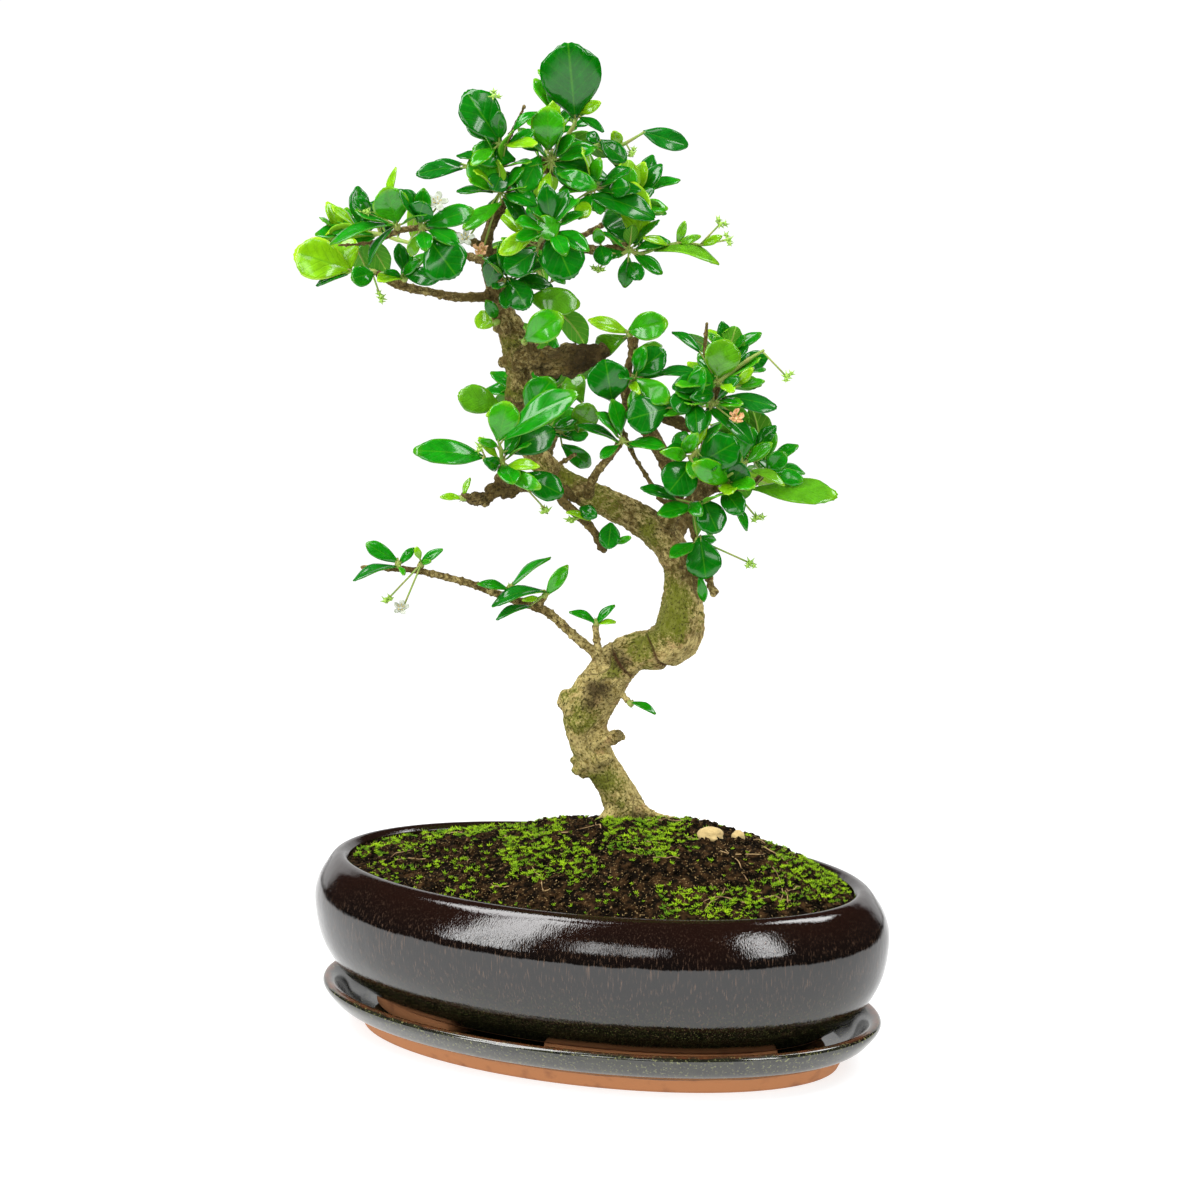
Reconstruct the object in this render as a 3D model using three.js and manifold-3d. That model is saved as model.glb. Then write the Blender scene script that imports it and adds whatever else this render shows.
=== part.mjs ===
// Fukien tea bonsai in an oval glazed pot, standing on its saucer.
// Millimetres, +Z up, +X along the pot's long axis. The origin is the middle of the saucer's foot, on the
// surface.

import * as THREE from "three";
import { mergeVertices } from "three/addons/utils/BufferGeometryUtils.js";
import Module from "manifold-3d";

const wasm = await Module();
wasm.setup();

// Clearance between pieces that touch on the real object
const SEAT_GAP = 0.3;

// Slivers thinner than this are merged away after a join
const SMOOTHING = 0.2;
const LEAST_BITE = 0.001;

// Ovals: every outline of pot and saucer has this much less half length across than along
const OVAL_DIFFERENCE = 48.3;
const OVAL_SIDES = 28;
const OVAL_CORE = 80;

// Saucer, half lengths along X and heights
const SAUCER_FOOT = 109;
const SAUCER_OUTER_WALL = [[112.5, 6.5], [120, 10], [125, 15]];
const SAUCER_RIM = 126.9;
const SAUCER_RIM_HEIGHT = 18.6;
const SAUCER_CREST = 125.2;
const SAUCER_HEIGHT = 20.5;
const SAUCER_INNER_WALL = [[121.4, 19], [116, 12]];
const SAUCER_WELL = 110;
const SAUCER_FLOOR = 8;

// Pot, half lengths along X and heights
const POT_BULGE = 130;
const POT_BULGE_HEIGHT = 54.8;
const POT_LIP = 117.5;
const POT_TOP = 75.8;
const POT_MOUTH = 114.6;
const POT_MOUTH_HEIGHT = 73.8;
const POT_BELLY = [[114, 21.5], [121, 28], [127.5, 40]];
const POT_SHOULDER = [[128.4, 64], [124.4, 71], [121, 74.8]];
const POT_INNER_WALL = [[122, 54], [118, 35]];
const POT_BASE = 104;
const POT_BASE_HEIGHT = 15;
const POT_FLOOR_HEIGHT = 22;
const POT_FLOOR = 96;
const FOOT_OUTER = 103;
const FOOT_INNER = 88;
const FOOT_BITE = 1.4;
const FOOT_STEP_DEGREES = 10;
const FOOT_ARCS_DEGREES = [[17, 63], [91, 155], [197, 243], [271, 335]];
const DRAIN_RADIUS = 6.5;
const DRAIN_SPACING = 84;
const DRAIN_SIDES = 12;

// Drain mesh strip
const MESH_LENGTH = 112;
const MESH_WIDTH = 24;
const MESH_THICKNESS = 1;
const MESH_HOLE = 4.6;
const MESH_PITCH = 6.4;

// Soil mound
const SOIL_HALF_LENGTH = 114.6;
const SOIL_FLOOR = 98;
const SOIL_SIDE = [[117.5, 35.3], [121.6, 54]];
const SOIL_EDGE_HEIGHT = 72.4;
const SOIL_RISE = 22;
const SOIL_LUMP = 1.5;
const SOIL_LEAN = { along: 16, across: 4 };
const SOIL_RING_SHARES = [0.92, 0.76, 0.54, 0.28];

// Wood
const TRUNK_BURIED = 26;
const TRUNK_RELIEF = 0.06;
const BRANCH_RELIEF = 0.05;
const END_DOME = 0.4;
const SPUR_END_RADIUS = 1.2;
const LEAST_SPUR = 2;
const SKIN_SHARE = 1.06;

// Green stems and stalks
const STEM_SIDES = 3;
const STEM_RADIUS = 1.1;
const STEM_TIP_RADIUS = 0.6;
const CROWN_RADIUS = 2.1;
const CROWN_FACE = CROWN_RADIUS / Math.sqrt(3);
const STALK_RADIUS = 0.5;
const STALK_BITE = 0.5;
const CUP_RADIUS = 1.2;
const CUP_LENGTH = 1.8;
const CUP_SIDES = 5;
const BUD_RADIUS = 0.9;
const BUD_LENGTH = 3.4;
const BUD_CORNERS = [0, 2, 5];
const PETALS = 5;
const PETAL_NOTCH = 0.5;
const PETAL_THICKNESS = 0.8;
const THROAT_RADIUS = 0.9;
const THROAT_LENGTH = 1.4;

// Leaf blades
const BLADE_THICKNESS = 1.2;
const PETIOLE_HALF_WIDTH = 0.6;
const SKIN_CLEARANCE = 0.3;
const LONG_STALK = 4.2;
const SHARPEST_BEND = -0.3;
const EARLY_SHARE = 0.3;
const SMALL_LEAF_WIDTH = 14;
const NARROW_LEAF_WIDTH = 10;
const LEAST_LEAF_SHAPE = 0.36;
const MOST_LEAF_SHAPE = 1.45;
const WAVE = 0.03;
const SHARED_ROOT_SHARE = 0.12;
const HIDING_MARGIN = 3;
const BLADE_CLEARANCE = 0.35;
const WOOD_CLEARANCE = 0.9;
const BEND_STEPS = [0, 3, -3, 6, -6, 9, -9, 12, -12, 15, -15, 18, -18, 22, -22, 26, -26];

// The viewpoint from which the plant was read off its photograph, whose frame is 1200 pixels square.
// Plant points are given as (pixel x, pixel y, behind): behind is the depth in mm past the upright plane
// through the pot's middle that faces the viewer.
const VIEW_TURN = THREE.MathUtils.degToRad(25);
const VIEW_TILT = THREE.MathUtils.degToRad(10.5);
const VIEW_DISTANCE = 1400;
const VIEW_CENTRE_HEIGHT = 192.1;
const VIEW_CENTRE_SIDE = 1.7;
const FOCAL_PIXELS = 3331;
const FRAME_CENTRE = 600;
const MM_PER_PIXEL = VIEW_DISTANCE / FOCAL_PIXELS;

const SIDEWAYS = new THREE.Vector3(Math.cos(VIEW_TURN), Math.sin(VIEW_TURN), 0);
const AWAY = new THREE.Vector3(-Math.sin(VIEW_TURN), Math.cos(VIEW_TURN), 0);
const TO_EYE = AWAY.clone().multiplyScalar(-Math.cos(VIEW_TILT)).setZ(Math.sin(VIEW_TILT));
const SIGHT_UP = TO_EYE.clone().cross(SIDEWAYS);
const EYE = SIDEWAYS.clone().multiplyScalar(VIEW_CENTRE_SIDE)
  .add(new THREE.Vector3(0, 0, VIEW_CENTRE_HEIGHT))
  .addScaledVector(TO_EYE, VIEW_DISTANCE);

// The point seen at a pixel, at a depth behind the facing plane
function spot(px, py, behind) {
  const ray = TO_EYE.clone().negate()
    .addScaledVector(SIDEWAYS, (px - FRAME_CENTRE) / FOCAL_PIXELS)
    .addScaledVector(SIGHT_UP, (FRAME_CENTRE - py) / FOCAL_PIXELS);
  const reach = (behind - EYE.dot(AWAY)) / ray.dot(AWAY);
  return EYE.clone().addScaledVector(ray, reach);
}

// The pixel at which a point is seen
function pixelOf(point) {
  const q = point.clone().sub(EYE);
  const depth = -q.dot(TO_EYE);
  return [
    FRAME_CENTRE + (FOCAL_PIXELS * q.dot(SIDEWAYS)) / depth,
    FRAME_CENTRE - (FOCAL_PIXELS * q.dot(SIGHT_UP)) / depth,
  ];
}

// A repeatable draw between 0 and 1 for a numbered thing and a numbered use
function draw(number, use) {
  const wave = Math.sin(number * 12.9898 + use * 78.233) * 43758.5453;
  return wave - Math.floor(wave);
}

// Wood: each limb is a route of (pixel x, pixel y, behind, radius in pixels)
const LIMBS = {
  trunk: { sides: 9, spans: 1, route: [ [628, 817, 25, 21], [612, 782, 24, 17.5], [594, 757, 22, 18.7],
    [586, 733, 20, 21], [588, 706, 18, 24], [602, 684, 16, 23.5], [619, 663, 14, 21.5],
    [638, 652, 12, 19.5], [660, 648, 10, 21.5], [676, 636, 8, 24.5], [681, 612, 6, 22.5],
    [682, 590, 5, 18.5], [681, 570, 5, 16.5], [674, 552, 5, 16.8], [658, 532, 6, 16.5], [638, 518, 7, 15.5],
    [612, 506, 8, 14.7], [585, 494, 8, 14], [560, 480, 8, 13.2], [544, 464, 8, 12.6], [532, 446, 9, 12.4],
    [522, 425, 9, 12], [517, 401, 9, 12], [518, 376, 9, 12], [515, 350, 8, 13], [509, 327, 7, 12],
    [502, 306, 6, 10.5], [494, 286, 5, 8.8], [488, 262, 4, 6.6], [487, 238, 3, 5.6], [497, 214, 3, 5],
    [513, 192, 4, 4.6], [532, 173, 4, 4.2], [551, 157, 4, 3.8]] },
  rootFlareLeft: { sides: 5, spans: 1, route: [ [622, 806, 22, 10], [600, 826, 16, 7.5],
    [584, 846, 10, 5]] },
  rootFlareBack: { sides: 5, spans: 1, route: [ [632, 806, 30, 10], [644, 822, 42, 7], [652, 846, 52, 5]] },
  surfaceRoot: { sides: 5, spans: 1, route: [ [638, 806, 22, 6], [655, 815, 18, 3.4], [676, 820, 16, 2.8],
    [698, 825, 14, 2.4], [724, 834, 12, 2]] },
  stubRight: { sides: 6, spans: 1, route: [[596, 742, 16, 9], [610, 738, 10, 7.5], [619, 735, 6, 6.5]] },
  lowBranch: { sides: 6, spans: 1, route: [ [612, 664, 15, 7], [589, 648, 14, 5.2], [568, 630, 12, 4.6],
    [547, 612, 10, 4.6], [525, 604, 8, 4.4], [500, 595, 6, 4.2], [472, 584, 4, 3.9], [445, 577, 2, 3.6],
    [420, 571, 0, 3.3], [398, 569, -2, 3.1], [375, 568, -3, 2.8], [361, 567, -3, 2.3]] },
  lowStub: { sides: 5, spans: 1, route: [[604, 676, 12, 6], [597, 642, 4, 3.8], [596, 626, 2, 3.5]] },
  leftBranch: { sides: 6, spans: 1, route: [ [496, 297, 5, 6], [478, 297, 2, 5], [455, 297, -2, 4.6],
    [430, 292, -6, 4.3], [405, 287, -9, 4.3], [390, 281, -10, 4.2], [377, 273, -10, 4.2]] },
  upperLeftBranch: { sides: 5, spans: 1, route: [ [488, 248, 4, 4.4], [462, 238, -6, 3.8],
    [440, 229, -13, 3.4], [418, 228, -17, 3.2], [398, 231, -18, 3], [380, 240, -18, 2.2],
    [360, 244, -18, 1.8], [338, 245, -18, 1.5]] },
  knobblyBranch: { sides: 6, spans: 1, route: [ [515, 354, 8, 10], [532, 360, 2, 9], [552, 362, -2, 10],
    [574, 360, -4, 10.5], [592, 356, -5, 8], [605, 347, -6, 6]] },
  midRightBranch: { sides: 6, spans: 1, route: [ [664, 526, 7, 9], [676, 500, 8, 8], [668, 466, 4, 7.5],
    [654, 440, 0, 8], [640, 419, -3, 8.5], [627, 402, -5, 7.5]] },
  midRightArm: { sides: 6, spans: 1, route: [ [636, 410, -3, 7.5], [656, 412, -6, 7], [676, 421, -9, 6.5],
    [691, 427, -12, 5], [706, 414, -13, 3.4], [716, 400, -13, 3.2], [718, 386, -13, 3]] },
  risingStub: { sides: 5, spans: 1, route: [ [627, 404, -5, 6], [626, 386, -6, 4.6], [628, 370, -7, 4.2],
    [632, 352, -8, 4], [631, 338, -8, 4.2]] },
  risingStubFork: { sides: 4, spans: 1, route: [[633, 352, -8, 3], [637, 340, -9, 2.2],
    [638, 334, -9, 2]] },
  knottyBranch: { sides: 6, spans: 1, route: [ [664, 522, 5, 10], [680, 509, 0, 7.5], [697, 498, -5, 6.6],
    [704, 482, -10, 5], [702, 466, -14, 4], [698, 452, -17, 3.4]] },
  rightBranch: { sides: 5, spans: 1, route: [ [699, 497, -5, 5], [716, 488, -7, 4.4], [734, 487, -8, 4],
    [750, 486, -8, 4], [762, 476, -8, 3.2]] },
  hangingBranch: { sides: 5, spans: 1, route: [ [682, 504, 0, 5], [689, 520, -3, 4], [695, 537, -5, 3.6],
    [703, 562, -4, 3.2], [709, 578, -2, 4], [712, 591, -1, 3]] },
  bareTwig: { sides: 4, spans: 1, route: [ [672, 504, 6, 3.2], [661, 500, -2, 2.6], [655, 490, -6, 2.6],
    [645, 474, -9, 2.4], [634, 456, -12, 2.4], [625, 436, -13, 2.3], [619, 420, -13, 2.2],
    [614, 400, -12, 2]] },
  bareTwigRight: { sides: 4, spans: 1, route: [ [716, 400, -13, 2.8], [706, 372, -8, 2.4],
    [705, 350, -6, 2.3], [707, 322, -6, 1.9]] },
  slantTwig: { sides: 5, spans: 1, route: [ [587, 498, 6, 5], [594, 477, -4, 4.2], [606, 461, -8, 4],
    [618, 446, -10, 3.6], [627, 434, -11, 2.6]] },
  shortTwig: { sides: 4, spans: 1, route: [[552, 475, 7, 4], [557, 466, -4, 2.6], [576, 454, -7, 2.4]] },
  midLeftSpur: { sides: 6, spans: 1, route: [ [546, 482, 6, 7], [528, 486, 0, 6.5], [510, 488, -5, 6],
    [496, 492, -8, 5.5], [482, 500, -10, 5], [467, 498, -11, 4]] },
  midLeftRiser: { sides: 5, spans: 1, route: [[508, 488, -5, 5], [503, 477, -9, 4.6],
    [502, 466, -12, 3.6]] },
  lowerMidTwig: { sides: 5, spans: 1, route: [ [560, 488, 6, 6], [562, 500, 2, 5], [576, 513, -3, 4.6],
    [592, 529, -6, 4.4], [602, 545, -8, 4]] },
  topSideTwig: { sides: 4, spans: 1, route: [ [512, 194, 4, 3.6], [502, 176, 2, 3], [502, 158, 0, 2.6],
    [506, 145, -2, 2.4], [514, 128, -4, 2], [525, 105, -5, 1.6]] },
  rightTopBranch: { sides: 5, spans: 1, route: [ [489, 256, 4, 5], [516, 246, 8, 4.6], [545, 246, 9, 4.4],
    [575, 248, 8, 4.4], [603, 250, 6, 4.6], [628, 246, 5, 4.6]] },
  crownFork: { sides: 4, spans: 1, route: [ [538, 168, 4, 3.4], [560, 176, 3, 2.8], [585, 184, 1, 2.6],
    [608, 191, 0, 2.2]] },
  frontRiser: { sides: 4, spans: 1, route: [ [546, 246, 9, 3.6], [546, 238, -4, 3], [549, 230, -14, 2.6]] },
  backRiser: { sides: 4, spans: 1, route: [ [516, 352, 10, 7], [530, 345, 28, 5.5], [545, 330, 42, 4.4],
    [552, 310, 50, 3.4]] },
  backLeft: { sides: 4, spans: 1, route: [ [488, 262, 6, 4.6], [468, 256, 20, 3.8], [440, 248, 30, 3],
    [415, 244, 36, 2.4]] },
  backTop: { sides: 4, spans: 1, route: [ [511, 195, 5, 3.6], [528, 186, 20, 3], [542, 170, 34, 2.4]] },
  backMiddle: { sides: 4, spans: 1, route: [ [545, 468, 12, 6.5], [548, 452, 28, 5], [556, 432, 40, 4],
    [564, 416, 48, 3]] },
  backRight: { sides: 4, spans: 1, route: [ [672, 548, 10, 8], [684, 520, 26, 6], [694, 490, 38, 5],
    [702, 458, 48, 4], [706, 430, 56, 3]] },
  backRightLow: { sides: 4, spans: 1, route: [ [692, 495, 38, 4], [712, 484, 48, 3.2],
    [730, 474, 56, 2.6]] },
  backHigh: { sides: 4, spans: 1, route: [ [558, 247, 8.5, 3.8], [590, 232, 24, 3], [616, 216, 34, 2.4]] },
};

// Knots, spur knobs and bumps on the bark: (pixel x, pixel y, behind, radius in pixels)
const KNOBS = [
  [569, 700, 14, 13], [578, 770, 20, 7], [604, 758, 14, 9], [655, 640, 4, 12], [692, 622, 2, 9],
  [567, 350, -2, 8], [548, 372, -4, 6], [700, 499, -9, 7], [500, 478, -9, 6],
];

// Leafy shoots. perch is where the shoot stands on its spur, limb the wood that the spur grows from, stems
// the green stems as (x, y, behind) routes, leaves (base x, base y, tip x, tip y, seen width) in pixels with
// how far the tip comes towards the viewer in mm where it is known, and buds (x, y) clusters on thin stalks.
const SHOOTS = {
  left_spur_shoot: { limb: "upperLeftBranch", perch: [397, 226, -20], stems: [], leaves: [
    [397, 222, 385, 187, 34], [390, 200, 396, 167, 8], [372, 212, 354, 197, 12],
    [392, 224, 330, 245, 12, 6], [392, 228, 368, 265, 9, 8]], buds: [[365, 212]] },
  left_front_shoot: { limb: "upperLeftBranch", perch: [421, 227, -22], stems: [], leaves: [
    [428, 238, 457, 277, 42, 8], [418, 222, 424, 202, 24], [418, 212, 403, 190, 16],
    [424, 226, 474, 210, 20], [417, 236, 411, 256, 12]], buds: [] },
  left_end_shoot: { limb: "leftBranch", perch: [372, 272, -10], stems: [[[372, 272, -10], [350, 271, -8]]],
    leaves: [[350, 270, 294, 252, 40], [350, 272, 338, 238, 32, -6], [347, 274, 316, 286, 9, 4],
    [374, 273, 351, 279, 20, 10]], buds: [[381, 298, 4]] },
  left_middle_shoot: { limb: "leftBranch", perch: [404, 280, -12], stems: [], leaves: [
    [402, 276, 412, 253, 9, -4], [403, 275, 420, 259, 10, 8], [405, 275, 441, 278, 18, 12],
    [401, 277, 384, 271, 9, 10]], buds: [] },
  crown_left_shoot: { limb: "topSideTwig", perch: [501, 144, -9], stems: [], leaves: [
    [500, 143, 466, 91, 38], [513, 131, 537, 112, 9], [508, 146, 535, 130, 12]], buds: [[493, 97]] },
  crown_back_left_shoot: { limb: "topSideTwig", perch: [501, 166, -3], stems: [[[501, 166, -3],
    [480, 168, 2], [463, 166, 6]]], leaves: [[515, 160, 472, 150, 26, 4], [462, 164, 428, 168, 12],
    [462, 168, 416, 175, 16, 6], [504, 170, 494, 191, 20, 6]], buds: [] },
  crown_left_front_shoot: { limb: "topSideTwig", perch: [501, 190, -4], stems: [], leaves: [
    [499, 190, 470, 158, 28, 6], [501, 203, 463, 230, 16, 8]], buds: [] },
  crown_middle_shoot: { limb: "trunk", perch: [551, 160, 0], stems: [], leaves: [
    [548, 150, 548, 106, 32, 6], [540, 156, 521, 193, 24, 10], [550, 173, 540, 203, 12, 14],
    [553, 172, 597, 188, 18, 12], [552, 163, 609, 180, 16], [556, 156, 598, 148, 13, -8],
    [542, 150, 522, 138, 16, -8]], buds: [] },
  crown_tip_shoot: { limb: "trunk", perch: [553, 152, 5], stems: [[[553, 152, 5], [563, 141, 6],
    [572, 129, 6], [577, 116, 6], [578, 99, 5], [577, 90, 5]]], leaves: [[575, 118, 568, 42, 57],
    [578, 99, 551, 86, 17, -6], [577, 90, 569, 72, 8, 4], [580, 113, 601, 102, 12, 5],
    [580, 117, 604, 132, 9, 8], [575, 126, 590, 120, 9, -8]], buds: [] },
  crown_right_shoot: { limb: "trunk", perch: [558, 163, 9], stems: [[[558, 163, 9], [578, 152, 10],
    [602, 144, 12], [620, 146, 12], [643, 133, 12]]], leaves: [[600, 145, 588, 133, 12, -6],
    [600, 140, 626, 162, 18, 10], [620, 146, 613, 131, 12, 4], [643, 132, 688, 146, 20]],
    buds: [[632, 154]] },
  crown_low_right_shoot: { limb: "crownFork", perch: [594, 188, -1], stems: [], leaves: [
    [585, 196, 655, 219, 24, 6], [608, 191, 630, 186, 18, 10], [576, 200, 588, 217, 16, 12]], buds: [] },
  right_top_shoot: { limb: "rightTopBranch", perch: [629, 250, 2], stems: [[[629, 250, 2], [640, 254, 3],
    [660, 247, 2], [682, 243, 1], [702, 245, 0]], [[629, 250, 2], [618, 256, -3], [605, 250, -5]]],
    leaves: [[640, 243, 632, 182, 30, -6], [640, 244, 610, 207, 34, 6], [655, 250, 719, 265, 14, 6],
    [678, 243, 685, 221, 9], [680, 243, 701, 236, 8, 6], [702, 245, 722, 236, 9],
    [668, 245, 643, 238, 8, 8], [628, 262, 641, 280, 16, 12], [600, 246, 606, 265, 18, 12],
    [600, 244, 597, 228, 12, 6]], buds: [[720, 224], [728, 240], [598, 270]] },
  crown_front_shoot: { limb: "frontRiser", perch: [550, 229, -17], stems: [[[550, 229, -17],
    [556, 222, -18], [562, 210, -17]], [[550, 229, -17], [541, 240, -18], [537, 248, -17]]], leaves: [
    [550, 230, 572, 279, 40, 8], [561, 222, 537, 232, 24, 6], [538, 229, 499, 254, 17, 4],
    [562, 210, 572, 196, 14, -6], [536, 251, 505, 272, 28, 6], [537, 255, 565, 284, 14, -4]],
    buds: [[526, 242]] },
  centre_spur_shoot: { limb: "trunk", perch: [506, 281, -6], stems: [], leaves: [
    [508, 278, 528, 309, 26, 10], [488, 286, 500, 254, 22, 4], [530, 298, 580, 305, 26, 2]], buds: [] },
  knobbly_shoot: { limb: "knobblyBranch", perch: [525, 343, -8], stems: [], leaves: [
    [525, 340, 563, 315, 30, 10]], buds: [] },
  trunk_left_high_shoot: { limb: "trunk", perch: [497, 322, 2], stems: [], leaves: [
    [497, 322, 475, 319, 18, -6], [497, 318, 486, 300, 12, -8]], buds: [] },
  trunk_left_shoot: { limb: "trunk", perch: [503, 406, 4], stems: [], leaves: [[501, 407, 458, 394, 27, 4],
    [500, 410, 486, 416, 9, 10]], buds: [] },
  rosette_shoot: { limb: "midLeftRiser", perch: [502, 463, -15], stems: [[[502, 463, -15], [501, 450, -19],
    [499, 443, -20]], [[502, 463, -15], [492, 462, -21], [483, 458, -24]]], leaves: [
    [498, 441, 508, 401, 30, 4], [503, 440, 578, 393, 28, 10], [504, 452, 555, 430, 30, -6],
    [497, 446, 478, 440, 9, 8], [483, 457, 413, 451, 24, 4], [499, 466, 483, 460, 14, 14],
    [505, 468, 540, 467, 11, 12], [508, 473, 541, 488, 15, 16], [522, 474, 563, 495, 26, 6]],
    buds: [[480, 446], [547, 511]] },
  trunk_front_shoot: { limb: "trunk", perch: [527, 414, 0], stems: [], leaves: [[528, 412, 553, 378, 34, 8],
    [530, 416, 545, 408, 10, -10]], buds: [] },
  middle_behind_shoot: { limb: "trunk", perch: [545, 432, 18], stems: [[[545, 432, 18], [562, 431, 22],
    [578, 425, 24]]], leaves: [[552, 430, 580, 412, 24, -6], [578, 432, 591, 404, 26],
    [582, 402, 570, 376, 24, -10], [565, 436, 588, 434, 14, -6], [562, 445, 590, 466, 18, -8]], buds: [] },
  round_leaf_shoot: { limb: "bareTwig", perch: [612, 394, -12], stems: [], leaves: [
    [612, 401, 605, 359, 40, 6]], buds: [] },
  slant_twig_shoot: { limb: "slantTwig", perch: [623, 440, -15], stems: [], leaves: [
    [620, 443, 576, 425, 9, 4], [628, 446, 650, 440, 10, -8]], buds: [] },
  spur_end_shoot: { limb: "midLeftSpur", perch: [462, 498, -12], stems: [], leaves: [
    [461, 498, 440, 497, 7], [464, 495, 470, 478, 6, -4]], buds: [] },
  lower_mid_shoot: { limb: "lowerMidTwig", perch: [588, 518, -8], stems: [], leaves: [
    [580, 508, 597, 517, 14, 6], [590, 520, 566, 512, 6, 6]], buds: [[570, 520]] },
  lower_mid_tip_shoot: { limb: "lowerMidTwig", perch: [606, 540, -10], stems: [], leaves: [
    [611, 523, 608, 549, 20, 7], [616, 543, 631, 537, 7]], buds: [] },
  rising_tip_shoot: { limb: "risingStub", perch: [629, 333, -8], stems: [], leaves: [
    [627, 332, 588, 320, 14, 4], [629, 331, 668, 322, 27, 6], [626, 337, 596, 350, 22, -10]], buds: [] },
  rising_side_shoot: { limb: "risingStub", perch: [633, 378, -11], stems: [], leaves: [
    [633, 376, 665, 350, 26, 2], [635, 379, 670, 402, 21, 8], [634, 352, 662, 346, 12, -12],
    [630, 382, 640, 394, 9, 12]], buds: [] },
  right_node_shoot: { limb: "midRightArm", perch: [718, 382, -15], stems: [[[718, 382, -15],
    [732, 372, -16], [748, 360, -16], [764, 350, -15]], [[720, 384, -15], [728, 390, -17],
    [738, 386, -18]]], leaves: [[717, 378, 727, 339, 34, 4], [716, 376, 672, 388, 19, 6],
    [735, 366, 767, 357, 18, -6], [738, 384, 753, 368, 10, 4], [740, 386, 765, 381, 9, 2],
    [703, 374, 657, 374, 11, -4], [700, 352, 672, 332, 10, -4]], buds: [[787, 377]] },
  right_node_low_shoot: { limb: "midRightArm", perch: [713, 404, -16], stems: [], leaves: [
    [722, 397, 777, 408, 17, 4], [714, 394, 690, 398, 14, 10], [708, 408, 753, 445, 17, 6],
    [720, 400, 739, 404, 5, 8]], buds: [] },
  right_front_shoot: { limb: "midRightArm", perch: [694, 408, -16], stems: [], leaves: [
    [695, 403, 697, 434, 20, 10], [690, 391, 675, 411, 22, 8], [668, 408, 627, 420, 36, 8]], buds: [] },
  right_heart_shoot: { limb: "knottyBranch", perch: [697, 452, -20], stems: [[[697, 452, -20],
    [690, 458, -24], [694, 464, -27]]], leaves: [[700, 463, 738, 441, 36, 8], [692, 463, 668, 493, 36, 6],
    [683, 453, 698, 433, 14, 12], [686, 456, 660, 452, 13, 8], [688, 448, 676, 434, 18, -10]], buds: [] },
  right_glossy_shoot: { limb: "rightBranch", perch: [727, 483, -12], stems: [[[727, 483, -12],
    [730, 486, -17]], [[714, 485, -14], [722, 480, -18], [733, 473, -20]]], leaves: [
    [730, 481, 692, 464, 22, 10], [730, 486, 744, 464, 26, 6], [724, 490, 742, 514, 22, 12],
    [734, 505, 747, 531, 9]], buds: [[757, 518]] },
  right_low_shoot: { limb: "knottyBranch", perch: [700, 502, -14], stems: [], leaves: [
    [703, 500, 718, 533, 28, 6], [676, 499, 640, 488, 11, 6], [690, 503, 702, 516, 14, 12]], buds: [] },
  right_end_shoot: { limb: "rightBranch", perch: [765, 473, -9], stems: [[[757, 476, -13], [765, 473, -9]]],
    leaves: [[767, 470, 786, 453, 18, 4], [768, 470, 804, 482, 15, 8], [750, 470, 785, 486, 10, 6],
    [752, 489, 838, 496, 24, 10]], buds: [] },
  hanging_shoot: { limb: "hangingBranch", perch: [699, 540, -8], stems: [], leaves: [
    [700, 536, 706, 579, 34, 4], [700, 576, 704, 602, 10, -4], [697, 538, 716, 540, 9, -8]],
    buds: [[750, 563]] },
  low_tip_shoot: { limb: "lowBranch", perch: [398, 564, -3], stems: [], leaves: [[398, 562, 366, 543, 15],
    [396, 566, 353, 581, 9, 4], [400, 563, 414, 548, 9, -4], [395, 560, 404, 575, 5, 6]], buds: [] },
  low_tip_inner_shoot: { limb: "lowBranch", perch: [421, 565, -4], stems: [], leaves: [
    [420, 563, 416, 547, 7], [421, 563, 443, 549, 9, 4], [422, 563, 431, 561, 5, 6]],
    buds: [[386, 601, -3]] },
  low_middle_shoot: { limb: "lowBranch", perch: [509, 589, 5], stems: [], leaves: [
    [508, 589, 477, 584, 9, 8], [510, 588, 551, 557, 8, -4]], buds: [] },
  low_inner_shoot: { limb: "lowBranch", perch: [544, 597, 6], stems: [], leaves: [
    [545, 591, 492, 607, 12, 8], [547, 594, 568, 565, 14], [538, 598, 522, 600, 6, 8],
    [530, 606, 496, 620, 8, 10]], buds: [] },
  low_stub_shoot: { limb: "lowStub", perch: [596, 623, 2], stems: [], leaves: [[596, 623, 569, 612, 8, 2],
    [597, 623, 615, 605, 8, 2], [599, 623, 616, 622, 5, 4]], buds: [] },
  trunk_base_leaf: { limb: "trunk", perch: [629, 702, 8], stems: [], leaves: [[632, 702, 656, 714, 7, 4]],
    buds: [] },
};

// Leafy shoots behind the ones seen: route of the green stem as (pixel x, pixel y, behind) and number of
// leaves
const BACK_SHOOTS = {
  back_left_shoot: { limb: "backLeft", leaves: 7, route: [ [415, 244, 36], [398, 240, 42], [380, 234, 50],
    [362, 232, 56], [345, 238, 60]] },
  back_crown_shoot: { limb: "backTop", leaves: 8, route: [ [542, 170, 34], [546, 152, 42], [552, 134, 52],
    [556, 116, 58], [560, 100, 60]] },
  back_high_shoot: { limb: "backHigh", leaves: 7, route: [ [616, 216, 34], [628, 208, 42], [634, 200, 52],
    [640, 192, 60]] },
  back_centre_shoot: { limb: "backRiser", leaves: 8, route: [ [552, 310, 50], [548, 290, 58],
    [540, 272, 64], [534, 256, 72], [530, 240, 76]] },
  back_middle_shoot: { limb: "backMiddle", leaves: 9, route: [ [564, 416, 48], [562, 402, 58],
    [552, 390, 68], [540, 380, 76], [528, 396, 84]] },
  back_right_shoot: { limb: "backRight", leaves: 9, route: [ [706, 430, 56], [708, 408, 66], [714, 388, 74],
    [722, 372, 80], [728, 356, 84]] },
  back_right_low_shoot: { limb: "backRightLow", leaves: 7, route: [ [730, 474, 56], [742, 466, 64],
    [752, 458, 72], [764, 466, 80]] },
};
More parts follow.
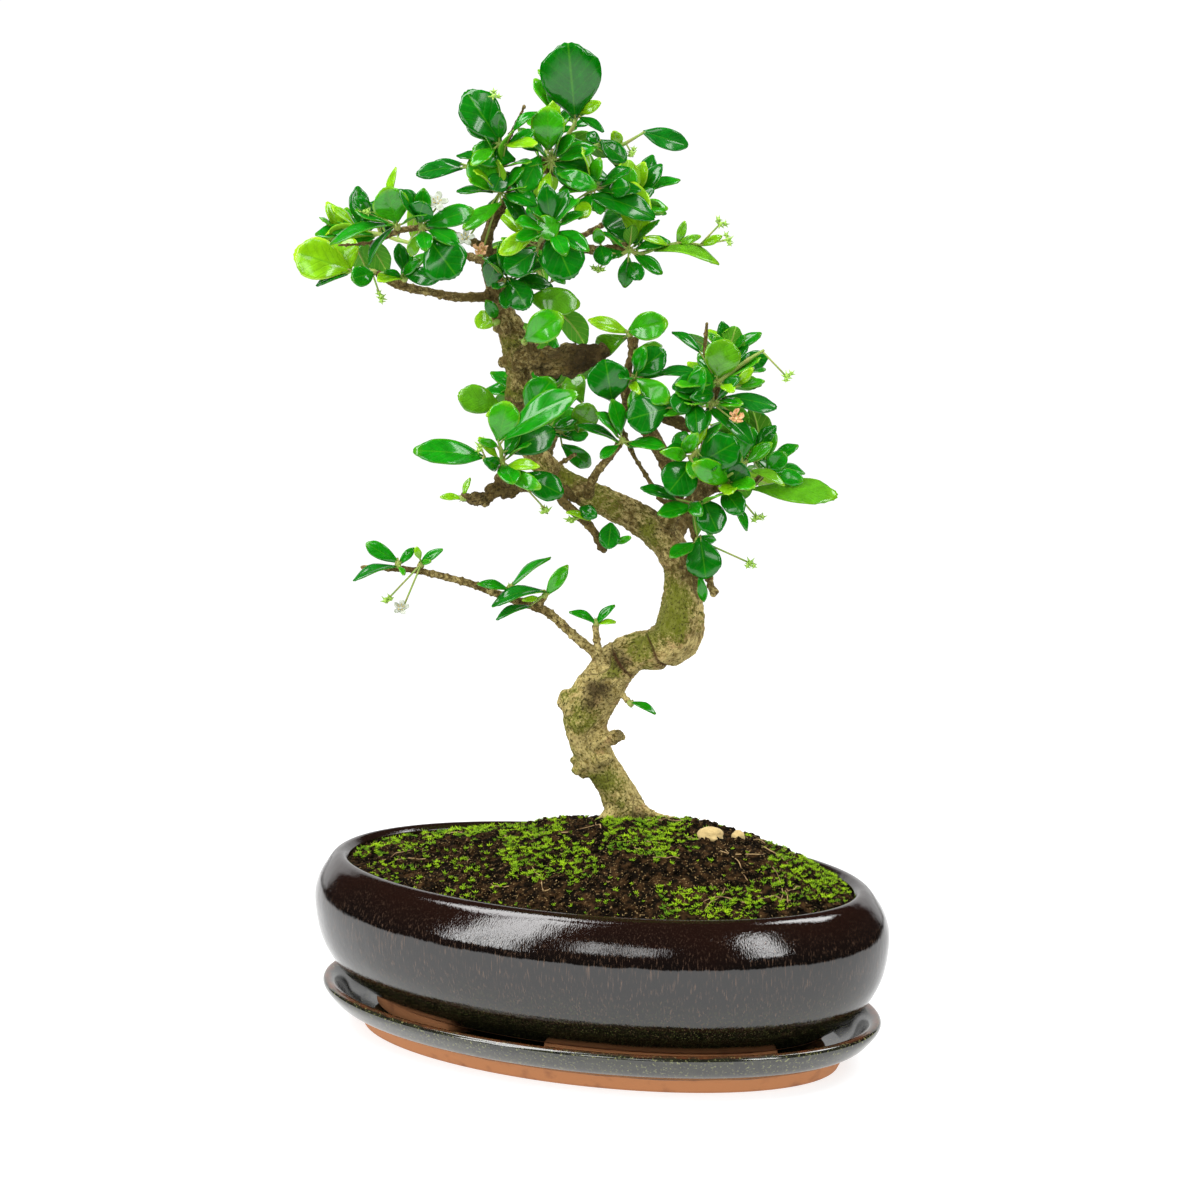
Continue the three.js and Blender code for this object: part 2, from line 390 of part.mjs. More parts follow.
const BACK_LEAF_LENGTH = 22;
const BACK_LEAF_PLAY = 7;
const BACK_LEAF_SHAPE = 0.56;
const BACK_LEAF_STALK = 3;
const BACK_LEAF_TRIES = 26;
const BACK_LEAF_KIND = 1;

// Flowers: the corolla's middle as (pixel x, pixel y, behind), its width in pixels and how far it has closed
const BLOOMS = {
  bloom_high_left: { shoot: "left_front_shoot", place: [437, 202, -26], width: 20, closed: 0.15 },
  bloom_mid_left: { shoot: "crown_left_front_shoot", place: [465, 238, -15], width: 18, closed: 0.25 },
  bloom_wilted_left: { shoot: "crown_left_front_shoot", place: [481, 251, -12], width: 16, closed: 0.8 },
  bloom_wilted_right: { shoot: "right_node_low_shoot", place: [736, 418, -26], width: 17, closed: 0.7 },
  bloom_low: { shoot: "low_tip_inner_shoot", place: [401, 608, -7], width: 16, closed: 0.35 },
};

// Pebbles in the soil: (pixel x, pixel y, radius in mm)
const STONES = { stone_large: [711, 838, 6.2], stone_small: [738, 838, 4] };

// Half of a blade's outline from root to tip, as (share of length, share of half width), and the midrib's
// points
const TOOTHED_LEAF = { edge: [[0.26, 0.42], [0.56, 0.96], [0.84, 0.94], [0.9, 0.5]], midrib: [0.58] };
const ROUND_LEAF = { edge: [[0.26, 0.5], [0.56, 1], [0.86, 0.76]], midrib: [0.55] };
const SMALL_LEAF = { edge: [[0.34, 0.8], [0.76, 0.86]], midrib: [0.5] };
const NARROW_LEAF = { edge: [[0.55, 1]], midrib: [0.5] };
const STALK_SHARE = 0.12;
const RIB_LEAD = 0.3;

// A copy of a geometry that has its positions alone
function bareGeometry(geometry) {
  const bare = new THREE.BufferGeometry();
  bare.setAttribute("position", geometry.getAttribute("position").clone());
  if (geometry.index) {
    bare.setIndex(geometry.index.clone());
  }
  return bare;
}

// A closed geometry as a solid, turned right side out
function solidFrom(geometry) {
  const merged = mergeVertices(bareGeometry(geometry), 1e-4);
  const vertProperties = new Float32Array(merged.getAttribute("position").array);
  const corners = [];
  for (let i = 0; i < merged.index.count; i += 3) {
    const [a, b, c] = [0, 1, 2].map((k) => merged.index.getX(i + k));
    if (a !== b && b !== c && c !== a) {
      corners.push([a, b, c]);
    }
  }
  const build = (faces) => new wasm.Manifold(
    new wasm.Mesh({ numProp: 3, vertProperties, triVerts: new Uint32Array(faces.flat()) }));
  const solid = build(corners);
  return solid.volume() >= 0 ? solid : build(corners.map(([a, b, c]) => [a, c, b]));
}

// The solid's surface as a geometry
function geometryFrom(solid) {
  const mesh = solid.getMesh();
  const geometry = new THREE.BufferGeometry();
  geometry.setAttribute("position", new THREE.BufferAttribute(new Float32Array(mesh.vertProperties), 3));
  geometry.setIndex(new THREE.BufferAttribute(new Uint32Array(mesh.triVerts), 1));
  return geometry;
}

// The largest body of a solid: scraps that a cut leaves are dropped
function mainBody(solid) {
  return solid.decompose().reduce((best, body) => (body.volume() > best.volume() ? body : best));
}

// The point of the oval of one half length, at an angle round it
function ovalPoint(reach, around) {
  const across = reach > OVAL_CORE ? reach - OVAL_DIFFERENCE : reach * (1 - OVAL_DIFFERENCE / OVAL_CORE);
  return [reach * Math.cos(around), across * Math.sin(around)];
}

// A closed profile of (half length, height) points swept round the oval, raised by a rule where one is given
function ovalSolid(profile, raise = () => 0) {
  const outline = profile.map(([reach, height]) => new THREE.Vector2(reach, height));
  const geometry = new THREE.LatheGeometry(outline, OVAL_SIDES);
  const position = geometry.getAttribute("position");
  for (let i = 0; i < position.count; i += 1) {
    const reach = Math.hypot(position.getX(i), position.getZ(i));
    const [x, y] = ovalPoint(reach, Math.atan2(position.getX(i), position.getZ(i)));
    const z = position.getY(i);
    position.setXYZ(i, x, y, z + raise(x, y, z));
  }
  return solidFrom(geometry);
}

// One arc foot of the pot, standing on the saucer
function footSolid(fromDegrees, toDegrees) {
  const steps = Math.round((toDegrees - fromDegrees) / FOOT_STEP_DEGREES);
  const arc = (reach) => Array.from({ length: steps + 1 }, (_, i) => {
    const around = THREE.MathUtils.degToRad(fromDegrees + ((toDegrees - fromDegrees) * i) / steps);
    return new THREE.Vector2(...ovalPoint(reach, around));
  });
  const outline = new THREE.Shape([...arc(FOOT_OUTER), ...arc(FOOT_INNER).reverse()]);
  const height = POT_BASE_HEIGHT + FOOT_BITE - SAUCER_FLOOR - SEAT_GAP;
  const geometry = new THREE.ExtrudeGeometry(outline, { depth: height, bevelEnabled: false });
  return solidFrom(geometry.translate(0, 0, SAUCER_FLOOR + SEAT_GAP));
}

function potSolid() {
  const body = ovalSolid([
    [0, POT_BASE_HEIGHT], [POT_BASE, POT_BASE_HEIGHT], ...POT_BELLY, [POT_BULGE, POT_BULGE_HEIGHT],
    ...POT_SHOULDER, [POT_LIP, POT_TOP], [POT_MOUTH, POT_MOUTH_HEIGHT], ...POT_INNER_WALL,
    [POT_FLOOR, POT_FLOOR_HEIGHT], [0, POT_FLOOR_HEIGHT]]);
  const feet = FOOT_ARCS_DEGREES.map(([from, to]) => footSolid(from, to));
  const drains = [-1, 1].map((side) => solidFrom(
    new THREE.CylinderGeometry(DRAIN_RADIUS, DRAIN_RADIUS, 2 * POT_FLOOR_HEIGHT, DRAIN_SIDES)
      .rotateX(Math.PI / 2)
      .translate((side * DRAIN_SPACING) / 2, 0, POT_FLOOR_HEIGHT)));
  return wasm.Manifold.union([body, ...feet]).subtract(wasm.Manifold.union(drains));
}

function saucerSolid() {
  return ovalSolid([
    [0, 0], [SAUCER_FOOT, 0], ...SAUCER_OUTER_WALL, [SAUCER_RIM, SAUCER_RIM_HEIGHT],
    [SAUCER_CREST, SAUCER_HEIGHT], ...SAUCER_INNER_WALL, [SAUCER_WELL, SAUCER_FLOOR], [0, SAUCER_FLOOR]]);
}

// The strip of mesh over the drainage holes, with its openings over each hole
function drainMeshSolid() {
  const height = POT_FLOOR_HEIGHT + SEAT_GAP + 0.5 * MESH_THICKNESS;
  const strip = solidFrom(
    new THREE.BoxGeometry(MESH_LENGTH, MESH_WIDTH, MESH_THICKNESS).translate(0, 0, height));
  const places = [-1, 1].flatMap((side) => [-0.5, 0.5].flatMap((column) => [-0.5, 0.5].map((row) => (
    [(side * DRAIN_SPACING) / 2 + column * MESH_PITCH, row * MESH_PITCH]))));
  const openings = places.map(([x, y]) => solidFrom(
    new THREE.BoxGeometry(MESH_HOLE, MESH_HOLE, 4 * MESH_THICKNESS).translate(x, y, height)));
  return strip.subtract(wasm.Manifold.union(openings));
}

// How far the soil stands above its edge: a mound round the trunk with shallow lumps
function soilRise(x, y) {
  const out = Math.min(1, Math.hypot(x / SOIL_HALF_LENGTH, y / (SOIL_HALF_LENGTH - OVAL_DIFFERENCE)));
  const lumps = SOIL_LUMP * Math.sin(x / 11 + 1) * Math.cos(y / 8.5 + 0.6);
  const lean = (SOIL_LEAN.along * x + SOIL_LEAN.across * y) / SOIL_HALF_LENGTH;
  return (1 - out ** 2) * (SOIL_RISE + lumps + lean);
}

function soilSolid() {
  const bottom = POT_FLOOR_HEIGHT + MESH_THICKNESS + 2 * SEAT_GAP;
  const rings = SOIL_RING_SHARES.map((share) => [share * SOIL_HALF_LENGTH, SOIL_EDGE_HEIGHT]);
  return ovalSolid([
    [0, bottom], [SOIL_FLOOR, bottom], ...SOIL_SIDE, [SOIL_HALF_LENGTH, SOIL_EDGE_HEIGHT], ...rings,
    [0, SOIL_EDGE_HEIGHT]],
  (x, y, z) => (z >= SOIL_EDGE_HEIGHT - 0.01 ? soilRise(x, y) : 0));
}

// The point of the soil that is seen at a pixel
function soilSpot(px, py) {
  let behind = -70;
  let point = spot(px, py, behind);
  while (point.z > SOIL_EDGE_HEIGHT + soilRise(point.x, point.y)) {
    behind += 0.5;
    point = spot(px, py, behind);
  }
  return point;
}

function stoneSolid([px, py, radius], number, grow) {
  const middle = soilSpot(px, py);
  return solidFrom(new THREE.IcosahedronGeometry(1, 1)
    .scale(radius + grow, 0.8 * radius + grow, 0.66 * radius + grow)
    .rotateZ(number * 1.9)
    .rotateX(0.15)
    .translate(middle.x, middle.y, middle.z + 0.15 * radius));
}

// A smooth route through points with a radius, by Catmull and Rom's rule, with some steps from point to point
function smoothRoute(points, spans) {
  const value = (i, key) => points[Math.min(points.length - 1, Math.max(0, i))][key];
  const blend = (i, u, key) => {
    const [a, b, c, d] = [-1, 0, 1, 2].map((k) => value(i + k, key));
    const square = (2 * a - 5 * b + 4 * c - d) * u ** 2;
    const cube = (3 * b - a - 3 * c + d) * u ** 3;
    return 0.5 * (2 * b + (c - a) * u + square + cube);
  };
  const route = [];
  for (let i = 0; i < points.length - 1; i += 1) {
    for (let step = 0; step < spans; step += 1) {
      const [x, y, z, r] = ["x", "y", "z", "r"].map((key) => blend(i, step / spans, key));
      route.push({ x, y, z, r });
    }
  }
  route.push(points[points.length - 1]);
  return route;
}

function knot([px, py, behind, radius = STEM_RADIUS / MM_PER_PIXEL]) {
  const { x, y, z } = spot(px, py, behind);
  return { x, y, z, r: radius * MM_PER_PIXEL };
}

function vector({ x, y, z }) {
  return new THREE.Vector3(x, y, z);
}

// A tapering tube along a route, with rounded ends and an uneven skin, grown outwards by a clearance
function tubeSolid(route, sides, grow = 0, relief = 0, endDome = END_DOME) {
  const last = route.length - 1;
  const geometry = new THREE.CylinderGeometry(1, 1, 1, sides, last);
  const points = route.map(vector);
  const tangents = points.map((_, i) => points[Math.min(last, i + 1)].clone()
    .sub(points[Math.max(0, i - 1)]).normalize());
  const normals = [];
  let normal = new THREE.Vector3(0.31, 0.87, 0.38);
  for (const tangent of tangents) {
    normal = normal.clone().addScaledVector(tangent, -normal.dot(tangent)).normalize();
    normals.push(normal);
  }
  const position = geometry.getAttribute("position");
  for (let i = 0; i < position.count; i += 1) {
    const ring = Math.round((position.getY(i) + 0.5) * last);
    const [u, v] = [position.getX(i), position.getZ(i)];
    const angle = Math.atan2(v, u);
    const uneven = 1 + relief * (Math.sin(3 * angle + 0.9 * ring) + 0.6 * Math.sin(5 * angle - 1.7 * ring));
    const radius = route[ring].r * uneven + grow;
    const place = points[ring].clone()
      .addScaledVector(normals[ring], u * radius)
      .addScaledVector(normals[ring].clone().cross(tangents[ring]), v * radius);
    const outwards = ring === 0 ? -1 : Number(ring === last);
    const dome = Math.hypot(u, v) < 0.5 ? endDome * route[ring].r : 0;
    place.addScaledVector(tangents[ring], outwards * (grow + dome));
    position.setXYZ(i, place.x, place.y, place.z);
  }
  return solidFrom(geometry);
}

// Every limb's route, by name. The trunk goes on straight down into the soil.
function limbRoute(name) {
  const { spans, route } = LIMBS[name];
  const knots = route.map(knot);
  if (name === "trunk") {
    const foot = knots[0];
    knots.unshift(
      { ...foot, z: foot.z - TRUNK_BURIED, r: 0.7 * foot.r },
      { ...foot, z: foot.z - 0.5 * TRUNK_BURIED });
  }
  return smoothRoute(knots, spans);
}
const LIMB_ROUTES = Object.fromEntries(Object.keys(LIMBS).map((name) => [name, limbRoute(name)]));

// The point on a limb's axis that is nearest to a place, with the limb's radius and its bark's distance
function nearestOn(route, place) {
  let best = { gap: Infinity };
  for (let i = 0; i < route.length - 1; i += 1) {
    const line = new THREE.Line3(vector(route[i]), vector(route[i + 1]));
    const share = line.closestPointToPointParameter(place, true);
    const point = line.at(share, new THREE.Vector3());
    const gap = point.distanceTo(place);
    if (gap < best.gap) {
      const radius = THREE.MathUtils.lerp(route[i].r, route[i + 1].r, share);
      const steepness = line.delta(new THREE.Vector3()).normalize().dot(place.clone().sub(point)) / gap;
      const onEnd = i === route.length - 2 && share === 1;
      const bark = onEnd ? radius * Math.max(END_DOME * steepness, Math.sqrt(1 - steepness ** 2)) : radius;
      best = { point, gap, radius, bark };
    }
  }
  return best;
}

// The woody spur from a limb to the perch of a shoot. A shoot close to the bark stands on it without a spur.
function spurRoute({ limb, perch }) {
  const place = vector(knot(perch));
  const { point, gap, radius, bark } = nearestOn(LIMB_ROUTES[limb], place);
  const bare = gap < bark + LEAST_SPUR;
  const end = bare ? point.clone().lerp(place, (SKIN_SHARE * bark) / gap) : place;
  return {
    bare,
    route: [
      { ...point, r: Math.min(0.7 * radius, SPUR_END_RADIUS + 0.03 * gap) },
      { ...end, r: SPUR_END_RADIUS }],
  };
}

// All the wood as one solid, grown outwards by a clearance
function woodSolid(grow) {
  const limbs = Object.entries(LIMBS).map(([name, { sides }]) => tubeSolid(
    LIMB_ROUTES[name], sides, grow, name === "trunk" ? TRUNK_RELIEF : BRANCH_RELIEF));
  const spurs = Object.values(SHOOTS).map(spurRoute).filter(({ bare }) => !bare)
    .map(({ route }) => tubeSolid(route, 3, 0.5 * grow, 0, 0));
  const knobs = KNOBS.map((knob, number) => {
    const { x, y, z, r } = knot(knob);
    return solidFrom(new THREE.IcosahedronGeometry(r + grow, 0)
      .rotateX(7 * draw(number, 1))
      .rotateZ(7 * draw(number, 2))
      .translate(x, y, z));
  });
  return mainBody(wasm.Manifold.union([...limbs, ...spurs, ...knobs])).simplify(SMOOTHING);
}

// A blade's face as triangles of (share of length, share of half width) corners, the same for top and bottom.
// Each triangle has a corner on the midrib, where the blade is thick, so that none is without thickness.
function bladePattern({ edge, midrib }, stalked) {
  const stations = stalked ? [-0.5, 0] : [-0.5];
  const rib = [...stations, ...midrib].map((t) => [t, 0]);
  const rim = [...stations.map((t) => [t, STALK_SHARE]), ...edge];
  const half = [[[-1, 0], rib[0], rim[0]]];
  let [i, j] = [0, 0];
  while (i < rib.length - 1 || j < rim.length - 1) {
    const ribLags = i < rib.length - 1 && j < rim.length - 1 && rib[i + 1][0] <= rim[j + 1][0] + RIB_LEAD;
    const alongRib = j === rim.length - 1 || ribLags;
    half.push([rib[i], alongRib ? rib[i + 1] : rim[j + 1], rim[j]]);
    i += Number(alongRib);
    j += Number(!alongRib);
  }
  half.push([rib[i], [1, 0], rim[j]]);
  const shapes = [1, -1].flatMap((sign) => half.map((corners) => (
    new THREE.Shape(corners.map(([t, share]) => new THREE.Vector2(t, sign * share))))));
  const face = mergeVertices(bareGeometry(new THREE.ShapeGeometry(shapes)), 1e-5);
  const position = face.getAttribute("position");
  const corners = Array.from({ length: position.count }, (_, k) => [position.getX(k), position.getY(k)]);
  const triangles = [];
  for (let k = 0; k < face.index.count; k += 3) {
    triangles.push([0, 1, 2].map((step) => face.index.getX(k + step)));
  }
  return { corners, triangles };
}
const PATTERNS = [TOOTHED_LEAF, ROUND_LEAF, SMALL_LEAF, NARROW_LEAF].map((outline) => (
  [false, true].map((stalked) => bladePattern(outline, stalked))));

// Where a leaf leaves its stem: a root point on the stem's axis, a first station just off its skin and the
// blade's base, with a pattern that has the station and the base apart where the leaf's stalk is long
function leafOrigin({ root, skin }, base, tip, kind) {
  const reach = skin + SKIN_CLEARANCE;
  const wayTo = (place) => place.clone().sub(root).normalize();
  const early = base.clone().lerp(tip, EARLY_SHARE);
  const crowded = root.distanceTo(early) < reach + SKIN_CLEARANCE;
  const bend = wayTo(base).dot(tip.clone().sub(base).normalize());
  const stalked = !crowded && root.distanceTo(base) > LONG_STALK && bend > SHARPEST_BEND;
  const uncrowded = stalked ? base : early;
  const way = wayTo(crowded ? tip : uncrowded);
  const station = root.clone().addScaledVector(way, reach);
  return { root, way, station, base: crowded ? station : base, pattern: PATTERNS[kind][Number(stalked)] };
}

// The axes and habit of a leaf: facing is the way that its upper side would look if it were not rolled
function leafFrame(leaf) {
  const along = leaf.tip.clone().sub(leaf.base);
  const length = along.length();
  along.divideScalar(length);
  let across = along.clone().cross(leaf.facing);
  if (across.length() < 0.05) {
    across = along.clone().cross(SIGHT_UP);
  }
  across.normalize();
  const upper = across.clone().cross(along);
  const turn = (sign) => upper.clone().multiplyScalar(Math.cos(leaf.roll))
    .addScaledVector(across, -sign * Math.sin(leaf.roll));
  const sign = turn(1).z >= turn(-1).z ? 1 : -1;
  const normal = turn(sign);
  return { along, length, normal, across: along.clone().cross(normal) };
}

// The place of one corner of a leaf, lift mm above its middle surface
function leafPoint(leaf, frame, [t, s], lift) {
  const { along, length, normal, across } = frame;
  if (t < -0.9) {
    return leaf.root.clone();
  }
  if (t < EARLY_SHARE / 2) {
    const way = t < -0.1 ? leaf.way : leaf.way.clone().add(along).normalize();
    const turn = new THREE.Quaternion().setFromUnitVectors(along, way);
    return (t < -0.1 ? leaf.station : leaf.base).clone()
      .addScaledVector(across.clone().applyQuaternion(turn), Math.sign(s) * PETIOLE_HALF_WIDTH)
      .addScaledVector(normal.clone().applyQuaternion(turn), lift);
  }
  const half = Math.abs(s) * 0.5 * leaf.width;
  const twist = leaf.twist * (t - 0.5);
  const sideways = across.clone().multiplyScalar(Math.cos(twist)).addScaledVector(normal, Math.sin(twist));
  const wave = s !== 0 ? WAVE * leaf.width * Math.sin(9 * t + 3 * Math.sign(s) + 6 * leaf.twist) : 0;
  return leaf.base.clone()
    .addScaledVector(along, length * t)
    .addScaledVector(normal, 4 * t * (1 - t) * leaf.arch * length + leaf.fold * half + wave + lift)
    .addScaledVector(sideways, Math.sign(s) * half);
}

// The faces of a leaf as corner points, top and bottom
function leafFaces(leaf, spare = 0) {
  const frame = leafFrame(leaf);
  const { corners, triangles } = leaf.pattern;
  const onRib = corners.map(([t, s]) => Math.abs(s) < 1e-4 && t < 0.999 && t > -0.9);
  const lift = 0.5 * (leaf.thickness + spare);
  const top = corners.map((corner, i) => leafPoint(leaf, frame, corner, onRib[i] ? lift : 0));
  const bottom = corners.map((corner, i) => (onRib[i] ? leafPoint(leaf, frame, corner, -lift) : top[i]));
  const faces = [];
  for (const [a, b, c] of triangles) {
    const share = Math.min(corners[a][0], corners[b][0], corners[c][0]);
    faces.push({ corners: [top[a], top[b], top[c]], share });
    faces.push({ corners: [bottom[a], bottom[c], bottom[b]], share });
  }
  return faces;
}

function facesSolid(faces) {
  const geometry = new THREE.BufferGeometry();
  const values = faces.flatMap(({ corners }) => corners.flatMap(({ x, y, z }) => [x, y, z]));
  geometry.setAttribute("position", new THREE.BufferAttribute(new Float32Array(values), 3));
  return solidFrom(geometry);
}

// The blade alone as tested for crossings, a little thicker than it is, from a share of its length on
function bladeBody(leaf, fromShare) {
  const faces = leafFaces(leaf, 2 * BLADE_CLEARANCE).filter(({ share }) => share >= fromShare);
  const box = new THREE.Box3();
  faces.forEach(({ corners }) => corners.forEach((corner) => box.expandByPoint(corner)));
  return { faces, box };
}

function segmentMeets(from, to, [a, b, c]) {
  const way = to.clone().sub(from);
  const reach = way.length();
  const ray = new THREE.Ray(from, way.divideScalar(reach));
  const hit = ray.intersectTriangle(a, b, c, false, new THREE.Vector3());
  return hit !== null && hit.distanceTo(from) <= reach;
}

function bodiesMeet(one, other) {
  if (!one.box.intersectsBox(other.box)) {
    return false;
  }
  const pierces = (first, second) => first.faces.some(({ corners }) => second.faces.some((face) => (
    [0, 1, 2].some((k) => segmentMeets(corners[k], corners[(k + 1) % 3], face.corners)))));
  return pierces(one, other) || pierces(other, one);
}

// Whether a leaf comes too near to wood or stems, given as straight stretches with radii
function meetsStretch(leaf, stretches) {
  const frame = leafFrame(leaf);
  const places = leaf.pattern.corners.filter(([t]) => t > 0.1)
    .map((corner) => leafPoint(leaf, frame, corner, 0));
  const reach = frame.length + 20;
  return stretches.some(({ from, to, radius, owner }) => {
    if (owner === leaf.owner || from.distanceTo(leaf.base) > reach) {
      return false;
    }
    const line = new THREE.Line3(from, to);
    const least = radius + WOOD_CLEARANCE;
    return places.some((place) => (
      line.closestPointToPoint(place, true, new THREE.Vector3()).distanceTo(place) < least));
  });
}

function stretchesOf(route, owner) {
  return route.slice(1).map((point, i) => ({
    from: vector(route[i]), to: vector(point), radius: 0.5 * (route[i].r + point.r), owner }));
}

// The point on the axis of a shoot's stems from which a leaf or stalk at a place springs, with the skin's
// distance
function springPoint(stems, place) {
  let best = { gap: Infinity };
  for (const { from, to, radius } of stems) {
    const line = new THREE.Line3(from, to);
    const lastShare = 1 - Math.min(0.5, radius / line.distance());
    const share = Math.min(line.closestPointToPointParameter(place, true), lastShare);
    const root = line.at(share, new THREE.Vector3());
    const gap = root.distanceTo(place) - radius;
    if (gap < best.gap) {
      best = { root, skin: radius, gap };
    }
  }
  return best;
}

// A shoot's green stems: a crown at its perch, from which its routes start
function stemRoutes(shoot) {
  const [root, end] = spurRoute(shoot).route.map(vector);
  const outwards = end.clone().sub(root).normalize();
  const [low, high] = [0.9, 1.1].map((share) => ({
    ...end.clone().addScaledVector(outwards, SEAT_GAP + share * CROWN_FACE), r: CROWN_RADIUS }));
  const stems = shoot.stems.map((stem) => {
    const knots = stem.map((point) => knot(point));
    knots[0] = { ...low, r: STEM_RADIUS };
    knots[knots.length - 1].r = STEM_TIP_RADIUS;
    return smoothRoute(knots, 1);
  });
  return [[low, high], ...stems];
}

// The stem of a shoot on the far side, which stands on the rounded end of its limb
function backStem({ limb, route }) {
  const end = LIMB_ROUTES[limb][LIMB_ROUTES[limb].length - 1];
  const knots = route.map((point) => knot(point));
  const way = vector(knots[1]).sub(vector(end)).normalize();
  knots[0] = { ...vector(end).addScaledVector(way, END_DOME * end.r + SEAT_GAP), r: STEM_RADIUS };
  knots[knots.length - 1].r = STEM_TIP_RADIUS;
  return smoothRoute(knots, 1);
}

// The crown of a shoot, with a flat face towards its spur
function crownSolid([low, high]) {
  const outwards = vector(high).sub(vector(low)).normalize();
  const middle = vector(low).lerp(vector(high), 0.5);
  const turn = new THREE.Quaternion().setFromUnitVectors(new THREE.Vector3(1, 1, 1).normalize(), outwards);
  return solidFrom(new THREE.OctahedronGeometry(CROWN_RADIUS, 0)
    .applyQuaternion(turn)
    .translate(middle.x, middle.y, middle.z));
}

// A leaf seen in the photograph, from its reading
function seenLeaf([baseX, baseY, tipX, tipY, seenWidth, towards], stems, owner, number) {
  const spring = springPoint(stems, spot(baseX, baseY, behindOf(stems)));
  const baseBehind = spring.root.dot(AWAY);
  const seenLength = Math.hypot(tipX - baseX, tipY - baseY);
  const fullWidth = Math.max(seenWidth, LEAST_LEAF_SHAPE * seenLength);
  const hiddenLength = Math.sqrt(Math.max(0, (MOST_LEAF_SHAPE * seenWidth) ** 2 - seenLength ** 2));
  const near = towards ?? (hiddenLength * MM_PER_PIXEL + (draw(number, 3) - 0.4) * 4);
  const small = seenWidth <= SMALL_LEAF_WIDTH;
  const kind = small ? 2 + Number(seenWidth <= NARROW_LEAF_WIDTH) : Number(draw(number, 4) < 0.4);
  const tip = spot(tipX, tipY, baseBehind - near);
  return {
    ...leafOrigin(spring, spot(baseX, baseY, baseBehind - 0.15 * near), tip, kind),
    owner, tipX, tipY, tip,
    tipBehind: baseBehind - near,
    width: fullWidth * MM_PER_PIXEL,
    roll: Math.acos(Math.min(1, seenWidth / fullWidth)),
    facing: TO_EYE,
    arch: 0.05 + 0.08 * draw(number, 5),
    fold: small ? 0.3 : -0.12 + 0.4 * draw(number, 6),
    twist: 0.5 * (draw(number, 7) - 0.5),
    thickness: BLADE_THICKNESS,
  };
}

function behindOf(stems) {
  return stems[0].from.dot(AWAY);
}

// Bends a leaf nearer or farther, along the line of sight, until it clears everything that stands already
function bentClear(leaf, placed, stretches) {
  for (const apart of [true, false]) {
    for (const step of BEND_STEPS) {
      const bent = { ...leaf, tip: spot(leaf.tipX, leaf.tipY, leaf.tipBehind - step) };
      if (isClear(bent, placed, stretches, apart)) {
        return bent;
      }
    }
  }
  return null;
}

// Whether a leaf clears all that stands, and the leaves of its own shoot from their stalks or their root on
function isClear(leaf, placed, stretches, apart) {
  if (meetsStretch(leaf, stretches)) {
    return false;
  }
  const own = placedLeaf(leaf);
  const part = apart ? "whole" : "outer";
  return !placed.some((other) => (other.owner === leaf.owner
    ? bodiesMeet(own[part], other[part])
    : bodiesMeet(own.whole, other.whole)));
}

// Whether a place behind the crown is hidden by one of the seen leaves
function isHidden(place) {
  const [px, py] = pixelOf(place);
  return Object.values(SHOOTS).some(({ leaves }) => leaves.some(([baseX, baseY, tipX, tipY, width]) => {
    const line = new THREE.Line3(new THREE.Vector3(baseX, baseY, 0), new THREE.Vector3(tipX, tipY, 0));
    const here = new THREE.Vector3(px, py, 0);
    const gap = line.closestPointToPoint(here, true, new THREE.Vector3()).distanceTo(here);
    return gap < 0.5 * width + HIDING_MARGIN;
  }));
}

// The leaves of a shoot on the far side: they fan out from its route, where the seen leaves hide them
function backLeaves(owner, { leaves }, route, placed, stretches, firstNumber) {
  const grown = [];
  for (let i = 0; i < leaves; i += 1) {
    const at = ((i + 0.5) / leaves) * (route.length - 1);
    const [low, share] = [Math.floor(at), at - Math.floor(at)];
    const root = vector(route[low]).lerp(vector(route[low + 1]), share);
    for (let attempt = 0; attempt < BACK_LEAF_TRIES; attempt += 1) {
      const number = firstNumber + i + 0.01 * attempt;
      const turn = 2 * Math.PI * (draw(number, 1) + 0.38 * i);
      const way = SIDEWAYS.clone().multiplyScalar(Math.cos(turn))
        .addScaledVector(AWAY, 1.3 * draw(number, 2) - 0.25)
        .add(new THREE.Vector3(0, 0, Math.sin(turn) + 0.15))
        .normalize();
      const length = BACK_LEAF_LENGTH + BACK_LEAF_PLAY * (draw(number, 3) - 0.5);
      const base = root.clone().addScaledVector(way, BACK_LEAF_STALK);
      const tip = base.clone().addScaledVector(way, length);
      const leaf = {
        ...leafOrigin({ root, skin: STEM_RADIUS }, base, tip, BACK_LEAF_KIND),
        owner, tip,
        width: BACK_LEAF_SHAPE * length,
        roll: 0,
        facing: new THREE.Vector3(0, 0, 0.9)
          .addScaledVector(AWAY, 0.8)
          .addScaledVector(SIDEWAYS, draw(number, 5) - 0.5),
        arch: 0.05 + 0.08 * draw(number, 6),
        fold: -0.12 + 0.4 * draw(number, 7),
        twist: 0.5 * (draw(number, 8) - 0.5),
        thickness: BLADE_THICKNESS,
      };
      const middle = base.clone().lerp(leaf.tip, 0.55);
      if (isHidden(middle) && isHidden(leaf.tip) && isClear(leaf, placed, stretches, true)) {
        grown.push(leaf);
        placed.push(placedLeaf(leaf));
        break;
      }
    }
  }
  return grown;
}

function placedLeaf(leaf) {
  return { owner: leaf.owner, whole: bladeBody(leaf, -0.5), outer: bladeBody(leaf, SHARED_ROOT_SHARE) };
}

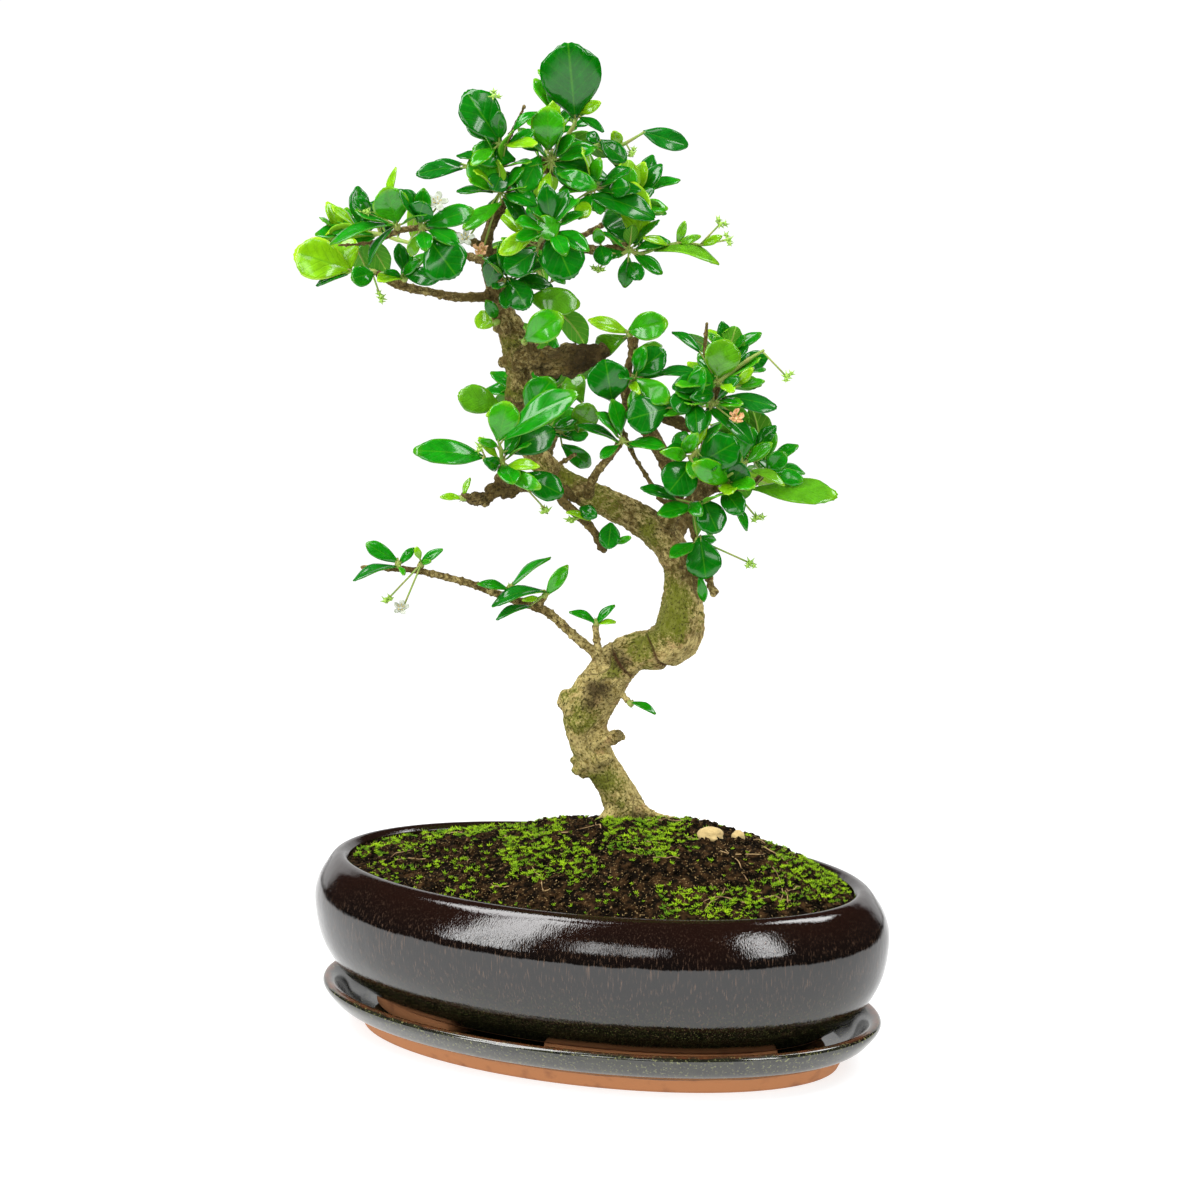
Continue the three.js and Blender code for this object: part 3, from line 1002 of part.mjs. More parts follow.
// A cluster of flower buds: a thin stalk with a green heart, some of whose corners are drawn out to points
function budSolids([px, py, towards = 2], stems, number) {
  const { root } = springPoint(stems, spot(px, py, behindOf(stems)));
  const heart = spot(px, py, root.dot(AWAY) - towards);
  const star = mergeVertices(bareGeometry(new THREE.OctahedronGeometry(BUD_RADIUS, 0)), 1e-4);
  const position = star.getAttribute("position");
  for (let i = 0; i < position.count; i += 1) {
    const drawn = (BUD_LENGTH * (1 + 0.3 * Math.cos(3 * i + number))) / BUD_RADIUS;
    const reach = BUD_CORNERS.includes(i) ? drawn : 1;
    position.setXYZ(i, reach * position.getX(i), reach * position.getY(i), reach * position.getZ(i));
  }
  return [stalkSolid(root, heart), solidFrom(star.translate(heart.x, heart.y, heart.z))];
}

// A thin flower stalk
function stalkSolid(from, to) {
  return tubeSolid([from, to].map((point) => ({ ...point, r: STALK_RADIUS })), 3);
}

// The way that a flower looks
function bloomWay() {
  return TO_EYE.clone().multiplyScalar(0.9).add(new THREE.Vector3(0, 0, 0.45)).normalize();
}

// A corolla: five petals that spread from a short tube, as one turned shape with a notched rim
function bloomSolid({ place, width, closed }) {
  const reach = 0.5 * width * MM_PER_PIXEL * (1 - 0.4 * closed);
  const rise = 0.5 * width * MM_PER_PIXEL * (0.15 + closed);
  const throat = THROAT_RADIUS;
  const profile = [
    [0, -THROAT_LENGTH], [throat, -THROAT_LENGTH], [throat, -PETAL_THICKNESS], [reach, rise],
    [0.7 * throat, 0], [0, -0.1]];
  const geometry = new THREE.LatheGeometry(profile.map(([r, y]) => new THREE.Vector2(r, y)), 3 * PETALS);
  const position = geometry.getAttribute("position");
  for (let i = 0; i < position.count; i += 1) {
    const [x, z] = [position.getX(i), position.getZ(i)];
    const around = Math.atan2(x, z);
    const onRim = Math.hypot(x, z) > 0.99 * reach;
    const notched = onRim && Math.cos(PETALS * around) > 0.99;
    const share = notched ? PETAL_NOTCH : 1;
    position.setXYZ(i, share * x, share * position.getY(i), share * z);
  }
  const heart = spot(...place);
  const turn = new THREE.Quaternion().setFromUnitVectors(new THREE.Vector3(0, 1, 0), bloomWay());
  return solidFrom(geometry.applyQuaternion(turn).translate(heart.x, heart.y, heart.z));
}

// The green cup and stalk under a corolla, part of the shoot that bears it
function bloomStalkSolids({ place }, stems) {
  const way = bloomWay();
  const foot = spot(...place).addScaledVector(way, -THROAT_LENGTH - SEAT_GAP);
  const { root } = springPoint(stems, foot);
  const cup = [[-CUP_LENGTH, STALK_RADIUS], [0, CUP_RADIUS]].map(([far, r]) => (
    { ...foot.clone().addScaledVector(way, far), r }));
  const stalkEnd = vector(cup[0]).addScaledVector(way, STALK_BITE);
  return [stalkSolid(root, stalkEnd), tubeSolid(cup, CUP_SIDES, 0, 0, 0)];
}

// Places all leaves first, so that each is bent clear of those before it and of all wood and stems
function plantLayout() {
  const stretches = Object.values(LIMB_ROUTES).flatMap((route) => stretchesOf(route, "wood"));
  KNOBS.forEach((knob) => {
    const { r, ...at } = knot(knob);
    stretches.push({ from: vector(at), to: vector(at), radius: r, owner: "wood" });
  });
  const stems = {};
  for (const [name, shoot] of Object.entries(SHOOTS)) {
    stretches.push(...stretchesOf(spurRoute(shoot).route, name));
    stems[name] = stemRoutes(shoot);
  }
  for (const [name, shoot] of Object.entries(BACK_SHOOTS)) {
    stems[name] = [backStem(shoot)];
  }
  const runs = Object.fromEntries(Object.entries(stems).map(([name, routes]) => (
    [name, routes.flatMap((route) => stretchesOf(route, name))])));
  stretches.push(...Object.values(runs).flat());
  const placed = [];
  const leaves = {};
  let number = 1;
  for (const [name, shoot] of Object.entries(SHOOTS)) {
    leaves[name] = [];
    for (const reading of shoot.leaves) {
      const leaf = bentClear(seenLeaf(reading, runs[name], name, number), placed, stretches);
      number += 1;
      if (leaf !== null) {
        leaves[name].push(leaf);
        placed.push(placedLeaf(leaf));
      }
    }
  }
  for (const [name, shoot] of Object.entries(BACK_SHOOTS)) {
    leaves[name] = backLeaves(name, shoot, stems[name][0], placed, stretches, number);
    number += shoot.leaves;
  }
  return { stems, runs, leaves };
}

// A shoot as one solid: stems, leaves, buds and flower stalks, cut back to sit on the wood
function shootSolid(name, layout, grownWood) {
  const stems = layout.stems[name].map((route, i) => (
    i === 0 && name in SHOOTS ? crownSolid(route) : tubeSolid(route, STEM_SIDES, 0, 0, 0)));
  const leaves = layout.leaves[name].map((leaf) => facesSolid(leafFaces(leaf)));
  const buds = (SHOOTS[name]?.buds ?? []).flatMap((bud, i) => budSolids(bud, layout.runs[name], i));
  const stalks = Object.values(BLOOMS).filter(({ shoot }) => shoot === name)
    .flatMap((bloom) => bloomStalkSolids(bloom, layout.runs[name]));
  const grown = wasm.Manifold.union([...stems, ...leaves, ...buds, ...stalks]);
  const bitten = grown.intersect(grownWood).volume() > LEAST_BITE;
  return mainBody(bitten ? grown.subtract(grownWood) : grown).simplify(SMOOTHING);
}

// Finishes: colour, roughness and metalness
const FINISHES = {
  saucer: [0x3a3222, 0.3, 0],
  pot: [0x241a16, 0.25, 0],
  drain_mesh: [0x20242a, 0.6, 0],
  soil: [0x3a2c1e, 0.95, 0],
  stone: [0xd8cfc0, 0.8, 0],
  wood: [0x8f8055, 0.9, 0],
  shoot: [0x2f9a10, 0.35, 0],
  bloom: [0xf5f3e8, 0.6, 0],
  wilted: [0xc9a46a, 0.8, 0],
};

const bonsai = new THREE.Group();

function addPiece(name, solid, finish) {
  const [color, roughness, metalness] = FINISHES[finish];
  const material = new THREE.MeshStandardMaterial({ color, roughness, metalness });
  const mesh = new THREE.Mesh(geometryFrom(solid), material);
  mesh.name = name;
  bonsai.add(mesh);
}

const wood = woodSolid(0);
const grownWood = woodSolid(SEAT_GAP);
const stones = Object.entries(STONES);
const grownStones = stones.map(([, stone], i) => stoneSolid(stone, i, SEAT_GAP));

addPiece("saucer", saucerSolid(), "saucer");
addPiece("pot", potSolid(), "pot");
addPiece("drain_mesh", drainMeshSolid(), "drain_mesh");
const soil = soilSolid().subtract(wasm.Manifold.union([grownWood, ...grownStones]));
addPiece("soil", mainBody(soil), "soil");
stones.forEach(([name, stone], i) => addPiece(name, stoneSolid(stone, i, 0), "stone"));
addPiece("wood", wood, "wood");

const layout = plantLayout();
for (const name of [...Object.keys(SHOOTS), ...Object.keys(BACK_SHOOTS)]) {
  addPiece(name, shootSolid(name, layout, grownWood), "shoot");
}
for (const [name, bloom] of Object.entries(BLOOMS)) {
  addPiece(name, bloomSolid(bloom), name.includes("wilted") ? "wilted" : "bloom");
}

export default bonsai;
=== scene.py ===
"""Fukien tea bonsai in an oval glazed pot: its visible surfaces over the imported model.

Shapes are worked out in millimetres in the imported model's frame, and brought to metres when a piece is
finished. The photographed side looks towards -Y, turned by the viewpoint's angle.
"""
import logging
import math
import random
from collections.abc import Callable
from dataclasses import dataclass, field
from enum import Enum

import bmesh
import bpy
import numpy
from mathutils import Matrix, Vector, geometry, kdtree, noise


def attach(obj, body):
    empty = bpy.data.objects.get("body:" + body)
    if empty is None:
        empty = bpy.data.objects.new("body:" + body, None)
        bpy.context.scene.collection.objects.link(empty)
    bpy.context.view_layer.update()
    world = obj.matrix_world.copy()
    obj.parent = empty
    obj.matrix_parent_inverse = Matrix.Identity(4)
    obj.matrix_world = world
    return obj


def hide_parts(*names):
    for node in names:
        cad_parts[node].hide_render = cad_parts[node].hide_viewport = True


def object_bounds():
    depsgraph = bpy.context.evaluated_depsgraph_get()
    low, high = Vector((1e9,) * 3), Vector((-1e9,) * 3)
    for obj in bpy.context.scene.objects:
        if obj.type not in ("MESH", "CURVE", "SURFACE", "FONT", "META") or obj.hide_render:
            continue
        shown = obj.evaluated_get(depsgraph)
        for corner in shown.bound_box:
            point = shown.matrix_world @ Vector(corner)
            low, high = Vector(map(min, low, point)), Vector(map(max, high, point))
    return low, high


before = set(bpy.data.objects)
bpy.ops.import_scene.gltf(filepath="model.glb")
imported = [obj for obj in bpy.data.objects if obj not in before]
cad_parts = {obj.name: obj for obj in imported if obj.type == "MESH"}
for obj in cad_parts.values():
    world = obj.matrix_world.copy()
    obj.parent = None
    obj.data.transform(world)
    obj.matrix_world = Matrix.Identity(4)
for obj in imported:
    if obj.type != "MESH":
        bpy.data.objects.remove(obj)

CAD_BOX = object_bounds()
LOG = logging.getLogger("bonsai")
MM = 0.001
UP = Vector((0, 0, 1))

Route = tuple[tuple[float, ...], ...]
Colour = tuple[float, float, float, float]
Socket = bpy.types.NodeSocket


@dataclass
class Viewpoint:
    """The place that the photograph was taken from, in mm and in pixels of its square frame."""

    turn: float = math.radians(25)
    tilt: float = math.radians(10.5)
    distance: float = 1400
    centre_height: float = 192.1
    centre_side: float = 1.7
    focal_pixels: float = 3331
    frame_pixels: float = 1200
    sensor: float = 36
    sideways: Vector = field(init=False)
    away: Vector = field(init=False)
    to_eye: Vector = field(init=False)
    sight_up: Vector = field(init=False)
    eye: Vector = field(init=False)

    def __post_init__(self) -> None:
        """Works out the axes of the view."""
        self.sideways = Vector((math.cos(self.turn), math.sin(self.turn), 0))
        self.away = Vector((-math.sin(self.turn), math.cos(self.turn), 0))
        self.to_eye = self.away * -math.cos(self.tilt) + UP * math.sin(self.tilt)
        self.sight_up = self.to_eye.cross(self.sideways)
        centre = self.sideways * self.centre_side + UP * self.centre_height
        self.eye = centre + self.to_eye * self.distance

    @property
    def mm_per_pixel(self) -> float:
        """The size of a pixel at the plant's distance."""
        return self.distance / self.focal_pixels

    def spot(self, px: float, py: float, behind: float) -> Vector:
        """The point seen at a pixel, so many mm behind the upright plane through the pot's middle.

        Args:
            px: pixel from the left.
            py: pixel from the top.
            behind: depth behind the plane, in mm.

        Returns:
            The point, in mm.
        """
        middle = self.frame_pixels / 2
        ray = -self.to_eye + self.sideways * ((px - middle) / self.focal_pixels)
        ray += self.sight_up * ((middle - py) / self.focal_pixels)
        reach = (behind - self.eye.dot(self.away)) / ray.dot(self.away)
        return self.eye + ray * reach

    def pixel_of(self, place: Vector) -> tuple[float, float]:
        """The pixel at which a place is seen."""
        offset = place - self.eye
        scale = self.focal_pixels / -offset.dot(self.to_eye)
        middle = self.frame_pixels / 2
        return middle + scale * offset.dot(self.sideways), middle - scale * offset.dot(self.sight_up)


VIEW = Viewpoint()


def draw(number: float, use: float) -> float:
    """A repeatable draw between 0 and 1 for a numbered thing and a numbered use."""
    wave = math.sin(number * 12.9898 + use * 78.233) * 43758.5453
    return wave - math.floor(wave)


def fade(value: float, start: float, end: float) -> float:
    """How far a value has gone from start to end, from 0 to 1, with soft ends."""
    share = min(1.0, max(0.0, (value - start) / (end - start)))
    return share * share * (3 - 2 * share)


def linear(colour: str) -> Colour:
    """Turns an sRGB hex colour into linear red, green, blue and alpha."""
    parts = [int(colour[i:i + 2], 16) / 255 for i in (1, 3, 5)]
    red, green, blue = (p / 12.92 if p <= 0.04045 else ((p + 0.055) / 1.055) ** 2.4 for p in parts)
    return red, green, blue, 1.0


def plug(node: bpy.types.Node, inputs: dict[str | int, object]) -> None:
    """Sets or links a node's inputs.

    Args:
        node: the node.
        inputs: values, or sockets to link, by the name or number of the input.
    """
    for key, value in inputs.items():
        if isinstance(value, Socket):
            node.id_data.links.new(value, node.inputs[key])
        else:
            node.inputs[key].default_value = value


def add(tree: bpy.types.NodeTree, kind: str, inputs: dict[str | int, object] | None = None,
        out: int | str = 0, **settings: object) -> Socket:
    """Adds a shader node with its settings and links.

    Args:
        tree: the material's nodes.
        kind: the node's type, without the word ShaderNode.
        inputs: values, or sockets to link, by the name or number of the input.
        out: the name or number of the output that is wanted.
        settings: the node's own settings.

    Returns:
        The wanted output.
    """
    node = tree.nodes.new("ShaderNode" + kind)
    for name, value in settings.items():
        setattr(node, name, value)
    plug(node, inputs or {})
    return node.outputs[out]


@dataclass(frozen=True)
class Finish:
    """A finish: a named material with one Principled surface that paint() dresses."""

    label: str = "finish"
    roughness: float = 0.6
    ior: float = 1.5

    def material(self) -> bpy.types.Material:
        """Makes the material."""
        made = bpy.data.materials.new(self.label)
        made.use_nodes = True
        surface = made.node_tree.nodes["Principled BSDF"]
        plug(surface, {"Roughness": self.roughness, "IOR": self.ior})
        self.paint(made.node_tree, surface)
        return made

    def paint(self, tree: bpy.types.NodeTree, surface: bpy.types.Node) -> None:
        """Dresses the surface shader; each finish has its own.

        Args:
            tree: the material's nodes.
            surface: its Principled shader.
        """


@dataclass(frozen=True)
class PotGlaze(Finish):
    """Iron-brown glaze fired to a gloss: near black where thick, brown under the lip, finely streaked, and
    greenish near black low on the body as painted reflection of the dark saucer and painted shade.
    """

    label: str = "gloss_iron_brown_glaze"
    roughness: float = 0.06
    ior: float = 1.66
    body: str = "#0b0807"
    shoulder: str = "#180b07"
    # Greenish near black low on the body: painted reflection of the dark saucer and painted shade.
    low: str = "#0c0e05"
    speck: str = "#464a28"
    streak: str = "#604a3a"
    streak_width: float = 0.6
    streak_length: float = 6
    speck_size: float = 0.9
    shoulder_from: float = 58
    shoulder_to: float = 74
    low_from: float = 46
    low_to: float = 18
    wander: float = 16

    def paint(self, tree: bpy.types.NodeTree, surface: bpy.types.Node) -> None:
        """Blends the three heights, the low one greenish as painted saucer reflection and shade, then runs
        pale streaks down and specks through the low part.
        """
        place = add(tree, "TexCoord", out="Object")
        height = add(tree, "SeparateXYZ", {0: place}, out="Z")
        uneven = add(tree, "TexNoise", {"Vector": place, "Scale": 45.0, "Detail": 3.0})
        wander = add(tree, "Math", {0: uneven, 1: self.wander * MM, 2: height}, operation="MULTIPLY_ADD")
        drift = self.wander / 2
        warm = add(tree, "MapRange", {"Value": wander, "From Min": (self.shoulder_from + drift) * MM,
                                      "From Max": (self.shoulder_to + drift) * MM})
        # Painted saucer reflection and shade: the glaze turns to the greenish low colour from low_from down
        # to low_to.
        deep = add(tree, "MapRange", {"Value": wander, "From Min": (self.low_from + drift) * MM,
                                      "From Max": (self.low_to + drift) * MM})
        colour = add(tree, "Mix", {0: warm, 6: linear(self.body), 7: linear(self.shoulder)}, 2,
                     data_type="RGBA")
        colour = add(tree, "Mix", {0: deep, 6: colour, 7: linear(self.low)}, 2, data_type="RGBA")
        runs = add(tree, "Mapping", {
            "Vector": place, "Scale": (1 / self.streak_width, 1 / self.streak_width, 1 / self.streak_length)})
        run = add(tree, "TexNoise", {"Vector": runs, "Scale": 1000.0, "Detail": 2.0})
        thin = add(tree, "MapRange", {"Value": run, "From Min": 0.56, "From Max": 0.78, "To Max": 0.7})
        fewer = add(tree, "MapRange", {"Value": warm, "To Min": 1.0, "To Max": 0.2})
        thin = add(tree, "Math", {0: thin, 1: fewer}, operation="MULTIPLY")
        colour = add(tree, "Mix", {0: thin, 6: colour, 7: linear(self.streak)}, 2, data_type="RGBA")
        grain = add(tree, "TexNoise", {"Vector": place, "Scale": 1000 / self.speck_size, "Detail": 1.0})
        dots = add(tree, "MapRange", {"Value": grain, "From Min": 0.57, "From Max": 0.7})
        dots = add(tree, "Math", {0: dots, 1: deep}, operation="MULTIPLY")
        colour = add(tree, "Mix", {0: dots, 6: colour, 7: linear(self.speck)}, 2, data_type="RGBA")
        skin = add(tree, "TexNoise", {"Vector": place, "Scale": 60.0, "Detail": 3.0})
        wave = add(tree, "Math", {0: run, 1: 0.16, 2: skin}, operation="MULTIPLY_ADD")
        ripple = add(tree, "Bump", {"Height": wave, "Strength": 0.8, "Distance": 0.0004})
        rough = add(tree, "MapRange", {"Value": run, "From Min": 0.35, "From Max": 0.75,
                                       "To Min": self.roughness - 0.04, "To Max": self.roughness + 0.06})
        plug(surface, {"Base Color": colour, "Normal": ripple, "Roughness": rough})


@dataclass(frozen=True)
class SaucerGlaze(Finish):
    """Bronze-green glaze, pooled and mottled in the well and burnt to reddish bronze on the thin rim."""

    label: str = "gloss_bronze_green_glaze"
    roughness: float = 0.1
    ior: float = 1.8
    body: str = "#232418"
    pooled: str = "#0f100b"
    rim: str = "#6a3c20"
    speck: str = "#77784c"
    mottle_size: float = 7
    speck_size: float = 1.1
    rim_from: float = 19.9
    rim_to: float = 21.0

    def paint(self, tree: bpy.types.NodeTree, surface: bpy.types.Node) -> None:
        """Mottles the glaze, dots it with specks and burns the rim."""
        place = add(tree, "TexCoord", out="Object")
        height = add(tree, "SeparateXYZ", {0: place}, out="Z")
        mottle = add(tree, "TexNoise", {"Vector": place, "Scale": 1000 / self.mottle_size, "Detail": 4.0})
        patch = add(tree, "MapRange", {"Value": mottle, "From Min": 0.4, "From Max": 0.62})
        colour = add(tree, "Mix", {0: patch, 6: linear(self.body), 7: linear(self.pooled)}, 2,
                     data_type="RGBA")
        grain = add(tree, "TexNoise", {"Vector": place, "Scale": 1000 / self.speck_size, "Detail": 2.0})
        dots = add(tree, "MapRange", {"Value": grain, "From Min": 0.58, "From Max": 0.7, "To Max": 0.8})
        colour = add(tree, "Mix", {0: dots, 6: colour, 7: linear(self.speck)}, 2, data_type="RGBA")
        wander = add(tree, "Math", {0: mottle, 1: 0.002, 2: height}, operation="MULTIPLY_ADD")
        edge = add(tree, "MapRange", {
            "Value": wander, "From Min": (self.rim_from + 1) * MM, "From Max": (self.rim_to + 1) * MM})
        colour = add(tree, "Mix", {0: edge, 6: colour, 7: linear(self.rim)}, 2, data_type="RGBA")
        ripple = add(tree, "Bump", {"Height": mottle, "Strength": 0.4, "Distance": 0.0001})
        rough = add(tree, "MapRange", {"Value": mottle, "To Min": 0.06, "To Max": 0.2})
        plug(surface, {"Base Color": colour, "Normal": ripple, "Roughness": rough})


@dataclass(frozen=True)
class Bisque(Finish):
    """Unglazed terracotta, wiped before firing: dry, warm and slightly smudged by the glaze above."""

    label: str = "bisque_terracotta"
    roughness: float = 0.88
    clay: str = "#b1764a"
    smudge: str = "#865438"
    cloud_size: float = 9
    grit_size: float = 0.7

    def paint(self, tree: bpy.types.NodeTree, surface: bpy.types.Node) -> None:
        """Clouds the clay and gives it a fine grit."""
        place = add(tree, "TexCoord", out="Object")
        cloud = add(tree, "TexNoise", {"Vector": place, "Scale": 1000 / self.cloud_size, "Detail": 5.0})
        dirt = add(tree, "MapRange", {"Value": cloud, "From Min": 0.55, "From Max": 0.8})
        colour = add(tree, "Mix", {0: dirt, 6: linear(self.clay), 7: linear(self.smudge)}, 2,
                     data_type="RGBA")
        grit = add(tree, "TexNoise", {"Vector": place, "Scale": 1000 / self.grit_size})
        tooth = add(tree, "Bump", {"Height": grit, "Strength": 0.5, "Distance": 0.0002})
        plug(surface, {"Base Color": colour, "Normal": tooth})


@dataclass(frozen=True)
class PottingSoil(Finish):
    """Moist potting soil: near black peat with brown fibres and pale grit between the crumbs."""

    label: str = "moist_potting_soil"
    roughness: float = 0.95
    ior: float = 1.12
    peat: str = "#0c0804"
    fibre: str = "#3c2a17"
    grit: str = "#86704a"
    clod_size: float = 3.5
    grit_size: float = 0.9

    def paint(self, tree: bpy.types.NodeTree, surface: bpy.types.Node) -> None:
        """Mixes peat and fibre by clods and scatters grit."""
        place = add(tree, "TexCoord", out="Object")
        clod = add(tree, "TexNoise", {"Vector": place, "Scale": 1000 / self.clod_size, "Detail": 5.0})
        brown = add(tree, "MapRange", {"Value": clod, "From Min": 0.46, "From Max": 0.7})
        colour = add(tree, "Mix", {0: brown, 6: linear(self.peat), 7: linear(self.fibre)}, 2,
                     data_type="RGBA")
        speck = add(tree, "TexNoise", {"Vector": place, "Scale": 1000 / self.grit_size, "Detail": 1.0})
        dots = add(tree, "MapRange", {"Value": speck, "From Min": 0.64, "From Max": 0.72, "To Max": 0.8})
        colour = add(tree, "Mix", {0: dots, 6: colour, 7: linear(self.grit)}, 2, data_type="RGBA")
        lumps = add(tree, "Bump", {"Height": clod, "Strength": 1.0, "Distance": 0.0012})
        plug(surface, {"Base Color": colour, "Normal": lumps})


@dataclass(frozen=True)
class LivingMoss(Finish):
    """Star moss: dark, brownish feet and bright yellow-green tips, brighter in some cushions."""

    label: str = "living_star_moss"
    roughness: float = 0.75
    ior: float = 1.3
    foot: str = "#1c2404"
    leaf: str = "#5c8a06"
    tip: str = "#a6cf10"
    cushion_size: float = 8

    def paint(self, tree: bpy.types.NodeTree, surface: bpy.types.Node) -> None:
        """Runs from foot to tip by the sprig's own attribute, and varies the green by cushions."""
        place = add(tree, "TexCoord", out="Object")
        rise = add(tree, "Attribute", out="Fac", attribute_name="sprig")
        cushion = add(tree, "TexNoise", {"Vector": place, "Scale": 1000 / self.cushion_size})
        bright = add(tree, "MapRange", {"Value": cushion, "From Min": 0.35, "From Max": 0.65})
        green = add(tree, "Mix", {0: bright, 6: linear(self.leaf), 7: linear(self.tip)}, 2,
                    data_type="RGBA")
        grown = add(tree, "MapRange", {"Value": rise, "From Min": 0.05, "From Max": 0.75})
        colour = add(tree, "Mix", {0: grown, 6: linear(self.foot), 7: green}, 2, data_type="RGBA")
        plug(surface, {"Base Color": colour})


@dataclass(frozen=True)
class Pebble(Finish):
    """Water-worn limestone: pale and matt, with faint grey clouds and a few rusty pits."""

    label: str = "water_worn_pebble"
    roughness: float = 0.8
    stone: str = "#cfb87e"
    cloud: str = "#9c8350"
    pit: str = "#5d4a33"
    cloud_size: float = 3
    pit_size: float = 0.6

    def paint(self, tree: bpy.types.NodeTree, surface: bpy.types.Node) -> None:
        """Clouds the stone and pits it."""
        place = add(tree, "TexCoord", out="Object")
        cloud = add(tree, "TexNoise", {"Vector": place, "Scale": 1000 / self.cloud_size, "Detail": 4.0})
        colour = add(tree, "Mix", {0: cloud, 6: linear(self.stone), 7: linear(self.cloud)}, 2,
                     data_type="RGBA")
        pits = add(tree, "TexNoise", {"Vector": place, "Scale": 1000 / self.pit_size})
        dots = add(tree, "MapRange", {"Value": pits, "From Min": 0.64, "From Max": 0.75, "To Max": 0.7})
        colour = add(tree, "Mix", {0: dots, 6: colour, 7: linear(self.pit)}, 2, data_type="RGBA")
        grain = add(tree, "Bump", {"Height": pits, "Strength": 0.4, "Distance": 0.0002})
        plug(surface, {"Base Color": colour, "Normal": grain})


@dataclass(frozen=True)
class LivingBark(Finish):
    """Living bark: pale tan, speckled all over, green with algae in patches, and darkened with painted shade
    in its creases.

    The piece's "grain" attribute is the place in mm along and across the limb, and its "bark" attribute
    holds stains, algae, pale new bark and, as its alpha, crease depth, which paint() darkens as painted
    shade.
    """

    label: str = "living_bark"
    roughness: float = 0.88
    ior: float = 1.3
    pale: str = "#c8b676"
    tan: str = "#86743a"
    brown: str = "#57461f"
    flush: str = "#b08c60"
    algae: str = "#646e10"
    corky: str = "#3a2c14"
    speckle: str = "#33280f"
    crease_shade: str = "#4a2c18"
    cloud_size: float = 5
    mottle_size: float = 2.0
    speck_size: float = 0.95

    def paint(self, tree: bpy.types.NodeTree, surface: bpy.types.Node) -> None:
        """Lays clouds, mottles, algae, specks and painted crease shade over each other, and raises the
        mottles.
        """
        grain = add(tree, "Attribute", out="Vector", attribute_name="grain")
        marks = add(tree, "Attribute", out="Color", attribute_name="bark")
        split = add(tree, "SeparateColor", {0: marks}).node
        stain, green, light = (split.outputs[i] for i in range(3))
        crease = marks.node.outputs["Alpha"]
        cloud = add(tree, "TexNoise", {"Vector": grain, "Scale": 1 / self.cloud_size, "Detail": 3.0})
        mottle = add(tree, "TexNoise", {"Vector": grain, "Scale": 1 / self.mottle_size, "Detail": 6.0,
                                        "Roughness": 0.75})
        speck = add(tree, "TexNoise", {"Vector": grain, "Scale": 1 / self.speck_size, "Detail": 3.0,
                                       "Roughness": 0.7})
        bright = add(tree, "MapRange", {"Value": mottle, "From Min": 0.38, "From Max": 0.56})
        colour = add(tree, "Mix", {0: bright, 6: linear(self.tan), 7: linear(self.pale)}, 2,
                     data_type="RGBA")
        warm = add(tree, "MapRange", {"Value": cloud, "From Min": 0.56, "From Max": 0.68, "To Max": 0.5})
        aged = add(tree, "Math", {0: mottle, 1: 2.4, 2: light}, operation="MULTIPLY_ADD")
        aged = add(tree, "MapRange", {"Value": aged, "From Min": 1.85, "From Max": 1.25, "To Max": 0.9})
        film = add(tree, "Math", {0: speck, 1: 1.7, 2: green}, operation="MULTIPLY_ADD")
        film = add(tree, "MapRange", {"Value": film, "From Min": 1.1, "From Max": 1.45, "To Max": 0.85})
        cork = add(tree, "Math", {0: mottle, 1: 1.1, 2: stain}, operation="MULTIPLY_ADD")
        cork = add(tree, "MapRange", {"Value": cork, "From Min": 0.85, "From Max": 1.25, "To Max": 0.9})
        scab = add(tree, "Math", {0: stain, 1: 0.12, 2: speck}, operation="MULTIPLY_ADD")
        scab = add(tree, "MapRange", {"Value": scab, "From Min": 0.545, "From Max": 0.64, "To Max": 0.85})
        # Painted shade: the bark darkens towards crease_shade where the crease is deep.
        deep = add(tree, "MapRange", {"Value": crease, "From Min": 0.3, "From Max": 0.9, "To Max": 0.85})
        for share, tone in ((warm, self.flush), (aged, self.brown), (film, self.algae), (cork, self.corky),
                            (scab, self.speckle), (deep, self.crease_shade)):
            colour = add(tree, "Mix", {0: share, 6: colour, 7: linear(tone)}, 2, data_type="RGBA")
        rough = add(tree, "Bump", {"Height": mottle, "Strength": 1.0, "Distance": 0.0011})
        fine = add(tree, "Bump", {"Height": speck, "Strength": 0.9, "Distance": 0.0006, "Normal": rough})
        plug(surface, {"Base Color": colour, "Normal": fine})


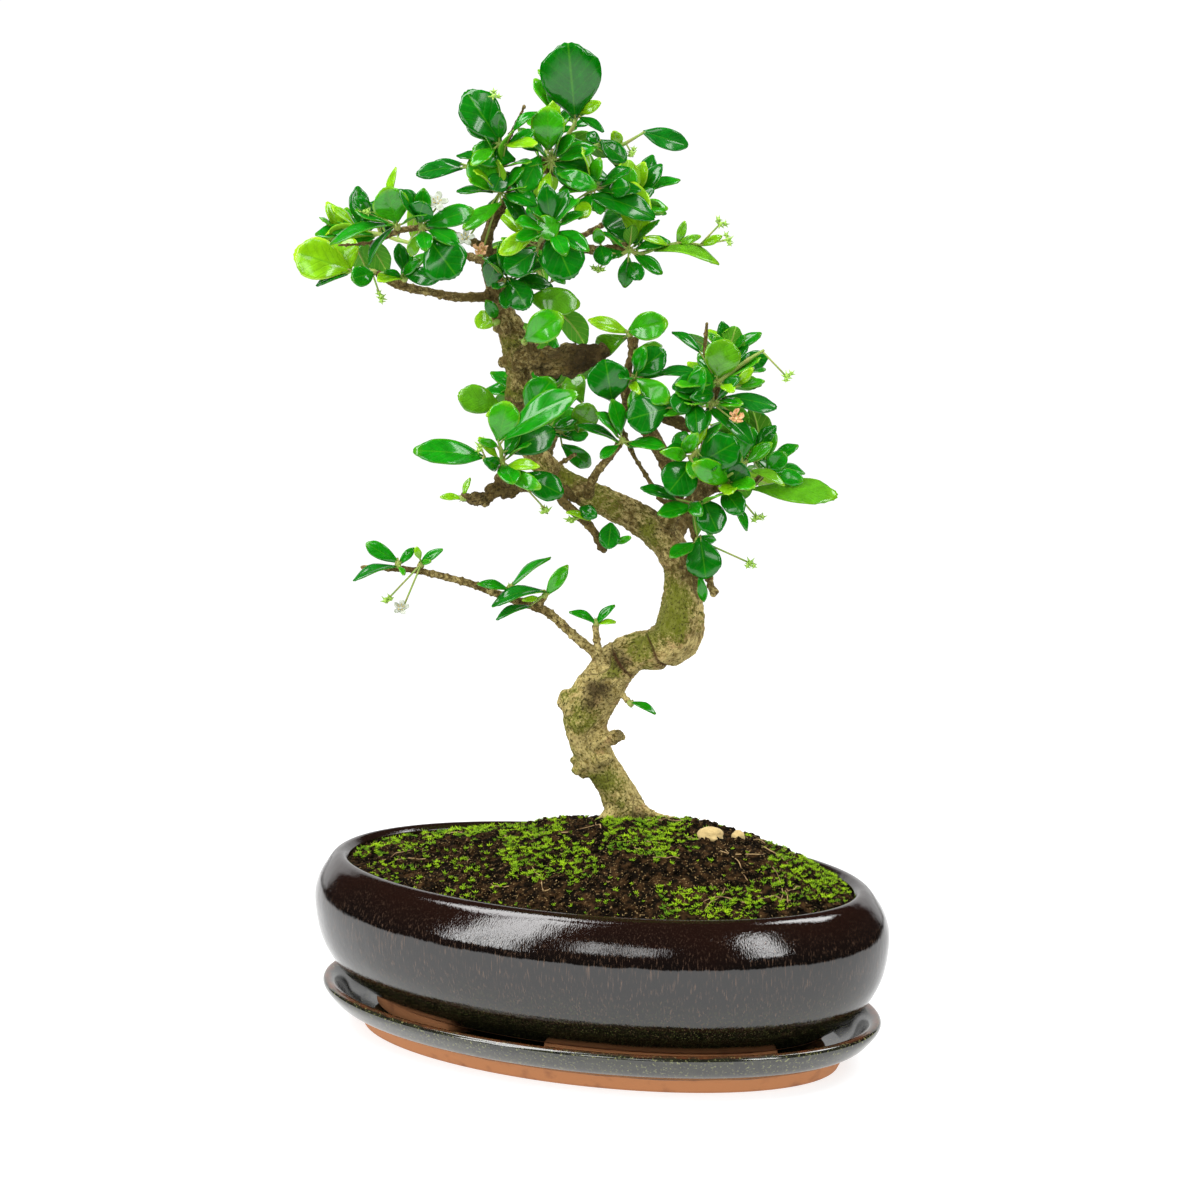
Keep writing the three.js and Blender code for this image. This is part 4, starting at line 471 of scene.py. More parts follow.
@dataclass(frozen=True)
class LeafUpper(Finish):
    """Upper side of a living leaf: waxy, so it takes a soft sheen, with a pale midrib and faint veins.

    UV runs across (u) and along (v) the blade. The "tint" attribute is the leaf's own green, and its
    alpha is how young the leaf is, which turns its rim yellow-green.
    """

    label: str = "living_leaf_upper_side"
    roughness: float = 0.34
    ior: float = 1.12
    rib: str = "#4c9810"
    rim: str = "#a5d020"
    blotch_size: float = 4
    vein_pairs: float = 6
    coat: float = 1.0

    def paint(self, tree: bpy.types.NodeTree, surface: bpy.types.Node) -> None:
        """Draws midrib, side veins and rim from the blade's own UV over the leaf's green."""
        plug(surface, {"Coat Weight": self.coat, "Coat Roughness": 0.13, "Coat IOR": 1.5})
        sheet = add(tree, "SeparateXYZ", {0: add(tree, "TexCoord", out="UV")}).node
        own = add(tree, "Attribute", out="Color", attribute_name="tint")
        young = own.node.outputs["Alpha"]
        place = add(tree, "TexCoord", out="Object")
        centred = add(tree, "Math", {0: sheet.outputs[0], 1: 0.5}, operation="SUBTRACT")
        side = add(tree, "Math", {0: centred}, operation="ABSOLUTE")
        blotch = add(tree, "TexNoise", {"Vector": place, "Scale": 1000 / self.blotch_size, "Detail": 3.0})
        shade = add(tree, "MapRange", {"Value": blotch, "From Min": 0.3, "From Max": 0.7,
                                       "To Min": 0.8, "To Max": 1.2})
        colour = add(tree, "VectorMath", {0: own, "Scale": shade}, operation="SCALE")
        slope = add(tree, "Math", {0: side, 1: -0.75, 2: sheet.outputs[1]}, operation="MULTIPLY_ADD")
        comb = add(tree, "Math", {0: slope, 1: self.vein_pairs}, operation="MULTIPLY")
        tooth = add(tree, "Math", {0: comb, 1: 0.5}, operation="PINGPONG")
        vein = add(tree, "MapRange", {"Value": tooth, "From Min": 0.16, "From Max": 0.0})
        faint = add(tree, "Math", {0: vein, 1: 0.09}, operation="MULTIPLY")
        colour = add(tree, "Mix", {0: faint, 6: colour, 7: linear(self.rib)}, 2, data_type="RGBA")
        middle = add(tree, "MapRange", {"Value": side, "From Min": 0.028, "From Max": 0.008, "To Max": 0.4})
        colour = add(tree, "Mix", {0: middle, 6: colour, 7: linear(self.rib)}, 2, data_type="RGBA")
        out = add(tree, "Math", {0: side, 1: 2.0}, operation="MULTIPLY")
        out = add(tree, "Math", {0: out, 1: sheet.outputs[1]}, operation="MAXIMUM")
        edge = add(tree, "MapRange", {"Value": out, "From Min": 0.86, "From Max": 1.0})
        edge = add(tree, "Math", {0: edge, 1: young}, operation="MULTIPLY")
        colour = add(tree, "Mix", {0: edge, 6: colour, 7: linear(self.rim)}, 2, data_type="RGBA")
        ridge = add(tree, "Math", {0: vein, 1: middle}, operation="MAXIMUM")
        relief = add(tree, "Math", {0: ridge, 1: -0.17, 2: blotch}, operation="MULTIPLY_ADD")
        quilt = add(tree, "Bump", {"Height": relief, "Strength": 0.9, "Distance": 0.0008})
        rough = add(tree, "MapRange", {"Value": blotch, "From Min": 0.35, "From Max": 0.65,
                                       "To Min": self.roughness - 0.08, "To Max": self.roughness + 0.12})
        plug(surface, {"Base Color": colour, "Normal": quilt, "Roughness": rough})


@dataclass(frozen=True)
class LeafUnderside(Finish):
    """Underside of a living leaf: paler and matt, with the veins standing out light."""

    label: str = "living_leaf_underside"
    roughness: float = 0.62
    ior: float = 1.3
    bloom: str = "#76ac20"
    rib: str = "#98cc48"
    vein_pairs: float = 6

    def paint(self, tree: bpy.types.NodeTree, surface: bpy.types.Node) -> None:
        """Pales the leaf's own green and draws the raised veins."""
        sheet = add(tree, "SeparateXYZ", {0: add(tree, "TexCoord", out="UV")}).node
        own = add(tree, "Attribute", out="Color", attribute_name="tint")
        colour = add(tree, "Mix", {0: 0.3, 6: own, 7: linear(self.bloom)}, 2, data_type="RGBA")
        centred = add(tree, "Math", {0: sheet.outputs[0], 1: 0.5}, operation="SUBTRACT")
        side = add(tree, "Math", {0: centred}, operation="ABSOLUTE")
        slope = add(tree, "Math", {0: side, 1: -0.75, 2: sheet.outputs[1]}, operation="MULTIPLY_ADD")
        comb = add(tree, "Math", {0: slope, 1: self.vein_pairs}, operation="MULTIPLY")
        tooth = add(tree, "Math", {0: comb, 1: 0.5}, operation="PINGPONG")
        vein = add(tree, "MapRange", {"Value": tooth, "From Min": 0.08, "From Max": 0.0, "To Max": 0.5})
        middle = add(tree, "MapRange", {"Value": side, "From Min": 0.05, "From Max": 0.015})
        ridge = add(tree, "Math", {0: vein, 1: middle}, operation="MAXIMUM")
        colour = add(tree, "Mix", {0: ridge, 6: colour, 7: linear(self.rib)}, 2, data_type="RGBA")
        raised = add(tree, "Bump", {"Height": ridge, "Strength": 0.6, "Distance": 0.0004})
        plug(surface, {"Base Color": colour, "Normal": raised})


@dataclass(frozen=True)
class YoungTissue(Finish):
    """Soft living tissue of one piece, such as a green stem, bud or petal: its colour drifts in clouds."""

    label: str = "green_stem"
    roughness: float = 0.5
    flesh: str = "#7ea13c"
    cloud: str = "#94984a"
    cloud_size: float = 2.5
    crease_depth: float = 0.2

    def paint(self, tree: bpy.types.NodeTree, surface: bpy.types.Node) -> None:
        """Drifts between two colours and wrinkles the skin a little."""
        place = add(tree, "TexCoord", out="Object")
        drift = add(tree, "TexNoise", {"Vector": place, "Scale": 1000 / self.cloud_size, "Detail": 4.0})
        share = add(tree, "MapRange", {"Value": drift, "From Min": 0.38, "From Max": 0.64})
        colour = add(tree, "Mix", {0: share, 6: linear(self.flesh), 7: linear(self.cloud)}, 2,
                     data_type="RGBA")
        skin = add(tree, "Bump", {"Height": drift, "Strength": 0.6, "Distance": self.crease_depth * MM})
        plug(surface, {"Base Color": colour, "Normal": skin})


GREEN_STEM = YoungTissue()
BUD_GREEN = YoungTissue("flower_bud_green", 0.55, 1.5, "#a9cf5a", "#7fae35", 1.2)
# The white petal's second colour, in its drifting clouds, is painted grey-green shade.
WHITE_PETAL = YoungTissue("white_petal", 0.6, 1.45, "#c2c7bb", "#979f8a", 2.4, 0.15)
WILTED_PETAL = YoungTissue("wilted_petal", 0.8, 1.45, "#e2b88a", "#bf8f5c", 1.6, 0.5)
STAMEN_YELLOW = YoungTissue("stamen_yellow", 0.7, 1.45, "#d8c25a", "#a58a34", 0.8)
DRY_ROOT = YoungTissue("dry_rootlet", 0.85, 1.5, "#a98d5e", "#6d5233", 3.0)
MESH_PLASTIC = YoungTissue("moulded_mesh_plastic", 0.5, 1.5, "#1c1e20", "#2a2d2f", 6.0, 0.05)


class Tone(Enum):
    """The greens of the leaves, by the letter that a spray's tones give: colour and youth."""

    D = ("#026602", 0.0)
    M = ("#0c7e02", 0.15)
    B = ("#2e9204", 0.4)
    Y = ("#74b008", 0.9)
    L = ("#5c9e14", 0.5)
    U = ("#4c900c", 0.2)
    # G: the dark green of leaves that look glossy; its bluer cast is painted sheen.
    G = ("#086a10", 0.0)

    @property
    def tint(self) -> Colour:
        """The linear colour, with the leaf's youth as its alpha."""
        colour, youth = self.value
        return (*linear(colour)[:3], youth)


@dataclass(frozen=True)
class Spray:
    """A leafy shoot that the photograph shows.

    Its leaves are (base x, base y, tip x, tip y, width[, mm towards the eye]), its stems are routes of
    (x, y, behind[, radius]) and its buds are (x, y[, mm towards the eye]), all in pixels but for depths.
    """

    limb: str
    perch: tuple[float, ...]
    tones: str
    leaves: Route
    stems: tuple[Route, ...] = ()
    buds: Route = ()


@dataclass(frozen=True)
class FarSpray:
    """A leafy shoot on the far side: the limb it ends, its number of leaves and its stem's route."""

    limb: str
    leaves: int
    route: Route


@dataclass(frozen=True)
class Flower:
    """A corolla: the spray that bears it, its place, its width in pixels and how far it is closed."""

    spray: str
    place: tuple[float, float, float]
    width: float
    closed: float


# Routes of the wood as (pixel x, pixel y, behind in mm, radius in pixels)
LIMBS: dict[str, Route] = {
    "trunk": (
        (628, 817, 25, 21), (612, 782, 24, 17.5), (594, 757, 22, 18.7), (586, 733, 20, 21),
        (588, 706, 18, 24), (602, 684, 16, 23.5), (619, 663, 14, 21.5), (638, 652, 12, 19.5),
        (660, 648, 10, 21.5), (676, 636, 8, 24.5), (681, 612, 6, 22.5), (682, 590, 5, 18.5),
        (681, 570, 5, 16.5), (674, 552, 5, 16.8), (658, 532, 6, 16.5), (638, 518, 7, 15.5),
        (612, 506, 8, 14.7), (585, 494, 8, 14), (560, 480, 8, 13.2), (544, 464, 8, 12.6),
        (532, 446, 9, 12.4), (522, 425, 9, 12), (517, 401, 9, 12), (518, 376, 9, 12), (515, 350, 8, 13),
        (509, 327, 7, 12), (502, 306, 6, 10.5), (494, 286, 5, 8.8), (488, 262, 4, 6.6),
        (487, 238, 3, 5.6), (497, 214, 3, 5), (513, 192, 4, 4.6), (532, 173, 4, 4.2),
        (551, 157, 4, 3.8),
    ),
    "rootFlareLeft": (
        (622, 806, 22, 10), (600, 826, 16, 7.5), (584, 846, 10, 5),
    ),
    "rootFlareBack": (
        (632, 806, 30, 10), (644, 822, 42, 7), (652, 846, 52, 5),
    ),
    "surfaceRoot": (
        (638, 806, 22, 6), (655, 815, 18, 3.4), (676, 820, 16, 2.8), (698, 825, 14, 2.4),
        (724, 834, 12, 2),
    ),
    "stubRight": (
        (596, 742, 16, 9), (610, 738, 10, 7.5), (619, 735, 6, 6.5),
    ),
    "lowBranch": (
        (612, 664, 15, 7), (589, 648, 14, 5.2), (568, 630, 12, 4.6), (547, 612, 10, 4.6),
        (525, 604, 8, 4.4), (500, 595, 6, 4.2), (472, 584, 4, 3.9), (445, 577, 2, 3.6),
        (420, 571, 0, 3.3), (398, 569, -2, 3.1), (375, 568, -3, 2.8), (361, 567, -3, 2.3),
    ),
    "lowStub": (
        (604, 676, 12, 6), (597, 642, 4, 3.8), (596, 626, 2, 3.5),
    ),
    "leftBranch": (
        (496, 297, 5, 6), (478, 297, 2, 5), (455, 297, -2, 4.6), (430, 292, -6, 4.3),
        (405, 287, -9, 4.3), (390, 281, -10, 4.2), (377, 273, -10, 4.2),
    ),
    "upperLeftBranch": (
        (488, 248, 4, 4.4), (462, 238, -6, 3.8), (440, 229, -13, 3.4), (418, 228, -17, 3.2),
        (398, 231, -18, 3), (380, 240, -18, 2.2), (360, 244, -18, 1.8), (338, 245, -18, 1.5),
    ),
    "knobblyBranch": (
        (515, 354, 8, 10), (532, 360, 2, 9), (552, 362, -2, 10), (574, 360, -4, 10.5),
        (592, 356, -5, 8), (605, 347, -6, 6),
    ),
    "midRightBranch": (
        (664, 526, 7, 9), (676, 500, 8, 8), (668, 466, 4, 7.5), (654, 440, 0, 8), (640, 419, -3, 8.5),
        (627, 402, -5, 7.5),
    ),
    "midRightArm": (
        (636, 410, -3, 7.5), (656, 412, -6, 7), (676, 421, -9, 6.5), (691, 427, -12, 5),
        (706, 414, -13, 3.4), (716, 400, -13, 3.2), (718, 386, -13, 3),
    ),
    "risingStub": (
        (627, 404, -5, 6), (626, 386, -6, 4.6), (628, 370, -7, 4.2), (632, 352, -8, 4),
        (631, 338, -8, 4.2),
    ),
    "risingStubFork": (
        (633, 352, -8, 3), (637, 340, -9, 2.2), (638, 334, -9, 2),
    ),
    "knottyBranch": (
        (664, 522, 5, 10), (680, 509, 0, 7.5), (697, 498, -5, 6.6), (704, 482, -10, 5),
        (702, 466, -14, 4), (698, 452, -17, 3.4),
    ),
    "rightBranch": (
        (699, 497, -5, 5), (716, 488, -7, 4.4), (734, 487, -8, 4), (750, 486, -8, 4),
        (762, 476, -8, 3.2),
    ),
    "hangingBranch": (
        (682, 504, 0, 5), (689, 520, -3, 4), (695, 537, -5, 3.6), (703, 562, -4, 3.2),
        (709, 578, -2, 4), (712, 591, -1, 3),
    ),
    "bareTwig": (
        (672, 504, 6, 3.2), (661, 500, -2, 2.6), (655, 490, -6, 2.6), (645, 474, -9, 2.4),
        (634, 456, -12, 2.4), (625, 436, -13, 2.3), (619, 420, -13, 2.2), (614, 400, -12, 2),
    ),
    "bareTwigRight": (
        (716, 400, -13, 2.8), (706, 372, -8, 2.4), (705, 350, -6, 2.3), (707, 322, -6, 1.9),
    ),
    "slantTwig": (
        (587, 498, 6, 5), (594, 477, -4, 4.2), (606, 461, -8, 4), (618, 446, -10, 3.6),
        (627, 434, -11, 2.6),
    ),
    "shortTwig": (
        (552, 475, 7, 4), (557, 466, -4, 2.6), (576, 454, -7, 2.4),
    ),
    "midLeftSpur": (
        (546, 482, 6, 7), (528, 486, 0, 6.5), (510, 488, -5, 6), (496, 492, -8, 5.5),
        (482, 500, -10, 5), (467, 498, -11, 4),
    ),
    "midLeftRiser": (
        (508, 488, -5, 5), (503, 477, -9, 4.6), (502, 466, -12, 3.6),
    ),
    "lowerMidTwig": (
        (560, 488, 6, 6), (562, 500, 2, 5), (576, 513, -3, 4.6), (592, 529, -6, 4.4), (602, 545, -8, 4),
    ),
    "topSideTwig": (
        (512, 194, 4, 3.6), (502, 176, 2, 3), (502, 158, 0, 2.6), (506, 145, -2, 2.4),
        (514, 128, -4, 2), (525, 105, -5, 1.6),
    ),
    "rightTopBranch": (
        (489, 256, 4, 5), (516, 246, 8, 4.6), (545, 246, 9, 4.4), (575, 248, 8, 4.4),
        (603, 250, 6, 4.6), (628, 246, 5, 4.6),
    ),
    "crownFork": (
        (538, 168, 4, 3.4), (560, 176, 3, 2.8), (585, 184, 1, 2.6), (608, 191, 0, 2.2),
    ),
    "frontRiser": (
        (546, 246, 9, 3.6), (546, 238, -4, 3), (549, 230, -14, 2.6),
    ),
    "backRiser": (
        (516, 352, 10, 7), (530, 345, 28, 5.5), (545, 330, 42, 4.4), (552, 310, 50, 3.4),
    ),
    "backLeft": (
        (488, 262, 6, 4.6), (468, 256, 20, 3.8), (440, 248, 30, 3), (415, 244, 36, 2.4),
    ),
    "backTop": (
        (511, 195, 5, 3.6), (528, 186, 20, 3), (542, 170, 34, 2.4),
    ),
    "backMiddle": (
        (545, 468, 12, 6.5), (548, 452, 28, 5), (556, 432, 40, 4), (564, 416, 48, 3),
    ),
    "backRight": (
        (672, 548, 10, 8), (684, 520, 26, 6), (694, 490, 38, 5), (702, 458, 48, 4), (706, 430, 56, 3),
    ),
    "backRightLow": (
        (692, 495, 38, 4), (712, 484, 48, 3.2), (730, 474, 56, 2.6),
    ),
    "backHigh": (
        (558, 247, 8.5, 3.8), (590, 232, 24, 3), (616, 216, 34, 2.4),
    ),
}

SPRAYS: dict[str, Spray] = {
    "left_spur_shoot": Spray(
        "upperLeftBranch", (397, 226, -20), "BYDMG",
        leaves=((397, 222, 385, 187, 34), (390, 200, 396, 167, 8), (372, 212, 354, 197, 12),
          (392, 224, 330, 245, 12, 6), (392, 228, 368, 265, 9, 8)),
        buds=((365, 212),),
    ),
    "left_front_shoot": Spray(
        "upperLeftBranch", (421, 227, -22), "DGGML",
        leaves=((428, 238, 457, 277, 42, 8), (418, 222, 424, 202, 24), (418, 212, 403, 190, 16),
          (424, 226, 474, 210, 20), (417, 236, 411, 256, 12)),
    ),
    "left_end_shoot": Spray(
        "leftBranch", (372, 272, -10), "YYDM",
        leaves=((350, 270, 294, 252, 40), (350, 272, 338, 238, 32, -6), (347, 274, 316, 286, 9, 4),
          (374, 273, 351, 279, 20, 10)),
        stems=(((372, 272, -10), (350, 271, -8)),),
        buds=((381, 298, 4),),
    ),
    "left_middle_shoot": Spray(
        "leftBranch", (404, 280, -12), "MMDM",
        leaves=((402, 276, 412, 253, 9, -4), (403, 275, 420, 259, 10, 8), (405, 275, 441, 278, 18, 12),
          (401, 277, 384, 271, 9, 10)),
    ),
    "crown_left_shoot": Spray(
        "topSideTwig", (501, 144, -9), "DMM",
        leaves=((500, 143, 466, 91, 38), (513, 131, 537, 112, 9), (508, 146, 535, 130, 12)),
        buds=((493, 97),),
    ),
    "crown_back_left_shoot": Spray(
        "topSideTwig", (501, 166, -3), "MGGG",
        leaves=((515, 160, 472, 150, 26, 4), (462, 164, 428, 168, 12), (462, 168, 416, 175, 16, 6),
          (504, 170, 494, 191, 20, 6)),
        stems=(((501, 166, -3), (480, 168, 2), (463, 166, 6)),),
    ),
    "crown_left_front_shoot": Spray(
        "topSideTwig", (501, 190, -4), "BB",
        leaves=((499, 190, 470, 158, 28, 6), (501, 203, 463, 230, 16, 8)),
    ),
    "crown_middle_shoot": Spray(
        "trunk", (551, 160, 0), "BMYMDMD",
        leaves=((548, 150, 548, 106, 32, 6), (540, 156, 521, 193, 24, 10), (550, 173, 540, 203, 12, 14),
          (553, 172, 597, 188, 18, 12), (552, 163, 609, 180, 16), (556, 156, 598, 148, 13, -8),
          (542, 150, 522, 138, 16, -8)),
    ),
    "crown_tip_shoot": Spray(
        "trunk", (553, 152, 5), "DYYYDM",
        leaves=((575, 118, 568, 42, 57), (578, 99, 551, 86, 17, -6), (577, 90, 569, 72, 8, 4),
          (580, 113, 601, 102, 12, 5), (580, 117, 604, 132, 9, 8), (575, 126, 590, 120, 9, -8)),
        stems=(((553, 152, 5), (563, 141, 6), (572, 129, 6), (577, 116, 6), (578, 99, 5), (577, 90, 5)),),
    ),
    "crown_right_shoot": Spray(
        "trunk", (558, 163, 9), "DDYG",
        leaves=((600, 145, 588, 133, 12, -6), (600, 140, 626, 162, 18, 10), (620, 146, 613, 131, 12, 4),
          (643, 132, 688, 146, 20)),
        stems=(((558, 163, 9), (578, 152, 10), (602, 144, 12), (620, 146, 12), (643, 133, 12)),),
        buds=((632, 154),),
    ),
    "crown_low_right_shoot": Spray(
        "crownFork", (594, 188, -1), "DDY",
        leaves=((585, 196, 655, 219, 24, 6), (608, 191, 630, 186, 18, 10), (576, 200, 588, 217, 16, 12)),
    ),
    "right_top_shoot": Spray(
        "rightTopBranch", (629, 250, 2), "YDLLLYYDDB",
        leaves=((640, 243, 632, 182, 30, -6), (640, 244, 610, 207, 34, 6), (655, 250, 719, 265, 14, 6),
          (678, 243, 685, 221, 9), (680, 243, 701, 236, 8, 6), (702, 245, 722, 236, 9),
          (668, 245, 643, 238, 8, 8), (628, 262, 641, 280, 16, 12), (600, 246, 606, 265, 18, 12),
          (600, 244, 597, 228, 12, 6)),
        stems=(((629, 250, 2), (640, 254, 3), (660, 247, 2), (682, 243, 1), (702, 245, 0)),
          ((629, 250, 2), (618, 256, -3), (605, 250, -5))),
        buds=((720, 224), (728, 240), (598, 270)),
    ),
    "crown_front_shoot": Spray(
        "frontRiser", (550, 229, -17), "DBYMDM",
        leaves=((550, 230, 572, 279, 40, 8), (561, 222, 537, 232, 24, 6), (538, 229, 499, 254, 17, 4),
          (562, 210, 572, 196, 14, -6), (536, 251, 505, 272, 28, 6), (537, 255, 565, 284, 14, -4)),
        stems=(((550, 229, -17), (556, 222, -18), (562, 210, -17)),
          ((550, 229, -17), (541, 240, -18), (537, 248, -17))),
        buds=((526, 242),),
    ),
    "centre_spur_shoot": Spray(
        "trunk", (506, 281, -6), "DDU",
        leaves=((508, 278, 528, 309, 26, 10), (488, 286, 500, 254, 22, 4), (530, 298, 580, 305, 26, 2)),
    ),
    "knobbly_shoot": Spray(
        "knobblyBranch", (525, 343, -8), "B",
        leaves=((525, 340, 563, 315, 30, 10),),
    ),
    "trunk_left_high_shoot": Spray(
        "trunk", (497, 322, 2), "YM",
        leaves=((497, 322, 475, 319, 18, -6), (497, 318, 486, 300, 12, -8)),
    ),
    "trunk_left_shoot": Spray(
        "trunk", (503, 406, 4), "UY",
        leaves=((501, 407, 458, 394, 27, 4), (500, 410, 486, 416, 9, 10)),
    ),
    "rosette_shoot": Spray(
        "midLeftRiser", (502, 463, -15), "BMDBMDYBD",
        leaves=((498, 441, 508, 401, 30, 4), (503, 440, 578, 393, 28, 10), (504, 452, 555, 430, 30, -6),
          (497, 446, 478, 440, 9, 8), (483, 457, 413, 451, 24, 4), (499, 466, 483, 460, 14, 14),
          (505, 468, 540, 467, 11, 12), (508, 473, 541, 488, 15, 16), (522, 474, 563, 495, 26, 6)),
        stems=(((502, 463, -15), (501, 450, -19), (499, 443, -20)),
          ((502, 463, -15), (492, 462, -21), (483, 458, -24))),
        buds=((480, 446), (547, 511)),
    ),
    "trunk_front_shoot": Spray(
        "trunk", (527, 414, 0), "MM",
        leaves=((528, 412, 553, 378, 34, 8), (530, 416, 545, 408, 10, -10)),
    ),
    "middle_behind_shoot": Spray(
        "trunk", (545, 432, 18), "BUUMM",
        leaves=((552, 430, 580, 412, 24, -6), (578, 432, 591, 404, 26), (582, 402, 570, 376, 24, -10),
          (565, 436, 588, 434, 14, -6), (562, 445, 590, 466, 18, -8)),
        stems=(((545, 432, 18), (562, 431, 22), (578, 425, 24)),),
    ),
    "round_leaf_shoot": Spray(
        "bareTwig", (612, 394, -12), "D",
        leaves=((612, 401, 605, 359, 40, 6),),
    ),
    "slant_twig_shoot": Spray(
        "slantTwig", (623, 440, -15), "DM",
        leaves=((620, 443, 576, 425, 9, 4), (628, 446, 650, 440, 10, -8)),
    ),
    "spur_end_shoot": Spray(
        "midLeftSpur", (462, 498, -12), "YY",
        leaves=((461, 498, 440, 497, 7), (464, 495, 470, 478, 6, -4)),
    ),
    "lower_mid_shoot": Spray(
        "lowerMidTwig", (588, 518, -8), "DY",
        leaves=((580, 508, 597, 517, 14, 6), (590, 520, 566, 512, 6, 6)),
        buds=((570, 520),),
    ),
    "lower_mid_tip_shoot": Spray(
        "lowerMidTwig", (606, 540, -10), "DB",
        leaves=((611, 523, 608, 549, 20, 7), (616, 543, 631, 537, 7)),
    ),
    "rising_tip_shoot": Spray(
        "risingStub", (629, 333, -8), "YBU",
        leaves=((627, 332, 588, 320, 14, 4), (629, 331, 668, 322, 27, 6), (626, 337, 596, 350, 22, -10)),
    ),
    "rising_side_shoot": Spray(
        "risingStub", (633, 378, -11), "DBUY",
        leaves=((633, 376, 665, 350, 26, 2), (635, 379, 670, 402, 21, 8), (634, 352, 662, 346, 12, -12),
          (630, 382, 640, 394, 9, 12)),
    ),
    "right_node_shoot": Spray(
        "midRightArm", (718, 382, -15), "UDDYBGD",
        leaves=((717, 378, 727, 339, 34, 4), (716, 376, 672, 388, 19, 6), (735, 366, 767, 357, 18, -6),
          (738, 384, 753, 368, 10, 4), (740, 386, 765, 381, 9, 2), (703, 374, 657, 374, 11, -4),
          (700, 352, 672, 332, 10, -4)),
        stems=(((718, 382, -15), (732, 372, -16), (748, 360, -16), (764, 350, -15)),
          ((720, 384, -15), (728, 390, -17), (738, 386, -18))),
        buds=((787, 377),),
    ),
    "right_node_low_shoot": Spray(
        "midRightArm", (713, 404, -16), "GDDM",
        leaves=((722, 397, 777, 408, 17, 4), (714, 394, 690, 398, 14, 10), (708, 408, 753, 445, 17, 6),
          (720, 400, 739, 404, 5, 8)),
    ),
    "right_front_shoot": Spray(
        "midRightArm", (694, 408, -16), "DDD",
        leaves=((695, 403, 697, 434, 20, 10), (690, 391, 675, 411, 22, 8), (668, 408, 627, 420, 36, 8)),
    ),
    "right_heart_shoot": Spray(
        "knottyBranch", (697, 452, -20), "DDBBM",
        leaves=((700, 463, 738, 441, 36, 8), (692, 463, 668, 493, 36, 6), (683, 453, 698, 433, 14, 12),
          (686, 456, 660, 452, 13, 8), (688, 448, 676, 434, 18, -10)),
        stems=(((697, 452, -20), (690, 458, -24), (694, 464, -27)),),
    ),
    "right_glossy_shoot": Spray(
        "rightBranch", (727, 483, -12), "BGDM",
        leaves=((730, 481, 692, 464, 22, 10), (730, 486, 744, 464, 26, 6), (724, 490, 742, 514, 22, 12),
          (734, 505, 747, 531, 9)),
        stems=(((727, 483, -12), (730, 486, -17)), ((714, 485, -14), (722, 480, -18), (733, 473, -20))),
        buds=((757, 518),),
    ),
    "right_low_shoot": Spray(
        "knottyBranch", (700, 502, -14), "DDM",
        leaves=((703, 500, 718, 533, 28, 6), (676, 499, 640, 488, 11, 6), (690, 503, 702, 516, 14, 12)),
    ),
    "right_end_shoot": Spray(
        "rightBranch", (765, 473, -9), "MMLU",
        leaves=((767, 470, 786, 453, 18, 4), (768, 470, 804, 482, 15, 8), (750, 470, 785, 486, 10, 6),
          (752, 489, 838, 496, 24, 10)),
        stems=(((757, 476, -13), (765, 473, -9)),),
    ),
    "hanging_shoot": Spray(
        "hangingBranch", (699, 540, -8), "DMM",
        leaves=((700, 536, 706, 579, 34, 4), (700, 576, 704, 602, 10, -4), (697, 538, 716, 540, 9, -8)),
        buds=((750, 563),),
    ),
    "low_tip_shoot": Spray(
        "lowBranch", (398, 564, -3), "MGMB",
        leaves=((398, 562, 366, 543, 15), (396, 566, 353, 581, 9, 4), (400, 563, 414, 548, 9, -4),
          (395, 560, 404, 575, 5, 6)),
    ),
    "low_tip_inner_shoot": Spray(
        "lowBranch", (421, 565, -4), "YMB",
        leaves=((420, 563, 416, 547, 7), (421, 563, 443, 549, 9, 4), (422, 563, 431, 561, 5, 6)),
        buds=((386, 601, -3),),
    ),
    "low_middle_shoot": Spray(
        "lowBranch", (509, 589, 5), "MM",
        leaves=((508, 589, 477, 584, 9, 8), (510, 588, 551, 557, 8, -4)),
    ),
    "low_inner_shoot": Spray(
        "lowBranch", (544, 597, 6), "GBYG",
        leaves=((545, 591, 492, 607, 12, 8), (547, 594, 568, 565, 14), (538, 598, 522, 600, 6, 8),
          (530, 606, 496, 620, 8, 10)),
    ),
    "low_stub_shoot": Spray(
        "lowStub", (596, 623, 2), "MMY",
        leaves=((596, 623, 569, 612, 8, 2), (597, 623, 615, 605, 8, 2), (599, 623, 616, 622, 5, 4)),
    ),
    "trunk_base_leaf": Spray(
        "trunk", (629, 702, 8), "M",
        leaves=((632, 702, 656, 714, 7, 4),),
    ),
}

# Sprays behind the ones that the photograph shows: limb, number of leaves and the stem's route
FAR_SPRAYS: dict[str, FarSpray] = {
    "back_left_shoot": FarSpray("backLeft", 7, (
        (415, 244, 36), (398, 240, 42), (380, 234, 50), (362, 232, 56), (345, 238, 60))),
    "back_crown_shoot": FarSpray("backTop", 8, (
        (542, 170, 34), (546, 152, 42), (552, 134, 52), (556, 116, 58), (560, 100, 60))),
    "back_high_shoot": FarSpray("backHigh", 7, (
        (616, 216, 34), (628, 208, 42), (634, 200, 52), (640, 192, 60))),
    "back_centre_shoot": FarSpray("backRiser", 8, (
        (552, 310, 50), (548, 290, 58), (540, 272, 64), (534, 256, 72), (530, 240, 76))),
    "back_middle_shoot": FarSpray("backMiddle", 9, (
        (564, 416, 48), (562, 402, 58), (552, 390, 68), (540, 380, 76), (528, 396, 84))),
    "back_right_shoot": FarSpray("backRight", 9, (
        (706, 430, 56), (708, 408, 66), (714, 388, 74), (722, 372, 80), (728, 356, 84))),
    "back_right_low_shoot": FarSpray("backRightLow", 7, (
        (730, 474, 56), (742, 466, 64), (752, 458, 72), (764, 466, 80))),
}

